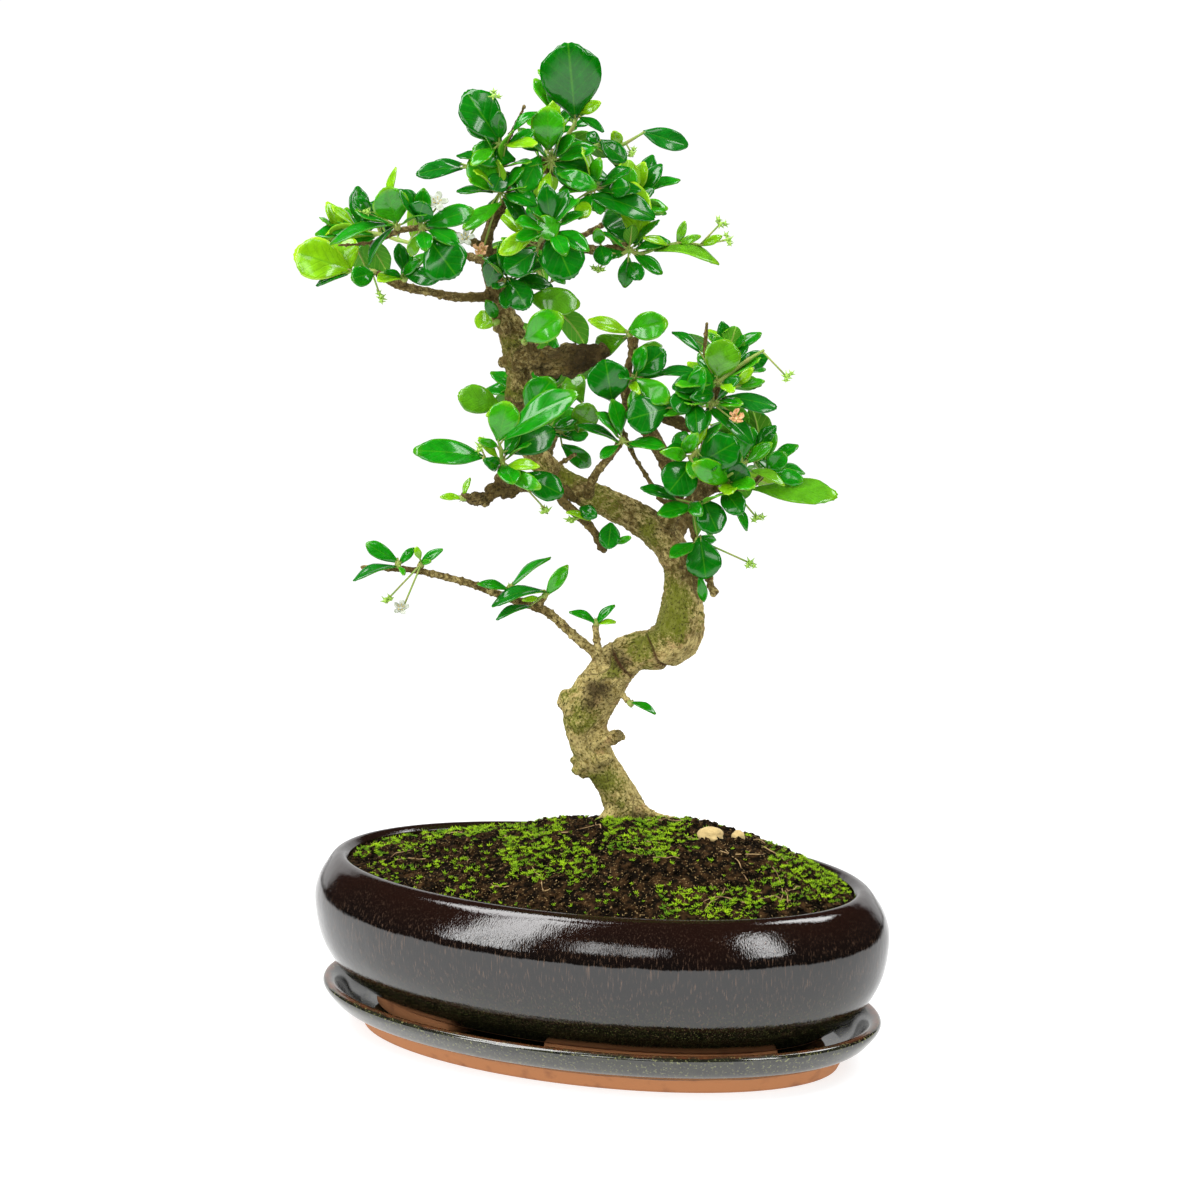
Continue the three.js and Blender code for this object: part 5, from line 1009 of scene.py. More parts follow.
FLOWERS: dict[str, Flower] = {
    "bloom_high_left": Flower("left_front_shoot", (437, 202, -26), 20, 0.15),
    "bloom_mid_left": Flower("crown_left_front_shoot", (465, 238, -15), 18, 0.25),
    "bloom_wilted_left": Flower("crown_left_front_shoot", (481, 251, -12), 16, 0.8),
    "bloom_wilted_right": Flower("right_node_low_shoot", (736, 418, -26), 17, 0.7),
    "bloom_low": Flower("low_tip_inner_shoot", (401, 608, -7), 16, 0.35),
}

# Lumps where old twigs broke off, as (pixel x, pixel y, behind in mm, radius in pixels)
KNOBS: Route = (
    (569, 700, 14, 13), (578, 770, 20, 7), (604, 758, 14, 9), (655, 640, 4, 12), (692, 622, 2, 9),
    (567, 350, -2, 8), (548, 372, -4, 6), (700, 499, -9, 7), (500, 478, -9, 6),
)


def smooth_route(knots: list[Vector], spans: int) -> list[Vector]:
    """Draws a smooth route through knots by Catmull and Rom's rule.

    Args:
        knots: points of any number of values, such as x, y, z and radius.
        spans: the number of steps from knot to knot.

    Returns:
        The points of the route.
    """
    last = len(knots) - 1
    route = []
    for i in range(last):
        a, b, c, d = (knots[min(last, max(0, i + k))] for k in (-1, 0, 1, 2))
        for step in range(spans):
            u = step / spans
            square = (2 * a - 5 * b + 4 * c - d) * u ** 2
            cube = (3 * b - a - 3 * c + d) * u ** 3
            route.append(0.5 * (2 * b + (c - a) * u + square + cube))
    return [*route, knots[last]]


def knot(reading: tuple[float, ...], radius: float = 1.1) -> Vector:
    """The place and radius in mm, as one vector, of a reading in pixels."""
    px, py, behind, *rest = reading
    seen = rest[0] * VIEW.mm_per_pixel if rest else radius
    return Vector((*VIEW.spot(px, py, behind), seen))


def frames_along(route: list[Vector]) -> list[tuple[Vector, Vector, Vector]]:
    """Tangent, normal and binormal at every point of a route, without twist."""
    last = len(route) - 1
    normal = Vector((0.31, 0.87, 0.38))
    frames = []
    for i in range(last + 1):
        tangent = (route[min(last, i + 1)].xyz - route[max(0, i - 1)].xyz).normalized()
        normal = (normal - tangent * normal.dot(tangent)).normalized()
        frames.append((tangent, normal, tangent.cross(normal)))
    return frames


def spoke(way: Vector, turn: float) -> Vector:
    """A direction square to a way, turned about it by an angle."""
    side = way.orthogonal().normalized()
    side.rotate(Matrix.Rotation(turn, 3, way))
    return side


def put_in_scene(name: str, bm: bmesh.types.BMesh) -> bpy.types.Object:
    """Puts a mesh, which is used up, in the scene as an object."""
    mesh = bpy.data.meshes.new(name)
    bm.to_mesh(mesh)
    bm.free()
    made = bpy.data.objects.new(name, mesh)
    bpy.context.collection.objects.link(made)
    return made


def join(bm: bmesh.types.BMesh, part: bmesh.types.BMesh) -> None:
    """Adds a part, which is used up, to a mesh."""
    mesh = bpy.data.meshes.new("part")
    part.to_mesh(mesh)
    part.free()
    bm.from_mesh(mesh)
    bpy.data.meshes.remove(mesh)


def dress_faces(verts: list[bmesh.types.BMVert], finish: int) -> list[bmesh.types.BMVert]:
    """Gives all faces at some vertices a finish and smooth shading, and gives back the live vertices."""
    live = [vert for vert in verts if vert.is_valid]
    for vert in live:
        for face in vert.link_faces:
            face.material_index = finish
            face.smooth = True
    return live


def thicken(bm: bmesh.types.BMesh, verts: list[bmesh.types.BMVert],
            thickness: float) -> tuple[list[bmesh.types.BMVert], list[bmesh.types.BMFace]]:
    """Makes a closed blade of an open sheet, upwards from its faces.

    Args:
        bm: the mesh.
        verts: the sheet's vertices.
        thickness: how thick the blade gets.

    Returns:
        All of the blade's vertices, and the faces of its new upper side.
    """
    sheet = list(dict.fromkeys(face for vert in verts for face in vert.link_faces))
    for part in (*sheet, *verts):
        part.normal_update()
    lifts = {tuple(vert.co): vert.normal * thickness for vert in verts}
    grown = bmesh.ops.extrude_face_region(bm, geom=sheet, use_keep_orig=True)["geom"]
    fresh = [part for part in grown if isinstance(part, bmesh.types.BMVert)]
    for vert in fresh:
        vert.co += lifts[tuple(vert.co)]
    blade = [*verts, *fresh]
    closed = list(dict.fromkeys(face for vert in blade for face in vert.link_faces))
    bmesh.ops.recalc_face_normals(bm, faces=closed)
    start = blade[0].co
    if sum(face.calc_area() * face.normal.dot(face.calc_center_median() - start) for face in closed) < 0:
        bmesh.ops.reverse_faces(bm, faces=closed)
    return blade, [part for part in grown if isinstance(part, bmesh.types.BMFace)]


def tube(bm: bmesh.types.BMesh, route: list[Vector], sides: int, finish: int = 0, dome: float = 0.4,
         skin: Callable[[int, float], float] = lambda ring, angle: 1.0) -> list[bmesh.types.BMVert]:
    """Adds a closed tapering tube with rounded ends along a route.

    Args:
        bm: the mesh to add to.
        route: points as (x, y, z, radius).
        sides: the number of sides.
        finish: the number of the tube's finish.
        dome: how far the ends bulge, as a share of the radius.
        skin: the share of the radius at a ring and an angle.

    Returns:
        Its vertices.
    """
    frames = frames_along(route)
    rows = len(route) + 1
    made = bmesh.ops.create_grid(bm, x_segments=sides, y_segments=rows, size=0.5, calc_uvs=True)["verts"]
    for vert in made:
        angle = 2 * math.pi * (vert.co.x + 0.5)
        row = round((vert.co.y + 0.5) * rows)
        ring = min(len(route) - 1, max(0, row - 1))
        tangent, normal, binormal = frames[ring]
        radius = route[ring].w
        if row in (0, rows):
            vert.co = route[ring].xyz + tangent * (math.copysign(dome, row - 1) * radius)
            continue
        reach = radius * skin(ring, angle)
        vert.co = route[ring].xyz + (normal * math.cos(angle) + binormal * math.sin(angle)) * reach
    bmesh.ops.remove_doubles(bm, verts=made, dist=1e-4)
    return dress_faces(made, finish)


def lump(bm: bmesh.types.BMesh, place: Vector, size: Vector, way: Vector = UP, finish: int = 0,
         fineness: int = 2) -> list[bmesh.types.BMVert]:
    """Adds a rounded lump.

    Args:
        bm: the mesh to add to.
        place: its middle.
        size: its three radii, the last along its way.
        way: the way that it points.
        finish: the number of its finish.
        fineness: 1 for 20 faces, 2 for 80.

    Returns:
        Its vertices.
    """
    matrix = Matrix.Translation(place) @ UP.rotation_difference(way).to_matrix().to_4x4()
    matrix @= Matrix.Diagonal((*size, 1))
    made = bmesh.ops.create_icosphere(bm, subdivisions=fineness, radius=1, matrix=matrix)["verts"]
    return dress_faces(made, finish)


def thorn(bm: bmesh.types.BMesh, foot: Vector, tip: Vector, radius: float, sides: int = 4,
          finish: int = 0) -> list[bmesh.types.BMVert]:
    """Adds a pointed sliver, such as a bract or sepal, from its foot to its tip."""
    way = tip - foot
    matrix = Matrix.Translation(foot + way / 2) @ UP.rotation_difference(way).to_matrix().to_4x4()
    made = bmesh.ops.create_cone(bm, cap_ends=True, segments=sides, radius1=radius, radius2=0,
                                 depth=way.length, matrix=matrix)["verts"]
    return dress_faces(made, finish)


def finish_piece(name: str, bm: bmesh.types.BMesh, finishes: list[bpy.types.Material],
                 nodes: tuple[str, ...]) -> bpy.types.Object:
    """Turns a mesh in mm into a piece in metres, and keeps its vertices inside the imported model's box.

    Args:
        name: the piece's name.
        bm: its mesh in mm, which is used up.
        finishes: its materials.
        nodes: the CAD nodes that it stands for.

    Returns:
        The piece.
    """
    bmesh.ops.scale(bm, vec=(MM, MM, MM), verts=bm.verts)
    low, high = CAD_BOX
    for vert in bm.verts:
        vert.co = [min(high[i], max(low[i], vert.co[i])) for i in range(3)]
    piece = put_in_scene(name, bm)
    mesh = piece.data
    for finish in finishes:
        mesh.materials.append(finish)
    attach(piece, "root")
    if nodes:
        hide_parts(*nodes)
    mesh.calc_loop_triangles()
    LOG.info("%s: %d triangles", name, len(mesh.loop_triangles))
    return piece


def with_modifiers(bm: bmesh.types.BMesh, steps: list[tuple[str, dict[str, object]]],
                   cutter: bmesh.types.BMesh | None = None) -> bmesh.types.BMesh:
    """Applies modifiers to a mesh.

    Args:
        bm: the mesh, which is used up.
        steps: each modifier's type and settings.
        cutter: a mesh that a Boolean modifier takes away, which is used up too.

    Returns:
        The changed mesh.
    """
    helpers = [put_in_scene(f"helper_{number}", source)
               for number, source in enumerate(filter(None, (bm, cutter)))]
    for kind, settings in steps:
        modifier = helpers[0].modifiers.new(kind.title(), kind)
        for name, value in settings.items():
            setattr(modifier, name, value)
        if kind == "BOOLEAN":
            modifier.object = helpers[1]
    graph = bpy.context.evaluated_depsgraph_get()
    changed = bpy.data.meshes.new_from_object(helpers[0].evaluated_get(graph))
    made = bmesh.new()
    made.from_mesh(changed)
    for helper in helpers:
        bpy.data.meshes.remove(helper.data)
    bpy.data.meshes.remove(changed)
    return made


def scatter(bm: bmesh.types.BMesh, template: bmesh.types.BMesh, places: list[Matrix]) -> None:
    """Adds many copies of a small mesh, a batch at a time.

    Args:
        bm: the mesh to add to.
        template: the small mesh.
        places: where each copy goes, with its turn and size.
    """
    mesh = bpy.data.meshes.new("template")
    template.to_mesh(mesh)
    shape = numpy.empty(3 * len(mesh.vertices))
    mesh.vertices.foreach_get("co", shape)
    shape = shape.reshape(-1, 3)
    batch_size = 100
    for start in range(0, len(places), batch_size):
        batch = bmesh.new()
        for place in places[start:start + batch_size]:
            turned = shape @ numpy.array(place.to_3x3()).T + numpy.array(place.translation)
            mesh.vertices.foreach_set("co", turned.ravel())
            batch.from_mesh(mesh)
        join(bm, batch)
    bpy.data.meshes.remove(mesh)


@dataclass(frozen=True)
class Oval:
    """The rule of every outline of pot and saucer: so much less half length across than along."""

    difference: float = 48.3
    core: float = 80

    def across(self, reach: float) -> float:
        """The half width of the oval with a half length."""
        return reach - self.difference if reach > self.core else reach * (1 - self.difference / self.core)

    def turned(self, profile: list[Vector], steps: int) -> bmesh.types.BMesh:
        """Turns a closed profile and draws the round shape out to the oval.

        Args:
            profile: points of (half length, height) from axis to axis.
            steps: the number of steps round.

        Returns:
            The closed shape.
        """
        bm = bmesh.new()
        verts = [bm.verts.new((point.x, 0, point.y)) for point in profile]
        edges = [bm.edges.new(pair) for pair in zip(verts, verts[1:])]
        bmesh.ops.spin(bm, geom=verts + edges, axis=UP, angle=2 * math.pi, steps=steps, use_merge=True)
        bmesh.ops.remove_doubles(bm, verts=bm.verts, dist=0.01)
        bmesh.ops.recalc_face_normals(bm, faces=bm.faces)
        self.draw_out(bm)
        return bm

    def draw_out(self, bm: bmesh.types.BMesh) -> None:
        """Draws a round mesh out to the oval."""
        for vert in bm.verts:
            reach = math.hypot(vert.co.x, vert.co.y)
            if reach > 0.01:
                vert.co.y *= self.across(reach) / reach
        for face in bm.faces:
            face.smooth = True


OVAL = Oval()


def smooth_profile(*runs: tuple[tuple[float, float], ...]) -> list[Vector]:
    """A profile of straight and curved runs: a run of more than two points is curved.

    Args:
        runs: points of (half length, height), each run starting at the end of the one before.

    Returns:
        The profile's points.
    """
    points = [Vector(runs[0][0])]
    for run in runs:
        spans = 6 if len(run) > 2 else 4
        points += smooth_route([Vector(point) for point in run], spans)[1:]
    return points


@dataclass
class GlazedPot:
    """The pot: a bulging oval bowl with an incurved rounded lip on four unglazed arc feet."""

    base: float = 104
    base_height: float = 15
    floor: float = 96
    floor_height: float = 22
    lip: tuple[tuple[float, float], ...] = ((121, 74.8), (117.5, 75.8), (114.6, 73.8))
    belly: tuple[tuple[float, float], ...] = ((114, 21.5), (121, 28), (127.5, 40), (130, 54.8), (128.4, 64))
    inner_wall: tuple[tuple[float, float], ...] = ((122, 54), (118, 35))
    foot_outer: float = 103
    foot_inner: float = 88
    foot_bottom: float = 8.3
    foot_round: float = 1.2
    foot_arcs: tuple[tuple[int, int], ...] = ((17, 63), (91, 155), (197, 243), (271, 335))
    drain_radius: float = 6.5
    drain_spacing: float = 84
    glaze_depth: float = 68
    steps: int = 168

    def foot(self, bm: bmesh.types.BMesh, start: int, end: int) -> None:
        """Adds one arc foot with rounded lower edges, still round about the axis."""
        top = self.base_height + 1.4
        low, ease = self.foot_bottom, self.foot_round
        outline = ((self.foot_inner, top), (self.foot_inner, low + ease), (self.foot_inner + ease, low),
                   (self.foot_outer - ease, low), (self.foot_outer, low + ease), (self.foot_outer, top))
        turn = Matrix.Rotation(math.radians(start), 3, "Z")
        corners = [bm.verts.new(turn @ Vector((reach, 0, height))) for reach, height in outline]
        section = bm.faces.new(corners)
        bmesh.ops.spin(bm, geom=[section, *section.edges, *corners], axis=UP,
                       angle=math.radians(end - start), steps=(end - start) // 3)

    def build(self, glaze: bpy.types.Material, bisque: bpy.types.Material) -> bpy.types.Object:
        """Turns the bowl, drills its drains and sets it on its feet."""
        profile = smooth_profile(
            ((0, self.base_height), (self.base, self.base_height)),
            ((self.base, self.base_height), *self.belly, (124.4, 71), *self.lip),
            (self.lip[-1], *self.inner_wall, (self.floor, self.floor_height)),
            ((self.floor, self.floor_height), (0, self.floor_height)))
        bowl = OVAL.turned(profile, self.steps)
        drains = bmesh.new()
        for side in (-1, 1):
            place = Matrix.Translation((side * self.drain_spacing / 2, 0, self.floor_height))
            bmesh.ops.create_cone(drains, cap_ends=True, segments=48, radius1=self.drain_radius,
                                  radius2=self.drain_radius, depth=2 * self.floor_height, matrix=place)
        bowl = with_modifiers(bowl, [("BOOLEAN", {"operation": "DIFFERENCE"})], drains)
        feet = bmesh.new()
        for start, end in self.foot_arcs:
            self.foot(feet, start, end)
        bmesh.ops.recalc_face_normals(feet, faces=feet.faces)
        OVAL.draw_out(feet)
        join(bowl, feet)
        for face in bowl.faces:
            middle = face.calc_center_median()
            inwards = middle.x * face.normal.x + middle.y * face.normal.y < -0.5
            bare = middle.z < self.base_height + 0.4 or (inwards and middle.z < self.glaze_depth)
            face.material_index = int(bare)
        return finish_piece("glazed_pot", bowl, [glaze, bisque], ("pot",))


@dataclass
class Saucer:
    """The saucer: a shallow oval dish, glazed but for the foot that it stands on."""

    foot: float = 109
    glaze_line: tuple[float, float] = (112.5, 6.5)
    outer_wall: tuple[tuple[float, float], ...] = ((120, 10), (125, 15), (126.9, 18.6))
    crest: tuple[float, float] = (125.2, 20.5)
    inner_wall: tuple[tuple[float, float], ...] = ((121.4, 19), (116, 12))
    well: tuple[float, float] = (110, 8)
    steps: int = 168
    wobble: float = 0.45
    middle_reach: float = 60

    def build(self, glaze: bpy.types.Material, bisque: bpy.types.Material) -> bpy.types.Object:
        """Turns the dish and lets the glaze line wander."""
        profile = smooth_profile(
            ((0, 0), (self.foot, 0)), ((self.foot, 0), self.glaze_line),
            (self.glaze_line, *self.outer_wall, self.crest, *self.inner_wall, self.well),
            (self.well, (0, self.well[1])))
        bm = OVAL.turned(profile, self.steps)
        for face in bm.faces:
            middle = face.calc_center_median()
            outside = math.hypot(middle.x, middle.y) > self.middle_reach and middle.z < self.glaze_line[1]
            face.material_index = int(middle.z < 0.1 or outside)
        for vert in bm.verts:
            on_line = abs(vert.co.z - self.glaze_line[1]) < 0.05
            if on_line and math.hypot(vert.co.x, vert.co.y) > self.middle_reach:
                vert.co.z += self.wobble * noise.noise(vert.co * 0.09)
        return finish_piece("glazed_saucer", bm, [glaze, bisque], ("saucer",))


@dataclass
class SoilMound:
    """The soil: a mound round the trunk with shallow lumps, its crumbs, rootlets and moss."""

    edge: float = 114.6
    edge_height: float = 72.4
    rise: float = 22
    lump: float = 1.5
    lean_along: float = 16
    lean_across: float = 4
    bottom: float = 23.6
    floor: float = 98
    side: tuple[tuple[float, float], ...] = ((117.5, 35.3), (121.6, 54))
    rings: int = 88
    steps: int = 232
    crumbs: int = 5400
    rootlets: int = 46
    sprigs: int = 2700
    # Moss and bare ground as seen: left, right, top and bottom pixel, and how thickly it grows
    cushions: tuple[tuple[float, ...], ...] = (
        (495, 565, 822, 838, 0.6), (505, 600, 840, 880, 0.62), (598, 690, 818, 860, 0.6),
        (650, 760, 888, 924, 0.7), (765, 862, 852, 906, 0.6), (370, 500, 840, 905, 0.14),
        (500, 640, 884, 918, 0.1), (700, 765, 862, 886, 0.1), (764, 840, 826, 850, 0.15))
    thin_growth: float = 0.015

    def height(self, x: float, y: float) -> float:
        """The height of the mound at a place."""
        out = min(1.0, math.hypot(x / self.edge, y / OVAL.across(self.edge)))
        lumps = self.lump * math.sin(x / 11 + 1) * math.cos(y / 8.5 + 0.6)
        lean = (self.lean_along * x + self.lean_across * y) / self.edge
        return self.edge_height + (1 - out ** 2) * (self.rise + lumps + lean)

    def spot(self, px: float, py: float) -> Vector:
        """The point of the mound that is seen at a pixel."""
        behind = -70.0
        place = VIEW.spot(px, py, behind)
        while place.z > self.height(place.x, place.y):
            behind += 0.5
            place = VIEW.spot(px, py, behind)
        return place

    def ground(self, x: float, y: float) -> Vector:
        """The point of the rough ground over a place."""
        here = Vector((x, y, 0))
        rough = 1.2 * noise.noise(here * 0.16) + 1.1 * noise.noise(here * 0.42)
        inside = fade(math.hypot(x / self.edge, y / OVAL.across(self.edge)), 1.0, 0.94)
        return Vector((x, y, self.height(x, y) + rough * inside))

    def random_place(self, chance: random.Random, margin: float = 0.985) -> Vector:
        """A place on the ground, drawn evenly over the oval."""
        reach = self.edge * margin * math.sqrt(chance.random())
        angle = 2 * math.pi * chance.random()
        across = OVAL.across(self.edge) / self.edge
        return self.ground(reach * math.cos(angle), across * reach * math.sin(angle))

    def growth(self, place: Vector) -> float:
        """How thickly moss grows at a place, from 0 to 1."""
        px, py = VIEW.pixel_of(place)
        facing = place.dot(VIEW.away)
        clumps = noise.noise(place * 0.11) + 0.5 * noise.noise(place * 0.3)
        if facing > 26:
            return fade(clumps, -0.1, 0.25)
        thick = self.thin_growth
        for left, right, top, bottom, much in self.cushions:
            inside = min(px - left, right - px, 1.6 * (py - top), 1.6 * (bottom - py)) / 9
            thick = max(thick, 1.3 * much * fade(inside + 2.4 * clumps, -0.2, 0.8))
        return thick

    def build_ground(self, soil: bpy.types.Material) -> None:
        """Turns the soil's body and raises its top to the rough ground."""
        top = [Vector((self.edge * (1 - ring / self.rings), self.edge_height))
               for ring in range(self.rings + 1)]
        below = smooth_profile(((0, self.bottom), (self.floor, self.bottom)),
                               ((self.floor, self.bottom), *self.side, (self.edge, self.edge_height)))
        bm = OVAL.turned([*below, *top[1:]], self.steps)
        for vert in bm.verts:
            if vert.co.z > self.edge_height - 0.01:
                vert.co = self.ground(vert.co.x, vert.co.y)
        finish_piece("potting_soil", bm, [soil], ("soil",))

    def build_crumbs(self, soil: bpy.types.Material) -> None:
        """Scatters crumbs over the ground."""
        chance = random.Random(11)
        bm = bmesh.new()
        for kind in range(3):
            crumb = bmesh.new()
            bmesh.ops.create_icosphere(crumb, subdivisions=1, radius=1)
            for vert in crumb.verts:
                vert.co *= 1 + 0.5 * noise.noise(vert.co * 1.7 + Vector((9 * kind, 0, 0)))
            places = []
            for _ in range(self.crumbs // 3):
                size = 0.5 + 2.1 * chance.random() ** 3
                turn = Matrix.Rotation(7 * chance.random(), 4, (chance.random(), chance.random(), 0.4))
                place = Matrix.Translation(self.random_place(chance) - UP * 0.15 * size)
                places.append(place @ turn @ Matrix.Diagonal((size, 0.85 * size, 0.65 * size, 1)))
            scatter(bm, crumb, places)
        finish_piece("soil_crumbs", bm, [soil], ())

    def build_rootlets(self, root: bpy.types.Material) -> None:
        """Lays thin dry rootlets over the ground."""
        chance = random.Random(23)
        bm = bmesh.new()
        bm.loops.layers.uv.verify()
        for _ in range(self.rootlets):
            here = self.random_place(chance, 0.9)
            turn = 2 * math.pi * chance.random()
            length = 6 + 16 * chance.random()
            points = []
            for step in range(5):
                lift = 0.35 + 0.5 * chance.random()
                place = self.ground(here.x, here.y) + UP * lift
                points.append(Vector((*place, 0.16 + 0.1 * draw(turn, 1))))
                turn += 0.9 * (chance.random() - 0.5)
                here += Vector((math.cos(turn), math.sin(turn), 0)) * (length / 4)
            if math.hypot(here.x / self.edge, here.y / OVAL.across(self.edge)) < 0.95:
                tube(bm, smooth_route(points, 3), 5)
        finish_piece("dry_rootlets", bm, [root], ())

    def build_moss(self, moss: bpy.types.Material) -> None:
        """Grows star-shaped sprigs where moss grows, all a few mm tall."""
        chance = random.Random(37)
        bm = bmesh.new()
        for kind in range(3):
            sprig = bmesh.new()
            rays = 5 + kind
            for ray in range(rays):
                around = 2 * math.pi * (ray + 0.3 * draw(ray, kind)) / rays
                out = Vector((math.cos(around), math.sin(around), 0.55 + 0.5 * draw(ray, 4 + kind)))
                thorn(sprig, out * 0.1, out * (0.85 + 0.3 * draw(ray, 9 + kind)), 0.2, 3)
            thorn(sprig, Vector((0, 0, -0.6)), Vector((0, 0, 1.0)), 0.2, 3)
            rise = sprig.verts.layers.float.new("sprig")
            for vert in sprig.verts:
                vert[rise] = min(1.0, vert.co.length)
            places = []
            while len(places) < self.sprigs // 3:
                place = self.random_place(chance)
                if chance.random() < self.growth(place):
                    size = 0.75 + 0.85 * chance.random()
                    turn = Matrix.Rotation(7 * chance.random(), 4, "Z")
                    tilt = Matrix.Rotation(0.5 * chance.random(), 4, "X")
                    size_up = Matrix.Diagonal((size, size, size * (0.9 + 0.5 * chance.random()), 1))
                    places.append(Matrix.Translation(place + UP * 0.25) @ turn @ tilt @ size_up)
            scatter(bm, sprig, places)
        finish_piece("star_moss", bm, [moss], ())


MOUND = SoilMound()


@dataclass
class Pebbles:
    """The two pale pebbles that lie in the soil beside the trunk."""

    stones: tuple[tuple[str, float, float, float], ...] = (
        ("stone_large", 711, 838, 6.2), ("stone_small", 738, 838, 4))

    def build(self, stone: bpy.types.Material) -> None:
        """Rounds and wears each pebble."""
        for number, (node, px, py, radius) in enumerate(self.stones):
            bm = bmesh.new()
            middle = MOUND.spot(px, py)
            matrix = Matrix.Translation(middle + UP * 0.15 * radius) @ Matrix.Rotation(0.15, 4, "X")
            matrix @= Matrix.Rotation(1.9 * number, 4, "Z")
            matrix @= Matrix.Diagonal((radius, 0.8 * radius, 0.66 * radius, 1))
            made = bmesh.ops.create_icosphere(bm, subdivisions=5, radius=0.97)["verts"]
            for vert in made:
                seat = vert.co + Vector((5.0 * number, 0, 0))
                worn = 0.22 * noise.noise(seat * 1.4) + 0.05 * noise.noise(seat * 4.5)
                vert.co *= 1 + min(0.03, worn - 0.03)
            bmesh.ops.transform(bm, matrix=matrix, verts=made)
            dress_faces(made, 0)
            finish_piece(f"worn_{node}", bm, [stone], (node,))


def nearest_on(route: list[Vector], place: Vector) -> tuple[Vector, float]:
    """The nearest point of a route's axis to a place, as (x, y, z, radius), and its distance."""
    best = (route[0], math.inf)
    for start, end in zip(route, route[1:]):
        share = geometry.intersect_point_line(place, start.xyz, end.xyz)[1]
        point = start.lerp(end, min(1.0, max(0.0, share)))
        gap = (point.xyz - place).length
        if gap < best[1]:
            best = (point, gap)
    return best


class Skeleton:
    """The routes of all limbs and spurs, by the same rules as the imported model."""

    buried: float = 26
    end_dome: float = 0.4
    spur_end: float = 1.2
    least_spur: float = 2
    skin_share: float = 1.06
    seat: float = 0.3
    crown_radius: float = 2.1
    crown_face: float = 2.1 / math.sqrt(3)
    stem_radius: float = 1.1
    stem_tip: float = 0.6

    def __init__(self) -> None:
        """Reads every limb's route."""
        self.limbs = {name: [knot(reading) for reading in route] for name, route in LIMBS.items()}
        foot = self.limbs["trunk"][0]
        deep = foot - Vector((0, 0, self.buried, 0.3 * foot.w))
        self.limbs["trunk"][:0] = [deep, foot - Vector((0, 0, self.buried / 2, 0))]

    def spur(self, spray: Spray) -> tuple[bool, Vector, Vector]:
        """The woody spur of a spray: whether it stands on the bare limb, and the spur's two ends."""
        route = self.limbs[spray.limb]
        place = knot(spray.perch).xyz
        point, gap = nearest_on(route, place)
        bark = point.w
        if (point.xyz - route[-1].xyz).length < 1e-4:
            way = (route[-1].xyz - route[-2].xyz).normalized()
            steepness = way.dot(place - point.xyz) / gap
            bark = point.w * max(self.end_dome * steepness, math.sqrt(max(0.0, 1 - steepness ** 2)))
        bare = gap < bark + self.least_spur
        end = point.xyz.lerp(place, self.skin_share * bark / gap) if bare else place
        root_radius = min(0.7 * point.w, self.spur_end + 0.03 * gap)
        return bare, Vector((*point.xyz, root_radius)), Vector((*end, self.spur_end))

    def stems(self, spray: Spray) -> list[list[Vector]]:
        """A spray's crown, as a short route, and its green stems, which start in it."""
        _, root, end = self.spur(spray)
        outwards = (end.xyz - root.xyz).normalized()
        low, high = (Vector((*(end.xyz + outwards * (self.seat + share * self.crown_face)),
                             self.crown_radius)) for share in (0.9, 1.1))
        stems = []
        for route in spray.stems:
            knots = [knot(reading, self.stem_radius) for reading in route]
            knots[0] = Vector((*low.xyz, self.stem_radius))
            knots[-1].w = self.stem_tip
            stems.append(knots)
        return [[low, high], *stems]

    def far_stem(self, spray: FarSpray) -> list[Vector]:
        """The stem of a far spray, which stands on its limb's rounded end."""
        end = self.limbs[spray.limb][-1]
        knots = [knot(reading, self.stem_radius) for reading in spray.route]
        way = (knots[1].xyz - end.xyz).normalized()
        knots[0] = Vector((*(end.xyz + way * (self.end_dome * end.w + self.seat)), self.stem_radius))
        knots[-1].w = self.stem_tip
        return knots


SKELETON = Skeleton()


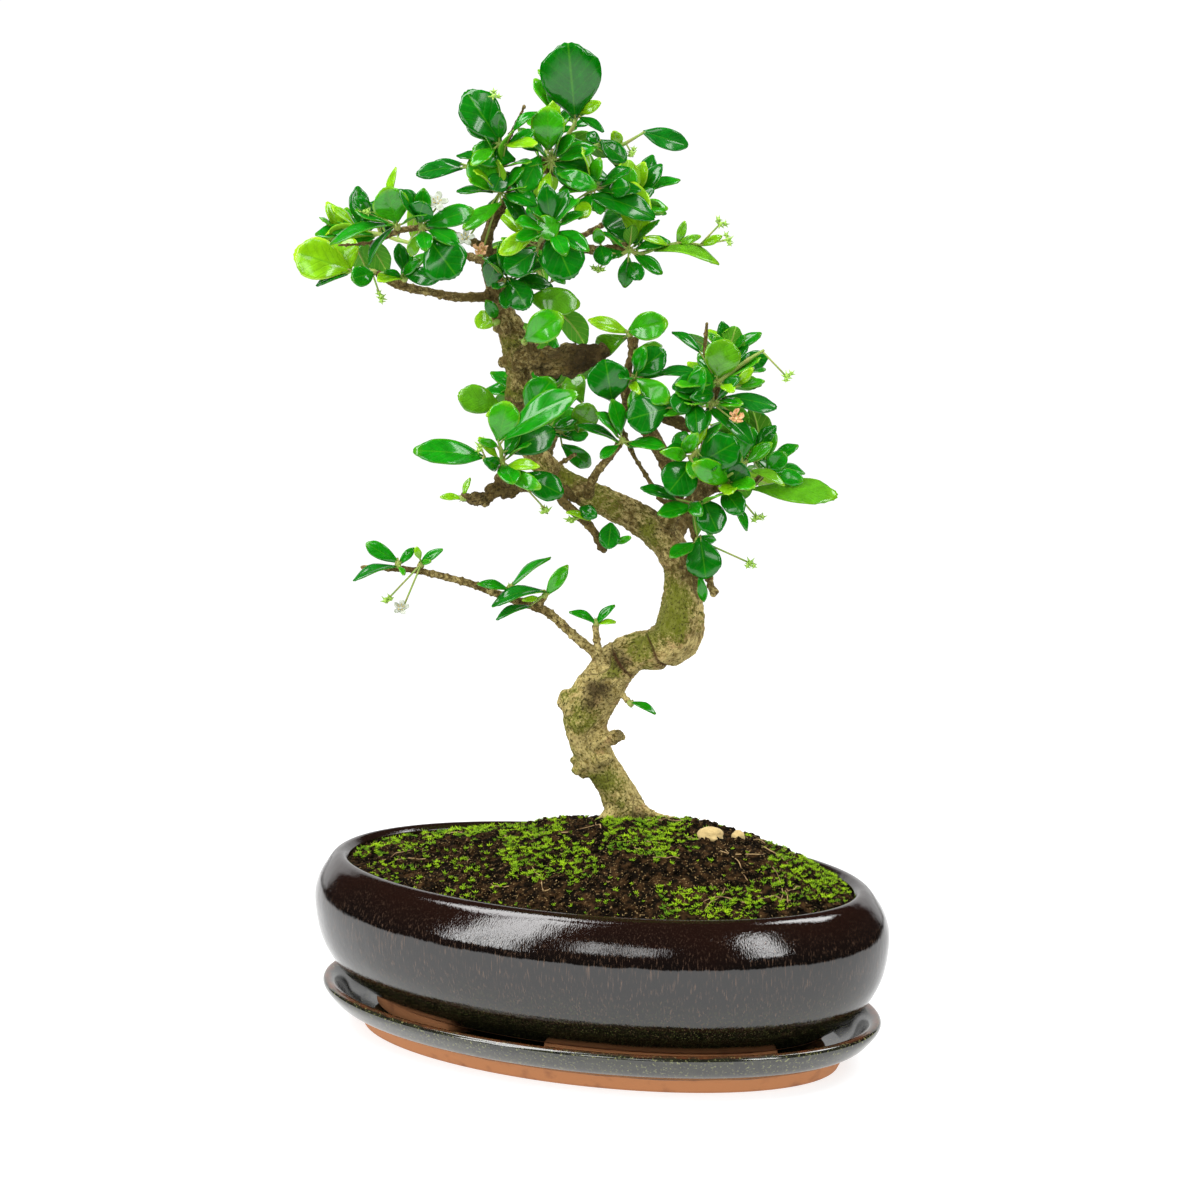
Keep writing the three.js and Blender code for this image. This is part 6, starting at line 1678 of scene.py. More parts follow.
@dataclass
class LivingWood:
    """The wood: trunk, root flares, branches, spurs and twigs, grown together and barked."""

    spans: int = 7
    voxel: float = 0.705
    # Deep ring creases round the trunk, cut into the wood and darkened in the bark with painted shade, as
    # (pixel x, pixel y, depth in mm, half width in mm)
    creases: tuple[tuple[float, ...], ...] = (
        (620, 663, 0.9, 0.9), (657, 647, 1.0, 0.9), (686, 600, 0.25, 0.7), (590, 716, 0.25, 0.8),
        (598, 764, 0.4, 0.8), (638, 518, 0.3, 0.8), (532, 446, 0.3, 0.8), (518, 376, 0.3, 0.8),
        (502, 306, 0.3, 0.7))
    # Corky, knobbly places as (pixel x, pixel y, behind in mm, spread in mm, number of small lumps)
    burls: tuple[tuple[float, ...], ...] = (
        (540, 350, 4, 8, 26), (556, 366, 2, 8, 24), (572, 356, 0, 8, 26), (592, 360, -3, 6, 18),
        (532, 372, 6, 7, 14), (526, 350, 8, 7, 12),
        (500, 486, -8, 5, 14), (482, 498, -10, 4, 12), (466, 498, -11, 3, 8), (570, 700, 12, 5, 10),
        (580, 768, 18, 4, 12), (604, 756, 14, 4, 8), (602, 545, -8, 3, 7), (712, 590, -1, 3, 6),
        (640, 400, 10, 5, 8), (700, 480, -12, 5, 10), (512, 330, 6, 6, 8), (688, 500, 0, 5, 7),
        (617, 736, 8, 1.6, 5), (606, 739, 12, 2, 4), (566, 708, 14, 3, 8), (574, 720, 14, 3, 5),
        (655, 640, 4, 4, 8), (692, 622, 2, 4, 8), (632, 656, 6, 5, 9))
    # Where algae are thick, as (pixel x, pixel y, radius in mm, amount)
    algae: tuple[tuple[float, ...], ...] = (
        (668, 620, 10, 0.5), (662, 590, 7, 0.4), (612, 672, 6, 0.3), (580, 716, 8, 0.4),
        (596, 790, 9, 0.4), (630, 812, 6, 0.45), (512, 400, 9, 0.4), (560, 478, 9, 0.35),
        (640, 640, 8, 0.4), (600, 506, 9, 0.35), (655, 540, 8, 0.3))
    # Where the bark is dark, as (pixel x, pixel y, radius in mm, amount)
    stains: tuple[tuple[float, ...], ...] = (
        (606, 690, 8, 0.4), (626, 668, 6, 0.3), (694, 563, 1.6, 0.7), (697, 575, 1.4, 0.6),
        (618, 812, 8, 0.35), (672, 650, 5, 0.2), (569, 700, 5, 0.3), (604, 758, 4, 0.3),
        (616, 736, 5, 0.4), (560, 356, 17, 0.5), (592, 358, 10, 0.5), (498, 490, 11, 0.35),
        (470, 498, 7, 0.35), (645, 395, 12, 0.3), (700, 480, 10, 0.3), (598, 540, 8, 0.35),
        (511, 335, 9, 0.3), (600, 700, 9, 0.25), (596, 736, 5, 0.2), (618, 640, 9, 0.3),
        (655, 545, 8, 0.25))

    def skin(self, limb: str) -> Callable[[int, float], float]:
        """The uneven skin of a limb, gently fluted along it."""
        depth = 0.055 if limb == "trunk" else 0.045
        turn = 0.9 / self.spans
        return lambda ring, angle: 1 + depth * (
            math.sin(3 * angle + turn * ring) + 0.6 * math.sin(5 * angle - 1.9 * turn * ring))

    def rough_shape(self) -> tuple[bmesh.types.BMesh, list[tuple[str, list[Vector]]]]:
        """Adds up the tubes of all limbs and spurs and the lumps, and gives their routes."""
        bm = bmesh.new()
        bm.loops.layers.uv.verify()
        runs = []
        for limb, knots in SKELETON.limbs.items():
            route = smooth_route(knots, self.spans)
            tube(bm, route, 22 if limb == "trunk" else 14, skin=self.skin(limb))
            runs.append((limb, route))
        for number, (name, spray) in enumerate(SPRAYS.items()):
            bare, root, end = SKELETON.spur(spray)
            if bare:
                continue
            middle = root.lerp(end, 0.5)
            route = smooth_route([root, middle, end], 3)
            tube(bm, route, 10)
            runs.append((name, route))
            for ring in range(2):
                share = 0.45 + 0.4 * ring + 0.1 * draw(number, ring)
                where = root.lerp(end, share)
                size = where.w * (1.25 + 0.25 * draw(number, 3 + ring))
                lump(bm, where.xyz, Vector((size, size, 0.6 * size)), end.xyz - root.xyz)
        for number, (px, py, behind, spread, count) in enumerate(self.burls):
            for index in range(int(count)):
                seed = 50 * number + index
                off = Vector((draw(seed, 1), draw(seed, 2), draw(seed, 3))) - Vector((0.5, 0.5, 0.5))
                place = VIEW.spot(px, py, behind) + off * (2 * spread)
                axis = min((nearest_on(route, place) for _, route in runs),
                           key=lambda hit: hit[1] - hit[0].w)[0]
                out = (place - axis.xyz).normalized()
                size = (0.6 + 0.1 * spread) * (0.8 + 1.3 * draw(seed, 4))
                lump(bm, axis.xyz + out * (axis.w + 0.25 * size), Vector((size, size, 0.8 * size)), out)
        for number, reading in enumerate(KNOBS):
            middle = knot(reading)
            size = Vector((0.98, 0.9, 0.86)) * middle.w
            lump(bm, middle.xyz, size, Vector((draw(number, 1) - 0.5, draw(number, 2) - 0.5, 0.4)), 0, 3)
        return bm, runs

    def axis_tree(self, runs: list[tuple[str, list[Vector]]]) -> tuple[kdtree.KDTree, list[tuple]]:
        """A search tree of points along all axes, and what is known at each of them."""
        samples = []
        for number, (limb, route) in enumerate(runs):
            along = 0.0
            previous = route[0].xyz
            for point, (tangent, normal, binormal) in zip(route, frames_along(route)):
                along += (point.xyz - previous).length
                previous = point.xyz
                samples.append((point, tangent, normal, binormal, along, number))
        tree = kdtree.KDTree(len(samples))
        for index, sample in enumerate(samples):
            tree.insert(sample[0].xyz, index)
        tree.balance()
        return tree, samples

    def build(self, bark: bpy.types.Material) -> bpy.types.Object:
        """Grows the limbs together, roughens the bark and marks where it is creased, green or pale."""
        rough, runs = self.rough_shape()
        bm = with_modifiers(rough, [("REMESH", {"mode": "VOXEL", "voxel_size": self.voxel})])
        bmesh.ops.smooth_vert(bm, verts=bm.verts, factor=0.5, use_axis_x=True, use_axis_y=True,
                              use_axis_z=True)
        bm.normal_update()
        tree, samples = self.axis_tree(runs)
        rings = [(samples[tree.find(VIEW.spot(px, py, 8))[1]], deep, wide)
                 for px, py, deep, wide in self.creases]
        marks = {kind: [(self.seen_bark(px, py, samples), reach, much) for px, py, reach, much in spots]
                 for kind, spots in (("algae", self.algae), ("stains", self.stains))}
        grain = bm.verts.layers.float_vector.new("grain")
        look = bm.verts.layers.float_color.new("bark")
        for vert in bm.verts:
            place = vert.co.copy()
            near = min(tree.find_n(place, 6), key=lambda hit: hit[2] - 0.8 * samples[hit[1]][0].w)
            axis, tangent, normal, binormal, along, number = samples[near[1]]
            out = place - axis.xyz
            along += out.dot(tangent)
            vert[grain] = Vector((0.8 * along + 37 * number, out.dot(normal), out.dot(binormal)))
            crease = 0.0
            push = 0.5 * noise.noise(place * 0.22) + 0.4 * noise.noise(vert[grain] * 0.6)
            push *= min(1.0, axis.w / 4)
            push += 0.26 * noise.noise(place * 1.1) + 0.15 * noise.noise(place * 2.1)
            wander = 1.5 * noise.noise(out * 0.14 + axis.xyz * 0.03)
            for ring, deep, wide in rings:
                if ring[5] == number:
                    off = (along - ring[4] + wander) / wide
                    cut = math.exp(-off * off)
                    crease = max(crease, cut * deep)
                    push += 0.45 * deep * math.exp(-(abs(off) - 2.0) ** 2) - deep * cut
            if axis.w < 3.2:
                phase = 0.95 * along + 2.4 * number + wander
                push += 0.42 * max(0.0, math.sin(phase)) ** 6
                # A thin crease beside each ring of a thin limb, which the bark darkens as painted shade.
                crease = max(crease, 0.45 * max(0.0, math.sin(phase + 0.5)) ** 14)
            vert.co = place + vert.normal * push
            vert[look] = self.look_at(place, vert.normal, axis.w, crease, marks)
        for face in bm.faces:
            face.smooth = True
        return finish_piece("living_wood", bm, [bark], ("wood",))

    def seen_bark(self, px: float, py: float, samples: list[tuple]) -> Vector:
        """The point of the bark that is seen at a pixel, on the limb nearest to it."""
        axis = min((sample[0] for sample in samples), key=lambda point: self.off_sight(point, px, py))
        return axis.xyz + VIEW.to_eye * 0.9 * axis.w

    def off_sight(self, point: Vector, px: float, py: float) -> float:
        """How far a point of an axis is from a pixel, in pixels, less its radius there."""
        seen = VIEW.pixel_of(point.xyz)
        return math.hypot(seen[0] - px, seen[1] - py) - point.w / VIEW.mm_per_pixel

    def look_at(self, place: Vector, normal: Vector, radius: float, crease: float,
                marks: dict[str, list[tuple]]) -> Colour:
        """How stained, green, pale and creased the bark is at a place.

        Args:
            place: the place in mm.
            normal: the bark's normal there.
            radius: the limb's radius there.
            crease: how deep a crease is there, in mm.
            marks: algae and stains, each as (place, reach, amount).

        Returns:
            Stain, algae, paleness and crease depth, from 0 to 1; the bark darkens creases as painted shade.
        """
        clouds = noise.noise(place * 0.12)
        green = 0.22 - 0.24 * normal.dot(VIEW.sideways) + 0.45 * clouds
        for middle, reach, much in marks["algae"]:
            green += much * fade((place - middle).length, 1.5 * reach, 0.3 * reach)
        dark = 0.3 * fade(place.z - MOUND.height(place.x, place.y), 7, 0)
        for middle, reach, much in marks["stains"]:
            dark += much * fade((place - middle).length, 1.5 * reach, 0.2 * reach)
        dark += 0.25 * noise.noise(place * 0.16)
        thick = fade(radius, 2.5, 6)
        light = 0.92 - 0.62 * fade(place.z, 140, 215) - 0.26 * (1 - thick) + 0.3 * noise.noise(place * 0.07)
        green *= 0.3 + 0.7 * thick
        return min(1.0, max(0.0, dark)), min(1.0, max(0.0, green)), light, min(1.0, 1.1 * crease)


class LeafKind(Enum):
    """Blade outlines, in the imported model's order.

    Each holds (share of length, share of half width) points, how far the tip's corners lag behind its
    middle, and how deep its teeth are, as shares of the length.
    """

    ROUND = (((0, 0.1), (0.1, 0.36), (0.25, 0.74), (0.42, 0.96), (0.6, 1), (0.82, 0.9), (1, 0.56)),
             0.17, 0.004)
    TOOTHED = (((0, 0.08), (0.12, 0.3), (0.3, 0.7), (0.5, 0.96), (0.68, 1), (0.86, 0.9), (1, 0.58)),
               0.17, 0.014)
    SMALL = (((0, 0.12), (0.15, 0.46), (0.35, 0.88), (0.55, 1), (0.8, 0.84), (1, 0.36)), 0.12, 0.0)
    NARROW = (((0, 0.12), (0.2, 0.58), (0.5, 1), (0.8, 0.68), (1, 0.1)), 0.05, 0.0)

    def half_width(self, share: float) -> float:
        """The share of the half width at a share of the length."""
        points = smooth_route([Vector(point) for point in self.value[0]], 5)
        return float(numpy.interp(share, [p.x for p in points], [p.y for p in points]))


@dataclass
class Leaf:
    """One leaf: its root on the stem, the start of its blade, its tip and its habit."""

    root: Vector
    station: Vector
    base: Vector
    tip: Vector
    width: float
    roll: float
    facing: Vector
    kind: LeafKind
    arch: float
    fold: float
    twist: float
    tone: Tone
    wave: float = 0.03
    thickness: float = 0.42
    fullness: float = 1.04
    columns: int = 10
    rows: int = 12

    @classmethod
    def springing(cls, root: Vector, skin: float, base: Vector, tip: Vector, **habit: object) -> "Leaf":
        """A leaf that springs from a stem.

        Args:
            root: the point on the stem's axis.
            skin: the stem's radius.
            base: where the blade would start.
            tip: the blade's tip.
            habit: the leaf's other values.

        Returns:
            The leaf, which starts at the stem's skin where the base is too near to it.
        """
        reach = skin + 0.3
        early = base.lerp(tip, 0.3)
        crowded = (root - early).length < reach + 0.3
        way = ((tip if crowded else base) - root).normalized()
        station = root + way * reach
        return cls(root, station, station if crowded else base, tip, **habit)

    def frame(self) -> tuple[Vector, float, Vector, Vector]:
        """The blade's direction, length, normal and sideways axis."""
        along = self.tip - self.base
        length = along.length
        along.normalize()
        across = along.cross(self.facing)
        if across.length < 0.05:
            across = along.cross(VIEW.sight_up)
        across.normalize()
        upper = across.cross(along)
        turns = [upper * math.cos(self.roll) - across * (sign * math.sin(self.roll)) for sign in (1, -1)]
        normal = turns[0] if turns[0].z >= turns[1].z else turns[1]
        return along, length, normal, along.cross(normal)

    def build(self, bm: bmesh.types.BMesh, tint: object) -> None:
        """Adds the blade, about 0.4 mm thick, and the stalk that runs on under it as its midrib.

        Args:
            bm: the mesh to add to, with a UV layer.
            tint: its colour layer.
        """
        along, length, normal, across = self.frame()
        small = self.kind in (LeafKind.SMALL, LeafKind.NARROW)
        columns, rows = (6, 9) if small else (self.columns, self.rows)
        widths = [self.kind.half_width(row / rows) for row in range(rows + 1)]
        _, lag, teeth = self.kind.value
        made = bmesh.ops.create_grid(bm, x_segments=columns, y_segments=rows, size=0.5,
                                     calc_uvs=True)["verts"]
        for vert in made:
            column = round((vert.co.x + 0.5) * columns)
            row = round((vert.co.y + 0.5) * rows)
            s = 2 * column / columns - 1
            v = row / rows
            notch = teeth * (column % 2) * (row == rows)
            t = v - lag * abs(s) ** 3 * v ** 5 - notch
            half = abs(s) * widths[row] * self.fullness * self.width / 2
            side = math.copysign(1, s)
            ripple = self.wave * self.width * math.sin(9 * t + 3 * side + 6 * self.twist) * abs(s) ** 1.5
            cup = 4 * t * (1 - t) * self.arch * length + self.fold * half - 0.35 * abs(s) ** 3
            twist = self.twist * (t - 0.5)
            sideways = across * math.cos(twist) + normal * math.sin(twist)
            lift = cup + ripple - self.thickness / 2
            vert.co = self.base + along * (length * t) + normal * lift + sideways * (side * half)
        blade, upper = thicken(bm, made, self.thickness)
        for vert in blade:
            vert[tint] = self.tone.tint
        dress_faces(blade, 1)
        for face in upper:
            face.material_index = 0
        stalk = [Vector((*self.root, 0.5)), Vector((*self.station, 0.46)), Vector((*self.base, 0.42))]
        for share, radius in ((0.22, 0.4), (0.45, 0.3), (0.68, 0.2), (0.88, 0.1)):
            arch = 4 * share * (1 - share) * self.arch * length - 0.3
            stalk.append(Vector((*(self.base + along * (length * share) + normal * arch), radius)))
        if (self.base - self.station).length < 0.6:
            stalk.pop(2)
        tube(bm, stalk, 5, 2)


class LeafPlacer:
    """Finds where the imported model's leaves stand, so that the fine leaves stand in their places."""

    bend_steps: tuple[int, ...] = (0, 3, -3, 6, -6, 9, -9, 12, -12, 15, -15, 18, -18, 22, -22, 26, -26)
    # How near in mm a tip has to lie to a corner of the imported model
    seen_tolerance: float = 0.6
    far_tolerance: float = 0.3
    far_tries: int = 26
    far_length: float = 22
    far_play: float = 7
    far_shape: float = 0.56
    far_stalk: float = 3

    def corners(self, node: str) -> kdtree.KDTree:
        """A search tree of a CAD node's corners, in mm."""
        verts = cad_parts[node].data.vertices
        tree = kdtree.KDTree(len(verts))
        for vert in verts:
            tree.insert(vert.co / MM, vert.index)
        tree.balance()
        return tree

    def seen(self, node: str, spray: Spray, stems: list[list[Vector]], first: int) -> list[Leaf]:
        """The leaves of a spray that the photograph shows.

        Args:
            node: the CAD node.
            spray: its readings.
            stems: its stems, the crown first.
            first: the number of its first leaf.

        Returns:
            The leaves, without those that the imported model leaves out.
        """
        corners = self.corners(node)
        leaves = []
        for index, (reading, tone) in enumerate(zip(spray.leaves, spray.tones)):
            number = first + index
            base_x, base_y, tip_x, tip_y, width, *towards = reading
            depth = stems[0][0].xyz.dot(VIEW.away)
            root, skin = spring_point(stems, VIEW.spot(base_x, base_y, depth))
            base_behind = root.dot(VIEW.away)
            seen_length = math.hypot(tip_x - base_x, tip_y - base_y)
            full_width = max(width, 0.36 * seen_length)
            hidden = math.sqrt(max(0.0, (1.45 * width) ** 2 - seen_length ** 2))
            near = towards[0] if towards else (
                hidden * VIEW.mm_per_pixel + (draw(number, 3) - 0.4) * 4)
            tips = [VIEW.spot(tip_x, tip_y, base_behind - near - step) for step in self.bend_steps]
            tip = min(tips, key=lambda place: corners.find(place)[2])
            if corners.find(tip)[2] > self.seen_tolerance:
                continue
            small = width <= 14
            if small:
                kind = LeafKind.NARROW if width <= 10 else LeafKind.SMALL
            else:
                kind = LeafKind.ROUND if draw(number, 4) < 0.4 else LeafKind.TOOTHED
            leaves.append(Leaf.springing(
                root, skin, VIEW.spot(base_x, base_y, base_behind - 0.15 * near), tip,
                width=full_width * VIEW.mm_per_pixel, roll=math.acos(min(1.0, width / full_width)),
                facing=VIEW.to_eye, kind=kind, arch=0.05 + 0.08 * draw(number, 5),
                fold=0.3 if small else -0.12 + 0.4 * draw(number, 6), twist=0.5 * (draw(number, 7) - 0.5),
                tone=Tone[tone]))
        return leaves

    def far(self, node: str, spray: FarSpray, route: list[Vector], first: int) -> list[Leaf]:
        """The leaves of a spray on the far side, which fan out from its route.

        Args:
            node: the CAD node.
            spray: its readings.
            route: its stem.
            first: the number of its first leaf.

        Returns:
            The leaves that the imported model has.
        """
        corners = self.corners(node)
        leaves = []
        for index in range(spray.leaves):
            at = (index + 0.5) / spray.leaves * (len(route) - 1)
            root = route[int(at)].lerp(route[int(at) + 1], at - int(at)).xyz
            for attempt in range(self.far_tries):
                number = first + index + 0.01 * attempt
                turn = 2 * math.pi * (draw(number, 1) + 0.38 * index)
                way = VIEW.sideways * math.cos(turn) + VIEW.away * (1.3 * draw(number, 2) - 0.25)
                way = (way + UP * (math.sin(turn) + 0.15)).normalized()
                length = self.far_length + self.far_play * (draw(number, 3) - 0.5)
                base = root + way * self.far_stalk
                tip = base + way * length
                if corners.find(tip)[2] > self.far_tolerance:
                    continue
                facing = UP * 0.9 + VIEW.away * 0.8 + VIEW.sideways * (draw(number, 5) - 0.5)
                leaves.append(Leaf.springing(
                    root, SKELETON.stem_radius, base, tip, width=self.far_shape * length, roll=0.0,
                    facing=facing, kind=LeafKind.ROUND, arch=0.05 + 0.08 * draw(number, 6),
                    fold=-0.12 + 0.4 * draw(number, 7), twist=0.5 * (draw(number, 8) - 0.5),
                    tone=Tone["DMBDMGMY"[int(8 * draw(number, 9))]]))
                break
        return leaves


def spring_point(stems: list[list[Vector]], place: Vector) -> tuple[Vector, float]:
    """The point on the stems' axes from which a leaf or stalk at a place springs, and the skin there."""
    best = (stems[0][0].xyz, 1.0, math.inf)
    for route in stems:
        for start, end in zip(route, route[1:]):
            radius = (start.w + end.w) / 2
            reach = (end.xyz - start.xyz).length
            share = geometry.intersect_point_line(place, start.xyz, end.xyz)[1]
            share = min(max(0.0, share), 1 - min(0.5, radius / reach), 1.0)
            root = start.xyz.lerp(end.xyz, share)
            gap = (root - place).length - radius
            if gap < best[2]:
                best = (root, radius, gap)
    return best[0], best[1]


def flower_way() -> Vector:
    """The way that the flowers look."""
    return (VIEW.to_eye * 0.9 + UP * 0.45).normalized()


class Foliage:
    """All leafy sprays: each is one piece of stems, scales, leaves, buds and flower stalks."""

    placer: LeafPlacer = LeafPlacer()
    # Sprays of the crown whose spurs carry small young leaves as well, and how many
    crowded: dict[str, int] = {
        "left_spur_shoot": 3, "left_front_shoot": 4, "left_middle_shoot": 3, "crown_left_shoot": 4,
        "crown_back_left_shoot": 6, "crown_left_front_shoot": 9, "crown_middle_shoot": 7,
        "crown_tip_shoot": 3, "crown_right_shoot": 5, "crown_low_right_shoot": 8, "right_top_shoot": 7,
        "crown_front_shoot": 9, "centre_spur_shoot": 7, "rosette_shoot": 4, "middle_behind_shoot": 4,
        "slant_twig_shoot": 4, "rising_side_shoot": 4, "right_node_shoot": 5, "right_node_low_shoot": 5,
        "right_front_shoot": 5, "right_heart_shoot": 5, "right_glossy_shoot": 4, "right_low_shoot": 3,
        "hanging_shoot": 2}
    # Where along a far spray's stem small leaves stand, as shares of its length, and how many
    far_crowds: tuple[tuple[float, int], ...] = ((0.45, 5), (0.75, 6), (1.0, 7))
    leaflet_length: float = 13
    leaflet_shape: float = 0.52
    stalk_radius: float = 0.42
    throat: float = 1.4
    cup_length: float = 1.8
    seat: float = 0.3

    def __init__(self, finishes: list[bpy.types.Material]) -> None:
        """Keeps the finishes: upper side, underside, green stem and bud."""
        self.finishes = finishes

    def stem(self, bm: bmesh.types.BMesh, knots: list[Vector]) -> None:
        """Adds a green stem with slightly thickened nodes, near the straight runs of its knots."""
        fine = smooth_route(knots, 4)
        straight = [knots[i // 4].lerp(knots[min(len(knots) - 1, i // 4 + 1)], (i % 4) / 4)
                    for i in range(len(fine))]
        route = [one.lerp(other, 0.6) for one, other in zip(fine, straight)]
        for i, point in enumerate(route):
            point.w *= 0.78 + 0.14 * (i % 4 == 0)
        tube(bm, route, 8, 2)

    def crown(self, bm: bmesh.types.BMesh, low: Vector, high: Vector, number: int) -> None:
        """Adds the crown of a spray: a swelling with a few small bracts."""
        way = (high.xyz - low.xyz).normalized()
        middle = (low.xyz + high.xyz) / 2
        lump(bm, middle - way * 0.7, Vector((1.45, 1.45, 1.9)), way, 2)
        for ray in range(5):
            around = 2 * math.pi * (ray + draw(number, ray)) / 5
            side = spoke(way, around)
            foot = middle + side * 0.7
            thorn(bm, foot, foot + side * 1.0 + way * (1.2 + 0.8 * draw(number, 7 + ray)), 0.45, 5, 2)

    def leaflets(self, high: Vector, way: Vector, count: int, number: int) -> list[Leaf]:
        """The small young leaves that crowd round the crown of a spray.

        Args:
            high: the crown's upper end.
            way: the way that it points.
            count: how many there are.
            number: the spray's number, for the draws.

        Returns:
            The leaves.
        """
        leaves = []
        for index in range(count):
            seed = 400 + 11 * number + index
            around = spoke(way, 2 * math.pi * (index + 0.7 * draw(seed, 1)) / count)
            out = (around + way * (0.1 + 0.7 * draw(seed, 2)) + UP * 0.35).normalized()
            length = self.leaflet_length * (0.75 + 0.6 * draw(seed, 3))
            base = high.xyz + out * 3
            leaves.append(Leaf.springing(
                high.xyz, 1.2, base, base + out * length, width=self.leaflet_shape * length, roll=0.0,
                facing=UP + VIEW.to_eye * (0.3 + draw(seed, 4)), kind=LeafKind.SMALL,
                arch=0.08 * draw(seed, 5), fold=0.25, twist=0.6 * (draw(seed, 6) - 0.5),
                tone=Tone["BMDBYMDM"[int(8 * draw(seed, 7))]]))
        return leaves

    def bud_cluster(self, bm: bmesh.types.BMesh, reading: tuple[float, ...], stems: list[list[Vector]],
                    number: int) -> None:
        """Adds a stalk with a green flower bud held by five pointed sepals."""
        px, py, *towards = reading
        depth = stems[0][0].xyz.dot(VIEW.away)
        root, _ = spring_point(stems, VIEW.spot(px, py, depth))
        heart = VIEW.spot(px, py, root.dot(VIEW.away) - (towards[0] if towards else 2))
        tube(bm, [Vector((*root, self.stalk_radius)), Vector((*heart, self.stalk_radius))], 5, 2)
        way = (flower_way() + Vector((draw(number, 1) - 0.5, 0, draw(number, 2) - 0.3))).normalized()
        for part in range(3):
            size = 1.0 - 0.28 * (part > 0)
            around = spoke(way, 7 * draw(number, 20 + part))
            middle = heart + (around * 2.1 + way * draw(number, 30 + part)) * (part > 0)
            if part:
                thorn(bm, heart - way * 1.5, middle, 0.3, 4, 2)
            lump(bm, middle + way * 0.5, Vector((0.9, 0.9, 1.2)) * size, way, 3)
            for ray in range(5):
                side = around.copy()
                side.rotate(Matrix.Rotation(2 * math.pi * (ray + 0.25 * draw(number, ray)) / 5, 3, way))
                reach = (2.5 + 0.7 * draw(number, 5 + ray)) * size
                thorn(bm, middle + side * 0.3, middle + side * reach + way * 1.2 * size, 0.7 * size, 5, 3)

    def flower_stalk(self, bm: bmesh.types.BMesh, flower: Flower, stems: list[list[Vector]]) -> None:
        """Adds the green cup and stalk under a corolla."""
        way = flower_way()
        foot = VIEW.spot(*flower.place) - way * (self.throat + self.seat)
        root, _ = spring_point(stems, foot)
        cup = foot - way * self.cup_length
        tube(bm, [Vector((*root, self.stalk_radius)), Vector((*cup, self.stalk_radius))], 5, 2)
        tube(bm, [Vector((*cup, 0.5)), Vector((*(cup + way * 0.9), 1.05)), Vector((*foot, 1.2))], 8, 2)
        for ray in range(5):
            side = spoke(way, 2 * math.pi * ray / 5)
            thorn(bm, foot - way * 0.5 + side * 0.8, foot + side * 2.2 + way * 0.5, 0.5, 5, 3)

    def spray(self, node: str, crown: bool, stems: list[list[Vector]], leaves: list[Leaf],
              number: int) -> None:
        """Builds a spray as one piece.

        Args:
            node: the CAD node that it stands for.
            crown: whether its first stem is its crown.
            stems: its stems.
            leaves: its leaves.
            number: its number, for the draws.
        """
        bm = bmesh.new()
        bm.loops.layers.uv.verify()
        tint = bm.verts.layers.float_color.new("tint")
        for index, knots in enumerate(stems):
            if crown and index == 0:
                self.crown(bm, *knots, number)
            else:
                self.stem(bm, knots)
        for leaf in leaves:
            leaf.build(bm, tint)
        for index, reading in enumerate(SPRAYS[node].buds if crown else ()):
            self.bud_cluster(bm, reading, stems, 10 * number + index)
        for flower in FLOWERS.values():
            if flower.spray == node:
                self.flower_stalk(bm, flower, stems)
        finish_piece(node.replace("_shoot", "") + "_foliage", bm, self.finishes, (node,))

    def build(self) -> None:
        """Builds every spray, seen and far."""
        number = 1
        kept = 0
        for order, (node, spray) in enumerate(SPRAYS.items()):
            stems = SKELETON.stems(spray)
            leaves = self.placer.seen(node, spray, stems, number)
            low, high = stems[0]
            small = self.leaflets(high, (high.xyz - low.xyz).normalized(), self.crowded.get(node, 0), order)
            self.spray(node, True, stems, leaves + small, order)
            number += len(spray.leaves)
            kept += len(leaves)
        LOG.info("seen leaves: %d of %d readings", kept, number - 1)
        for order, (node, spray) in enumerate(FAR_SPRAYS.items()):
            route = SKELETON.far_stem(spray)
            leaves = self.placer.far(node, spray, route, number)
            small = []
            for station, count in self.far_crowds:
                place = route[round(station * (len(route) - 1))]
                way = (place.xyz - route[0].xyz).normalized()
                small += self.leaflets(place, way, count, 100 + 10 * order + count)
            self.spray(node, False, [route], leaves + small, 60 + order)
            number += spray.leaves
            LOG.info("%s: %d far leaves of %d", node, len(leaves), spray.leaves)


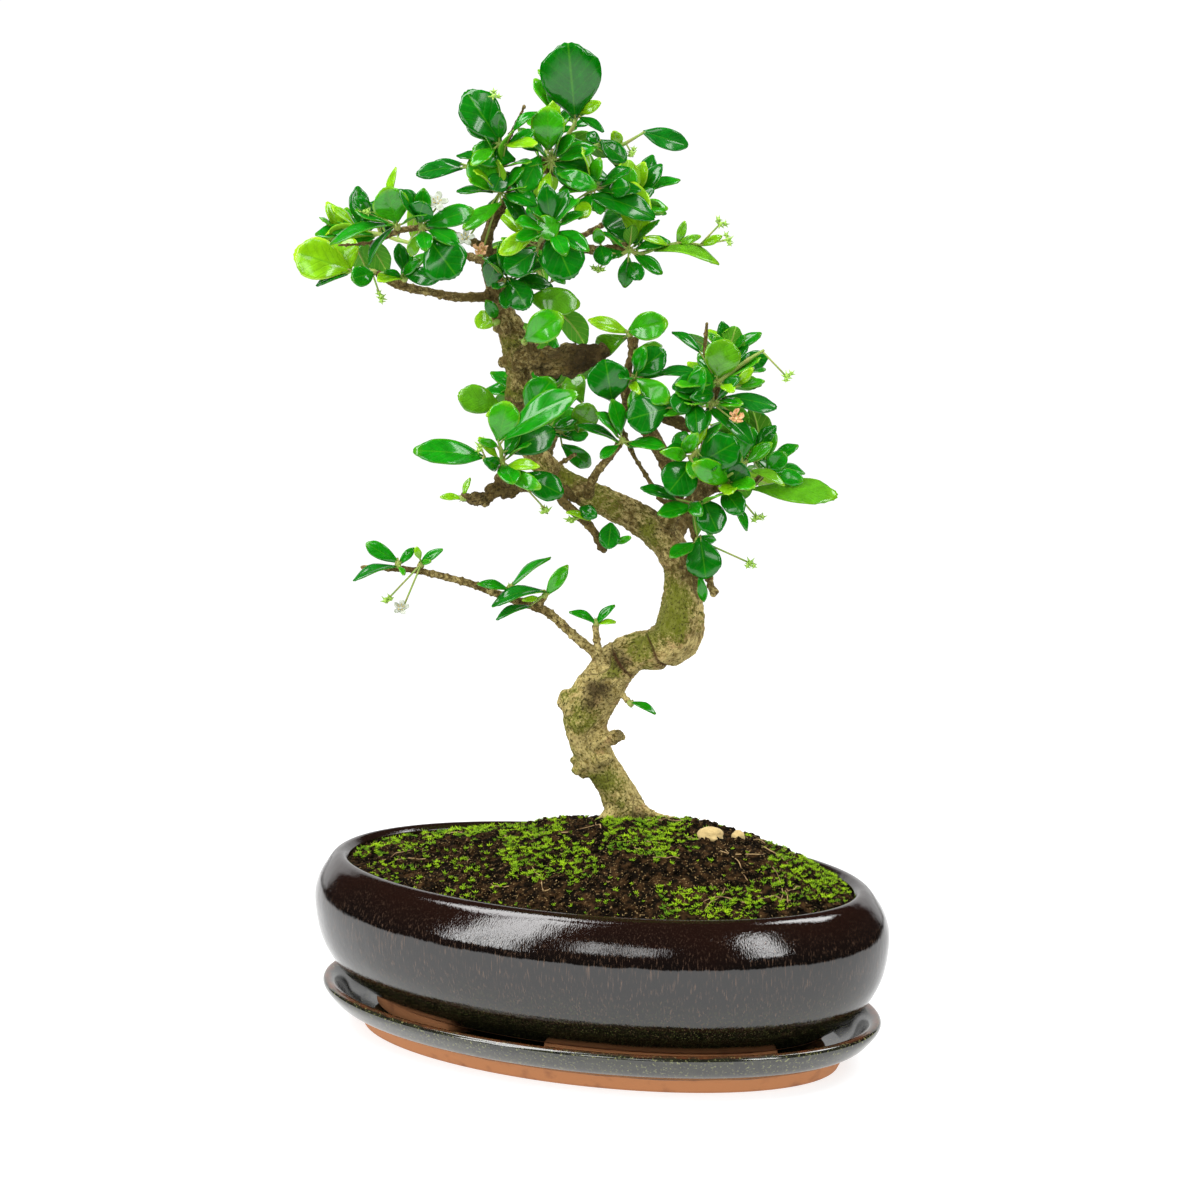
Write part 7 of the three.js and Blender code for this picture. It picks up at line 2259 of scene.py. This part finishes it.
@dataclass
class Corollas:
    """The flowers' corollas: five petals round a short throat with their stamens, or wilted ones."""

    petals: int = 5
    thickness: float = 0.3
    columns: int = 6
    rows: int = 7

    def petal(self, bm: bmesh.types.BMesh, heart: Vector, axes: tuple[Vector, Vector, Vector],
              reach: float, rise: float, wilt: float) -> None:
        """Adds one petal.

        Args:
            bm: the mesh to add to.
            heart: the middle of the flower's mouth.
            axes: the petal's way out, its sideways axis and the flower's axis.
            reach: how far out the petal goes.
            rise: how far up it goes.
            wilt: how crumpled it is, in mm.
        """
        outwards, sideways, way = axes
        made = bmesh.ops.create_grid(bm, x_segments=self.columns, y_segments=self.rows, size=0.5,
                                     calc_uvs=True)["verts"]
        for vert in made:
            s = 2 * vert.co.x
            v = vert.co.y + 0.5
            width = 0.5 * reach * math.sin(math.pi * min(1.0, 0.1 + 0.72 * v)) + 0.25 * (1 - v)
            out = 0.5 + (reach - 0.5) * (v - 0.1 * s * s * v ** 3)
            up = rise * v ** 1.5 + 0.25 * math.sin(math.pi * v) - 0.3 * (1 - s * s) * v - 0.4 * v ** 4
            place = heart + outwards * out + sideways * (0.5 * width * s * 1.15) + way * up
            crumple = [noise.noise((place + Vector((0, 0, 40 * axis))) * 0.8) for axis in range(3)]
            vert.co = place + Vector(crumple) * wilt
        blade, _ = thicken(bm, made, self.thickness)
        dress_faces(blade, 0)

    def build(self, finishes: dict[bool, list[bpy.types.Material]]) -> None:
        """Builds every corolla in its place.

        Args:
            finishes: petal and stamen finishes, by whether the flower is wilted.
        """
        for number, (node, flower) in enumerate(FLOWERS.items()):
            wilted = "wilted" in node
            heart = VIEW.spot(*flower.place)
            way = flower_way()
            half = 0.5 * flower.width * VIEW.mm_per_pixel
            reach = half * (1.2 - 0.45 * flower.closed)
            rise = half * (0.15 + flower.closed)
            bm = bmesh.new()
            bm.loops.layers.uv.verify()
            start = way.orthogonal().normalized()
            for ray in range(self.petals):
                turn = 2 * math.pi * (ray + 0.12 * draw(number, ray)) / self.petals
                outwards = Matrix.Rotation(turn, 3, way) @ start
                self.petal(bm, heart, (outwards, way.cross(outwards), way), reach, rise,
                           1.3 if wilted else 0.15)
                foot = heart + outwards * 0.35
                top = heart + outwards * (0.5 + 0.25 * reach) + way * (0.9 + 0.6 * draw(number, 9 + ray))
                tube(bm, [Vector((*foot, 0.13)), Vector((*top, 0.11))], 4, 1)
                lump(bm, top, Vector((0.28, 0.28, 0.42)), way, 1, 1)
            throat = [Vector((*(heart - way * 1.4), 0.85)), Vector((*(heart - way * 0.5), 0.8)),
                      Vector((*(heart + way * 0.25), 1.0))]
            tube(bm, throat, 10)
            finish_piece(f"{node}_petals", bm, finishes[wilted], (node,))


@dataclass
class Studio:
    """A plain white floor and background, soft light and the camera at the photograph's viewpoint.

    The far floor only glows for the camera, so that leaves and glaze don't mirror it.
    """

    floor_size: float = 800
    floor_tone: str = "#aaaaaa"
    floor_glow: float = 0.7
    far_glow: float = 1.05
    near_floor: float = 0.7
    far_floor: float = 1.1
    reach: float = 900
    back_light: float = 1.0
    diffuse_light: float = 0.9
    glossy_light: float = 0.02
    # Area lights: place in m, size in m, power in W, and what it does: light, be mirrored, or both
    softboxes: tuple[tuple[tuple[float, float, float], tuple[float, float], float, str], ...] = (
        ((0.1, 0.1, 1.5), (1.5, 1.5), 7, "light"),
        ((-0.65, 1.4, 0.5), (3.2, 1.1), 11, "mirrored"),
        ((-0.6, -0.3, 1.25), (0.45, 0.6), 7, "both"),
        ((0.65, 0.35, 1.2), (0.4, 0.6), 7, "both"),
        ((-0.83, -1.02, 1.0), (0.18, 1.5), 7.5, "both"),
        ((-0.64, -1.14, 1.0), (0.18, 1.5), 7.5, "both"),
        ((1.3, -0.78, 1.0), (0.13, 1.0), 4, "both"),
        ((1.18, -0.94, 1.0), (0.13, 1.0), 4, "both"),
        ((-0.2, -2.1, 1.25), (0.3, 0.9), 4, "both"),
        ((0.32, -2.15, 1.2), (0.36, 0.7), 3, "both"))

    def floor(self) -> None:
        """Lays the floor."""
        bm = bmesh.new()
        bmesh.ops.create_grid(bm, x_segments=1, y_segments=1, size=self.floor_size / 2)
        sheet = put_in_scene("studio_floor", bm)
        plain = YoungTissue("matt_white_card", 0.9, 1.45, self.floor_tone, self.floor_tone, 50, 0)
        card = plain.material()
        tree = card.node_tree
        out = add(tree, "VectorMath", {0: add(tree, "TexCoord", out="Object")}, "Value", operation="LENGTH")
        far = add(tree, "MapRange", {"Value": out, "From Min": self.near_floor, "From Max": self.far_floor})
        tone = add(tree, "Mix", {0: far, 6: linear(self.floor_tone), 7: (0, 0, 0, 1)}, 2, data_type="RGBA")
        seen = add(tree, "MapRange", {
            "Value": add(tree, "LightPath", out="Is Camera Ray"), "To Max": self.far_glow})
        glow = add(tree, "MapRange", {"Value": far, "To Min": self.floor_glow, "To Max": seen})
        plug(tree.nodes["Principled BSDF"], {
            "Base Color": tone, "Emission Color": (1, 1, 1, 1), "Emission Strength": glow})
        sheet.data.materials.append(card)

    def lights(self) -> None:
        """Hangs the softboxes and lights the room."""
        aim = Vector((0, 0, 0.16))
        for number, (place, (wide, tall), power, use) in enumerate(self.softboxes):
            box = bpy.data.lights.new(f"softbox_{number}", "AREA")
            box.shape = "RECTANGLE"
            box.size = wide
            box.size_y = tall
            box.energy = power
            lamp = bpy.data.objects.new(f"softbox_{number}", box)
            lamp.location = place
            lamp.visible_glossy = use != "light"
            lamp.visible_diffuse = use != "mirrored"
            lamp.rotation_euler = (aim - lamp.location).to_track_quat("-Z", "Y").to_euler()
            bpy.context.collection.objects.link(lamp)
        world = bpy.data.worlds.new("studio")
        bpy.context.scene.world = world
        world.use_nodes = True
        tree = world.node_tree
        ray = add(tree, "LightPath", out="Is Camera Ray").node
        glossy = add(tree, "MapRange", {"Value": ray.outputs["Is Glossy Ray"],
                                        "To Min": self.diffuse_light, "To Max": self.glossy_light})
        strength = add(tree, "MapRange", {
            "Value": ray.outputs["Is Camera Ray"], "To Min": glossy, "To Max": self.back_light})
        plug(tree.nodes["Background"], {"Color": (1, 1, 1, 1), "Strength": strength})

    def camera(self) -> None:
        """Sets the camera at the viewpoint."""
        lens = bpy.data.cameras.new("camera")
        lens.sensor_width = VIEW.sensor
        lens.lens = VIEW.focal_pixels / VIEW.frame_pixels * VIEW.sensor
        lens.clip_end = self.reach
        camera = bpy.data.objects.new("camera", lens)
        turn = Matrix((VIEW.sideways, VIEW.sight_up, VIEW.to_eye)).transposed().to_4x4()
        camera.matrix_world = Matrix.Translation(VIEW.eye * MM) @ turn
        bpy.context.collection.objects.link(camera)
        bpy.context.scene.camera = camera
        bpy.context.scene.view_settings.view_transform = "Standard"

    def build(self) -> None:
        """Sets up the studio."""
        self.floor()
        self.lights()
        self.camera()


def main() -> None:
    """Builds the bonsai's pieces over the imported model, and the studio round it."""
    logging.basicConfig(level=logging.INFO, format="%(message)s")
    Studio().build()
    bisque = Bisque().material()
    GlazedPot().build(PotGlaze().material(), bisque)
    Saucer().build(SaucerGlaze().material(), bisque)
    mesh_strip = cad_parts["drain_mesh"]
    mesh_strip.data.materials.clear()
    mesh_strip.data.materials.append(MESH_PLASTIC.material())
    soil = PottingSoil().material()
    MOUND.build_ground(soil)
    MOUND.build_crumbs(soil)
    MOUND.build_rootlets(DRY_ROOT.material())
    MOUND.build_moss(LivingMoss().material())
    Pebbles().build(Pebble().material())
    LivingWood().build(LivingBark().material())
    green = GREEN_STEM.material()
    Foliage([LeafUpper().material(), LeafUnderside().material(), green, BUD_GREEN.material()]).build()
    stamen = STAMEN_YELLOW.material()
    Corollas().build({False: [WHITE_PETAL.material(), stamen], True: [WILTED_PETAL.material(), stamen]})


if __name__ == "__main__":
    main()
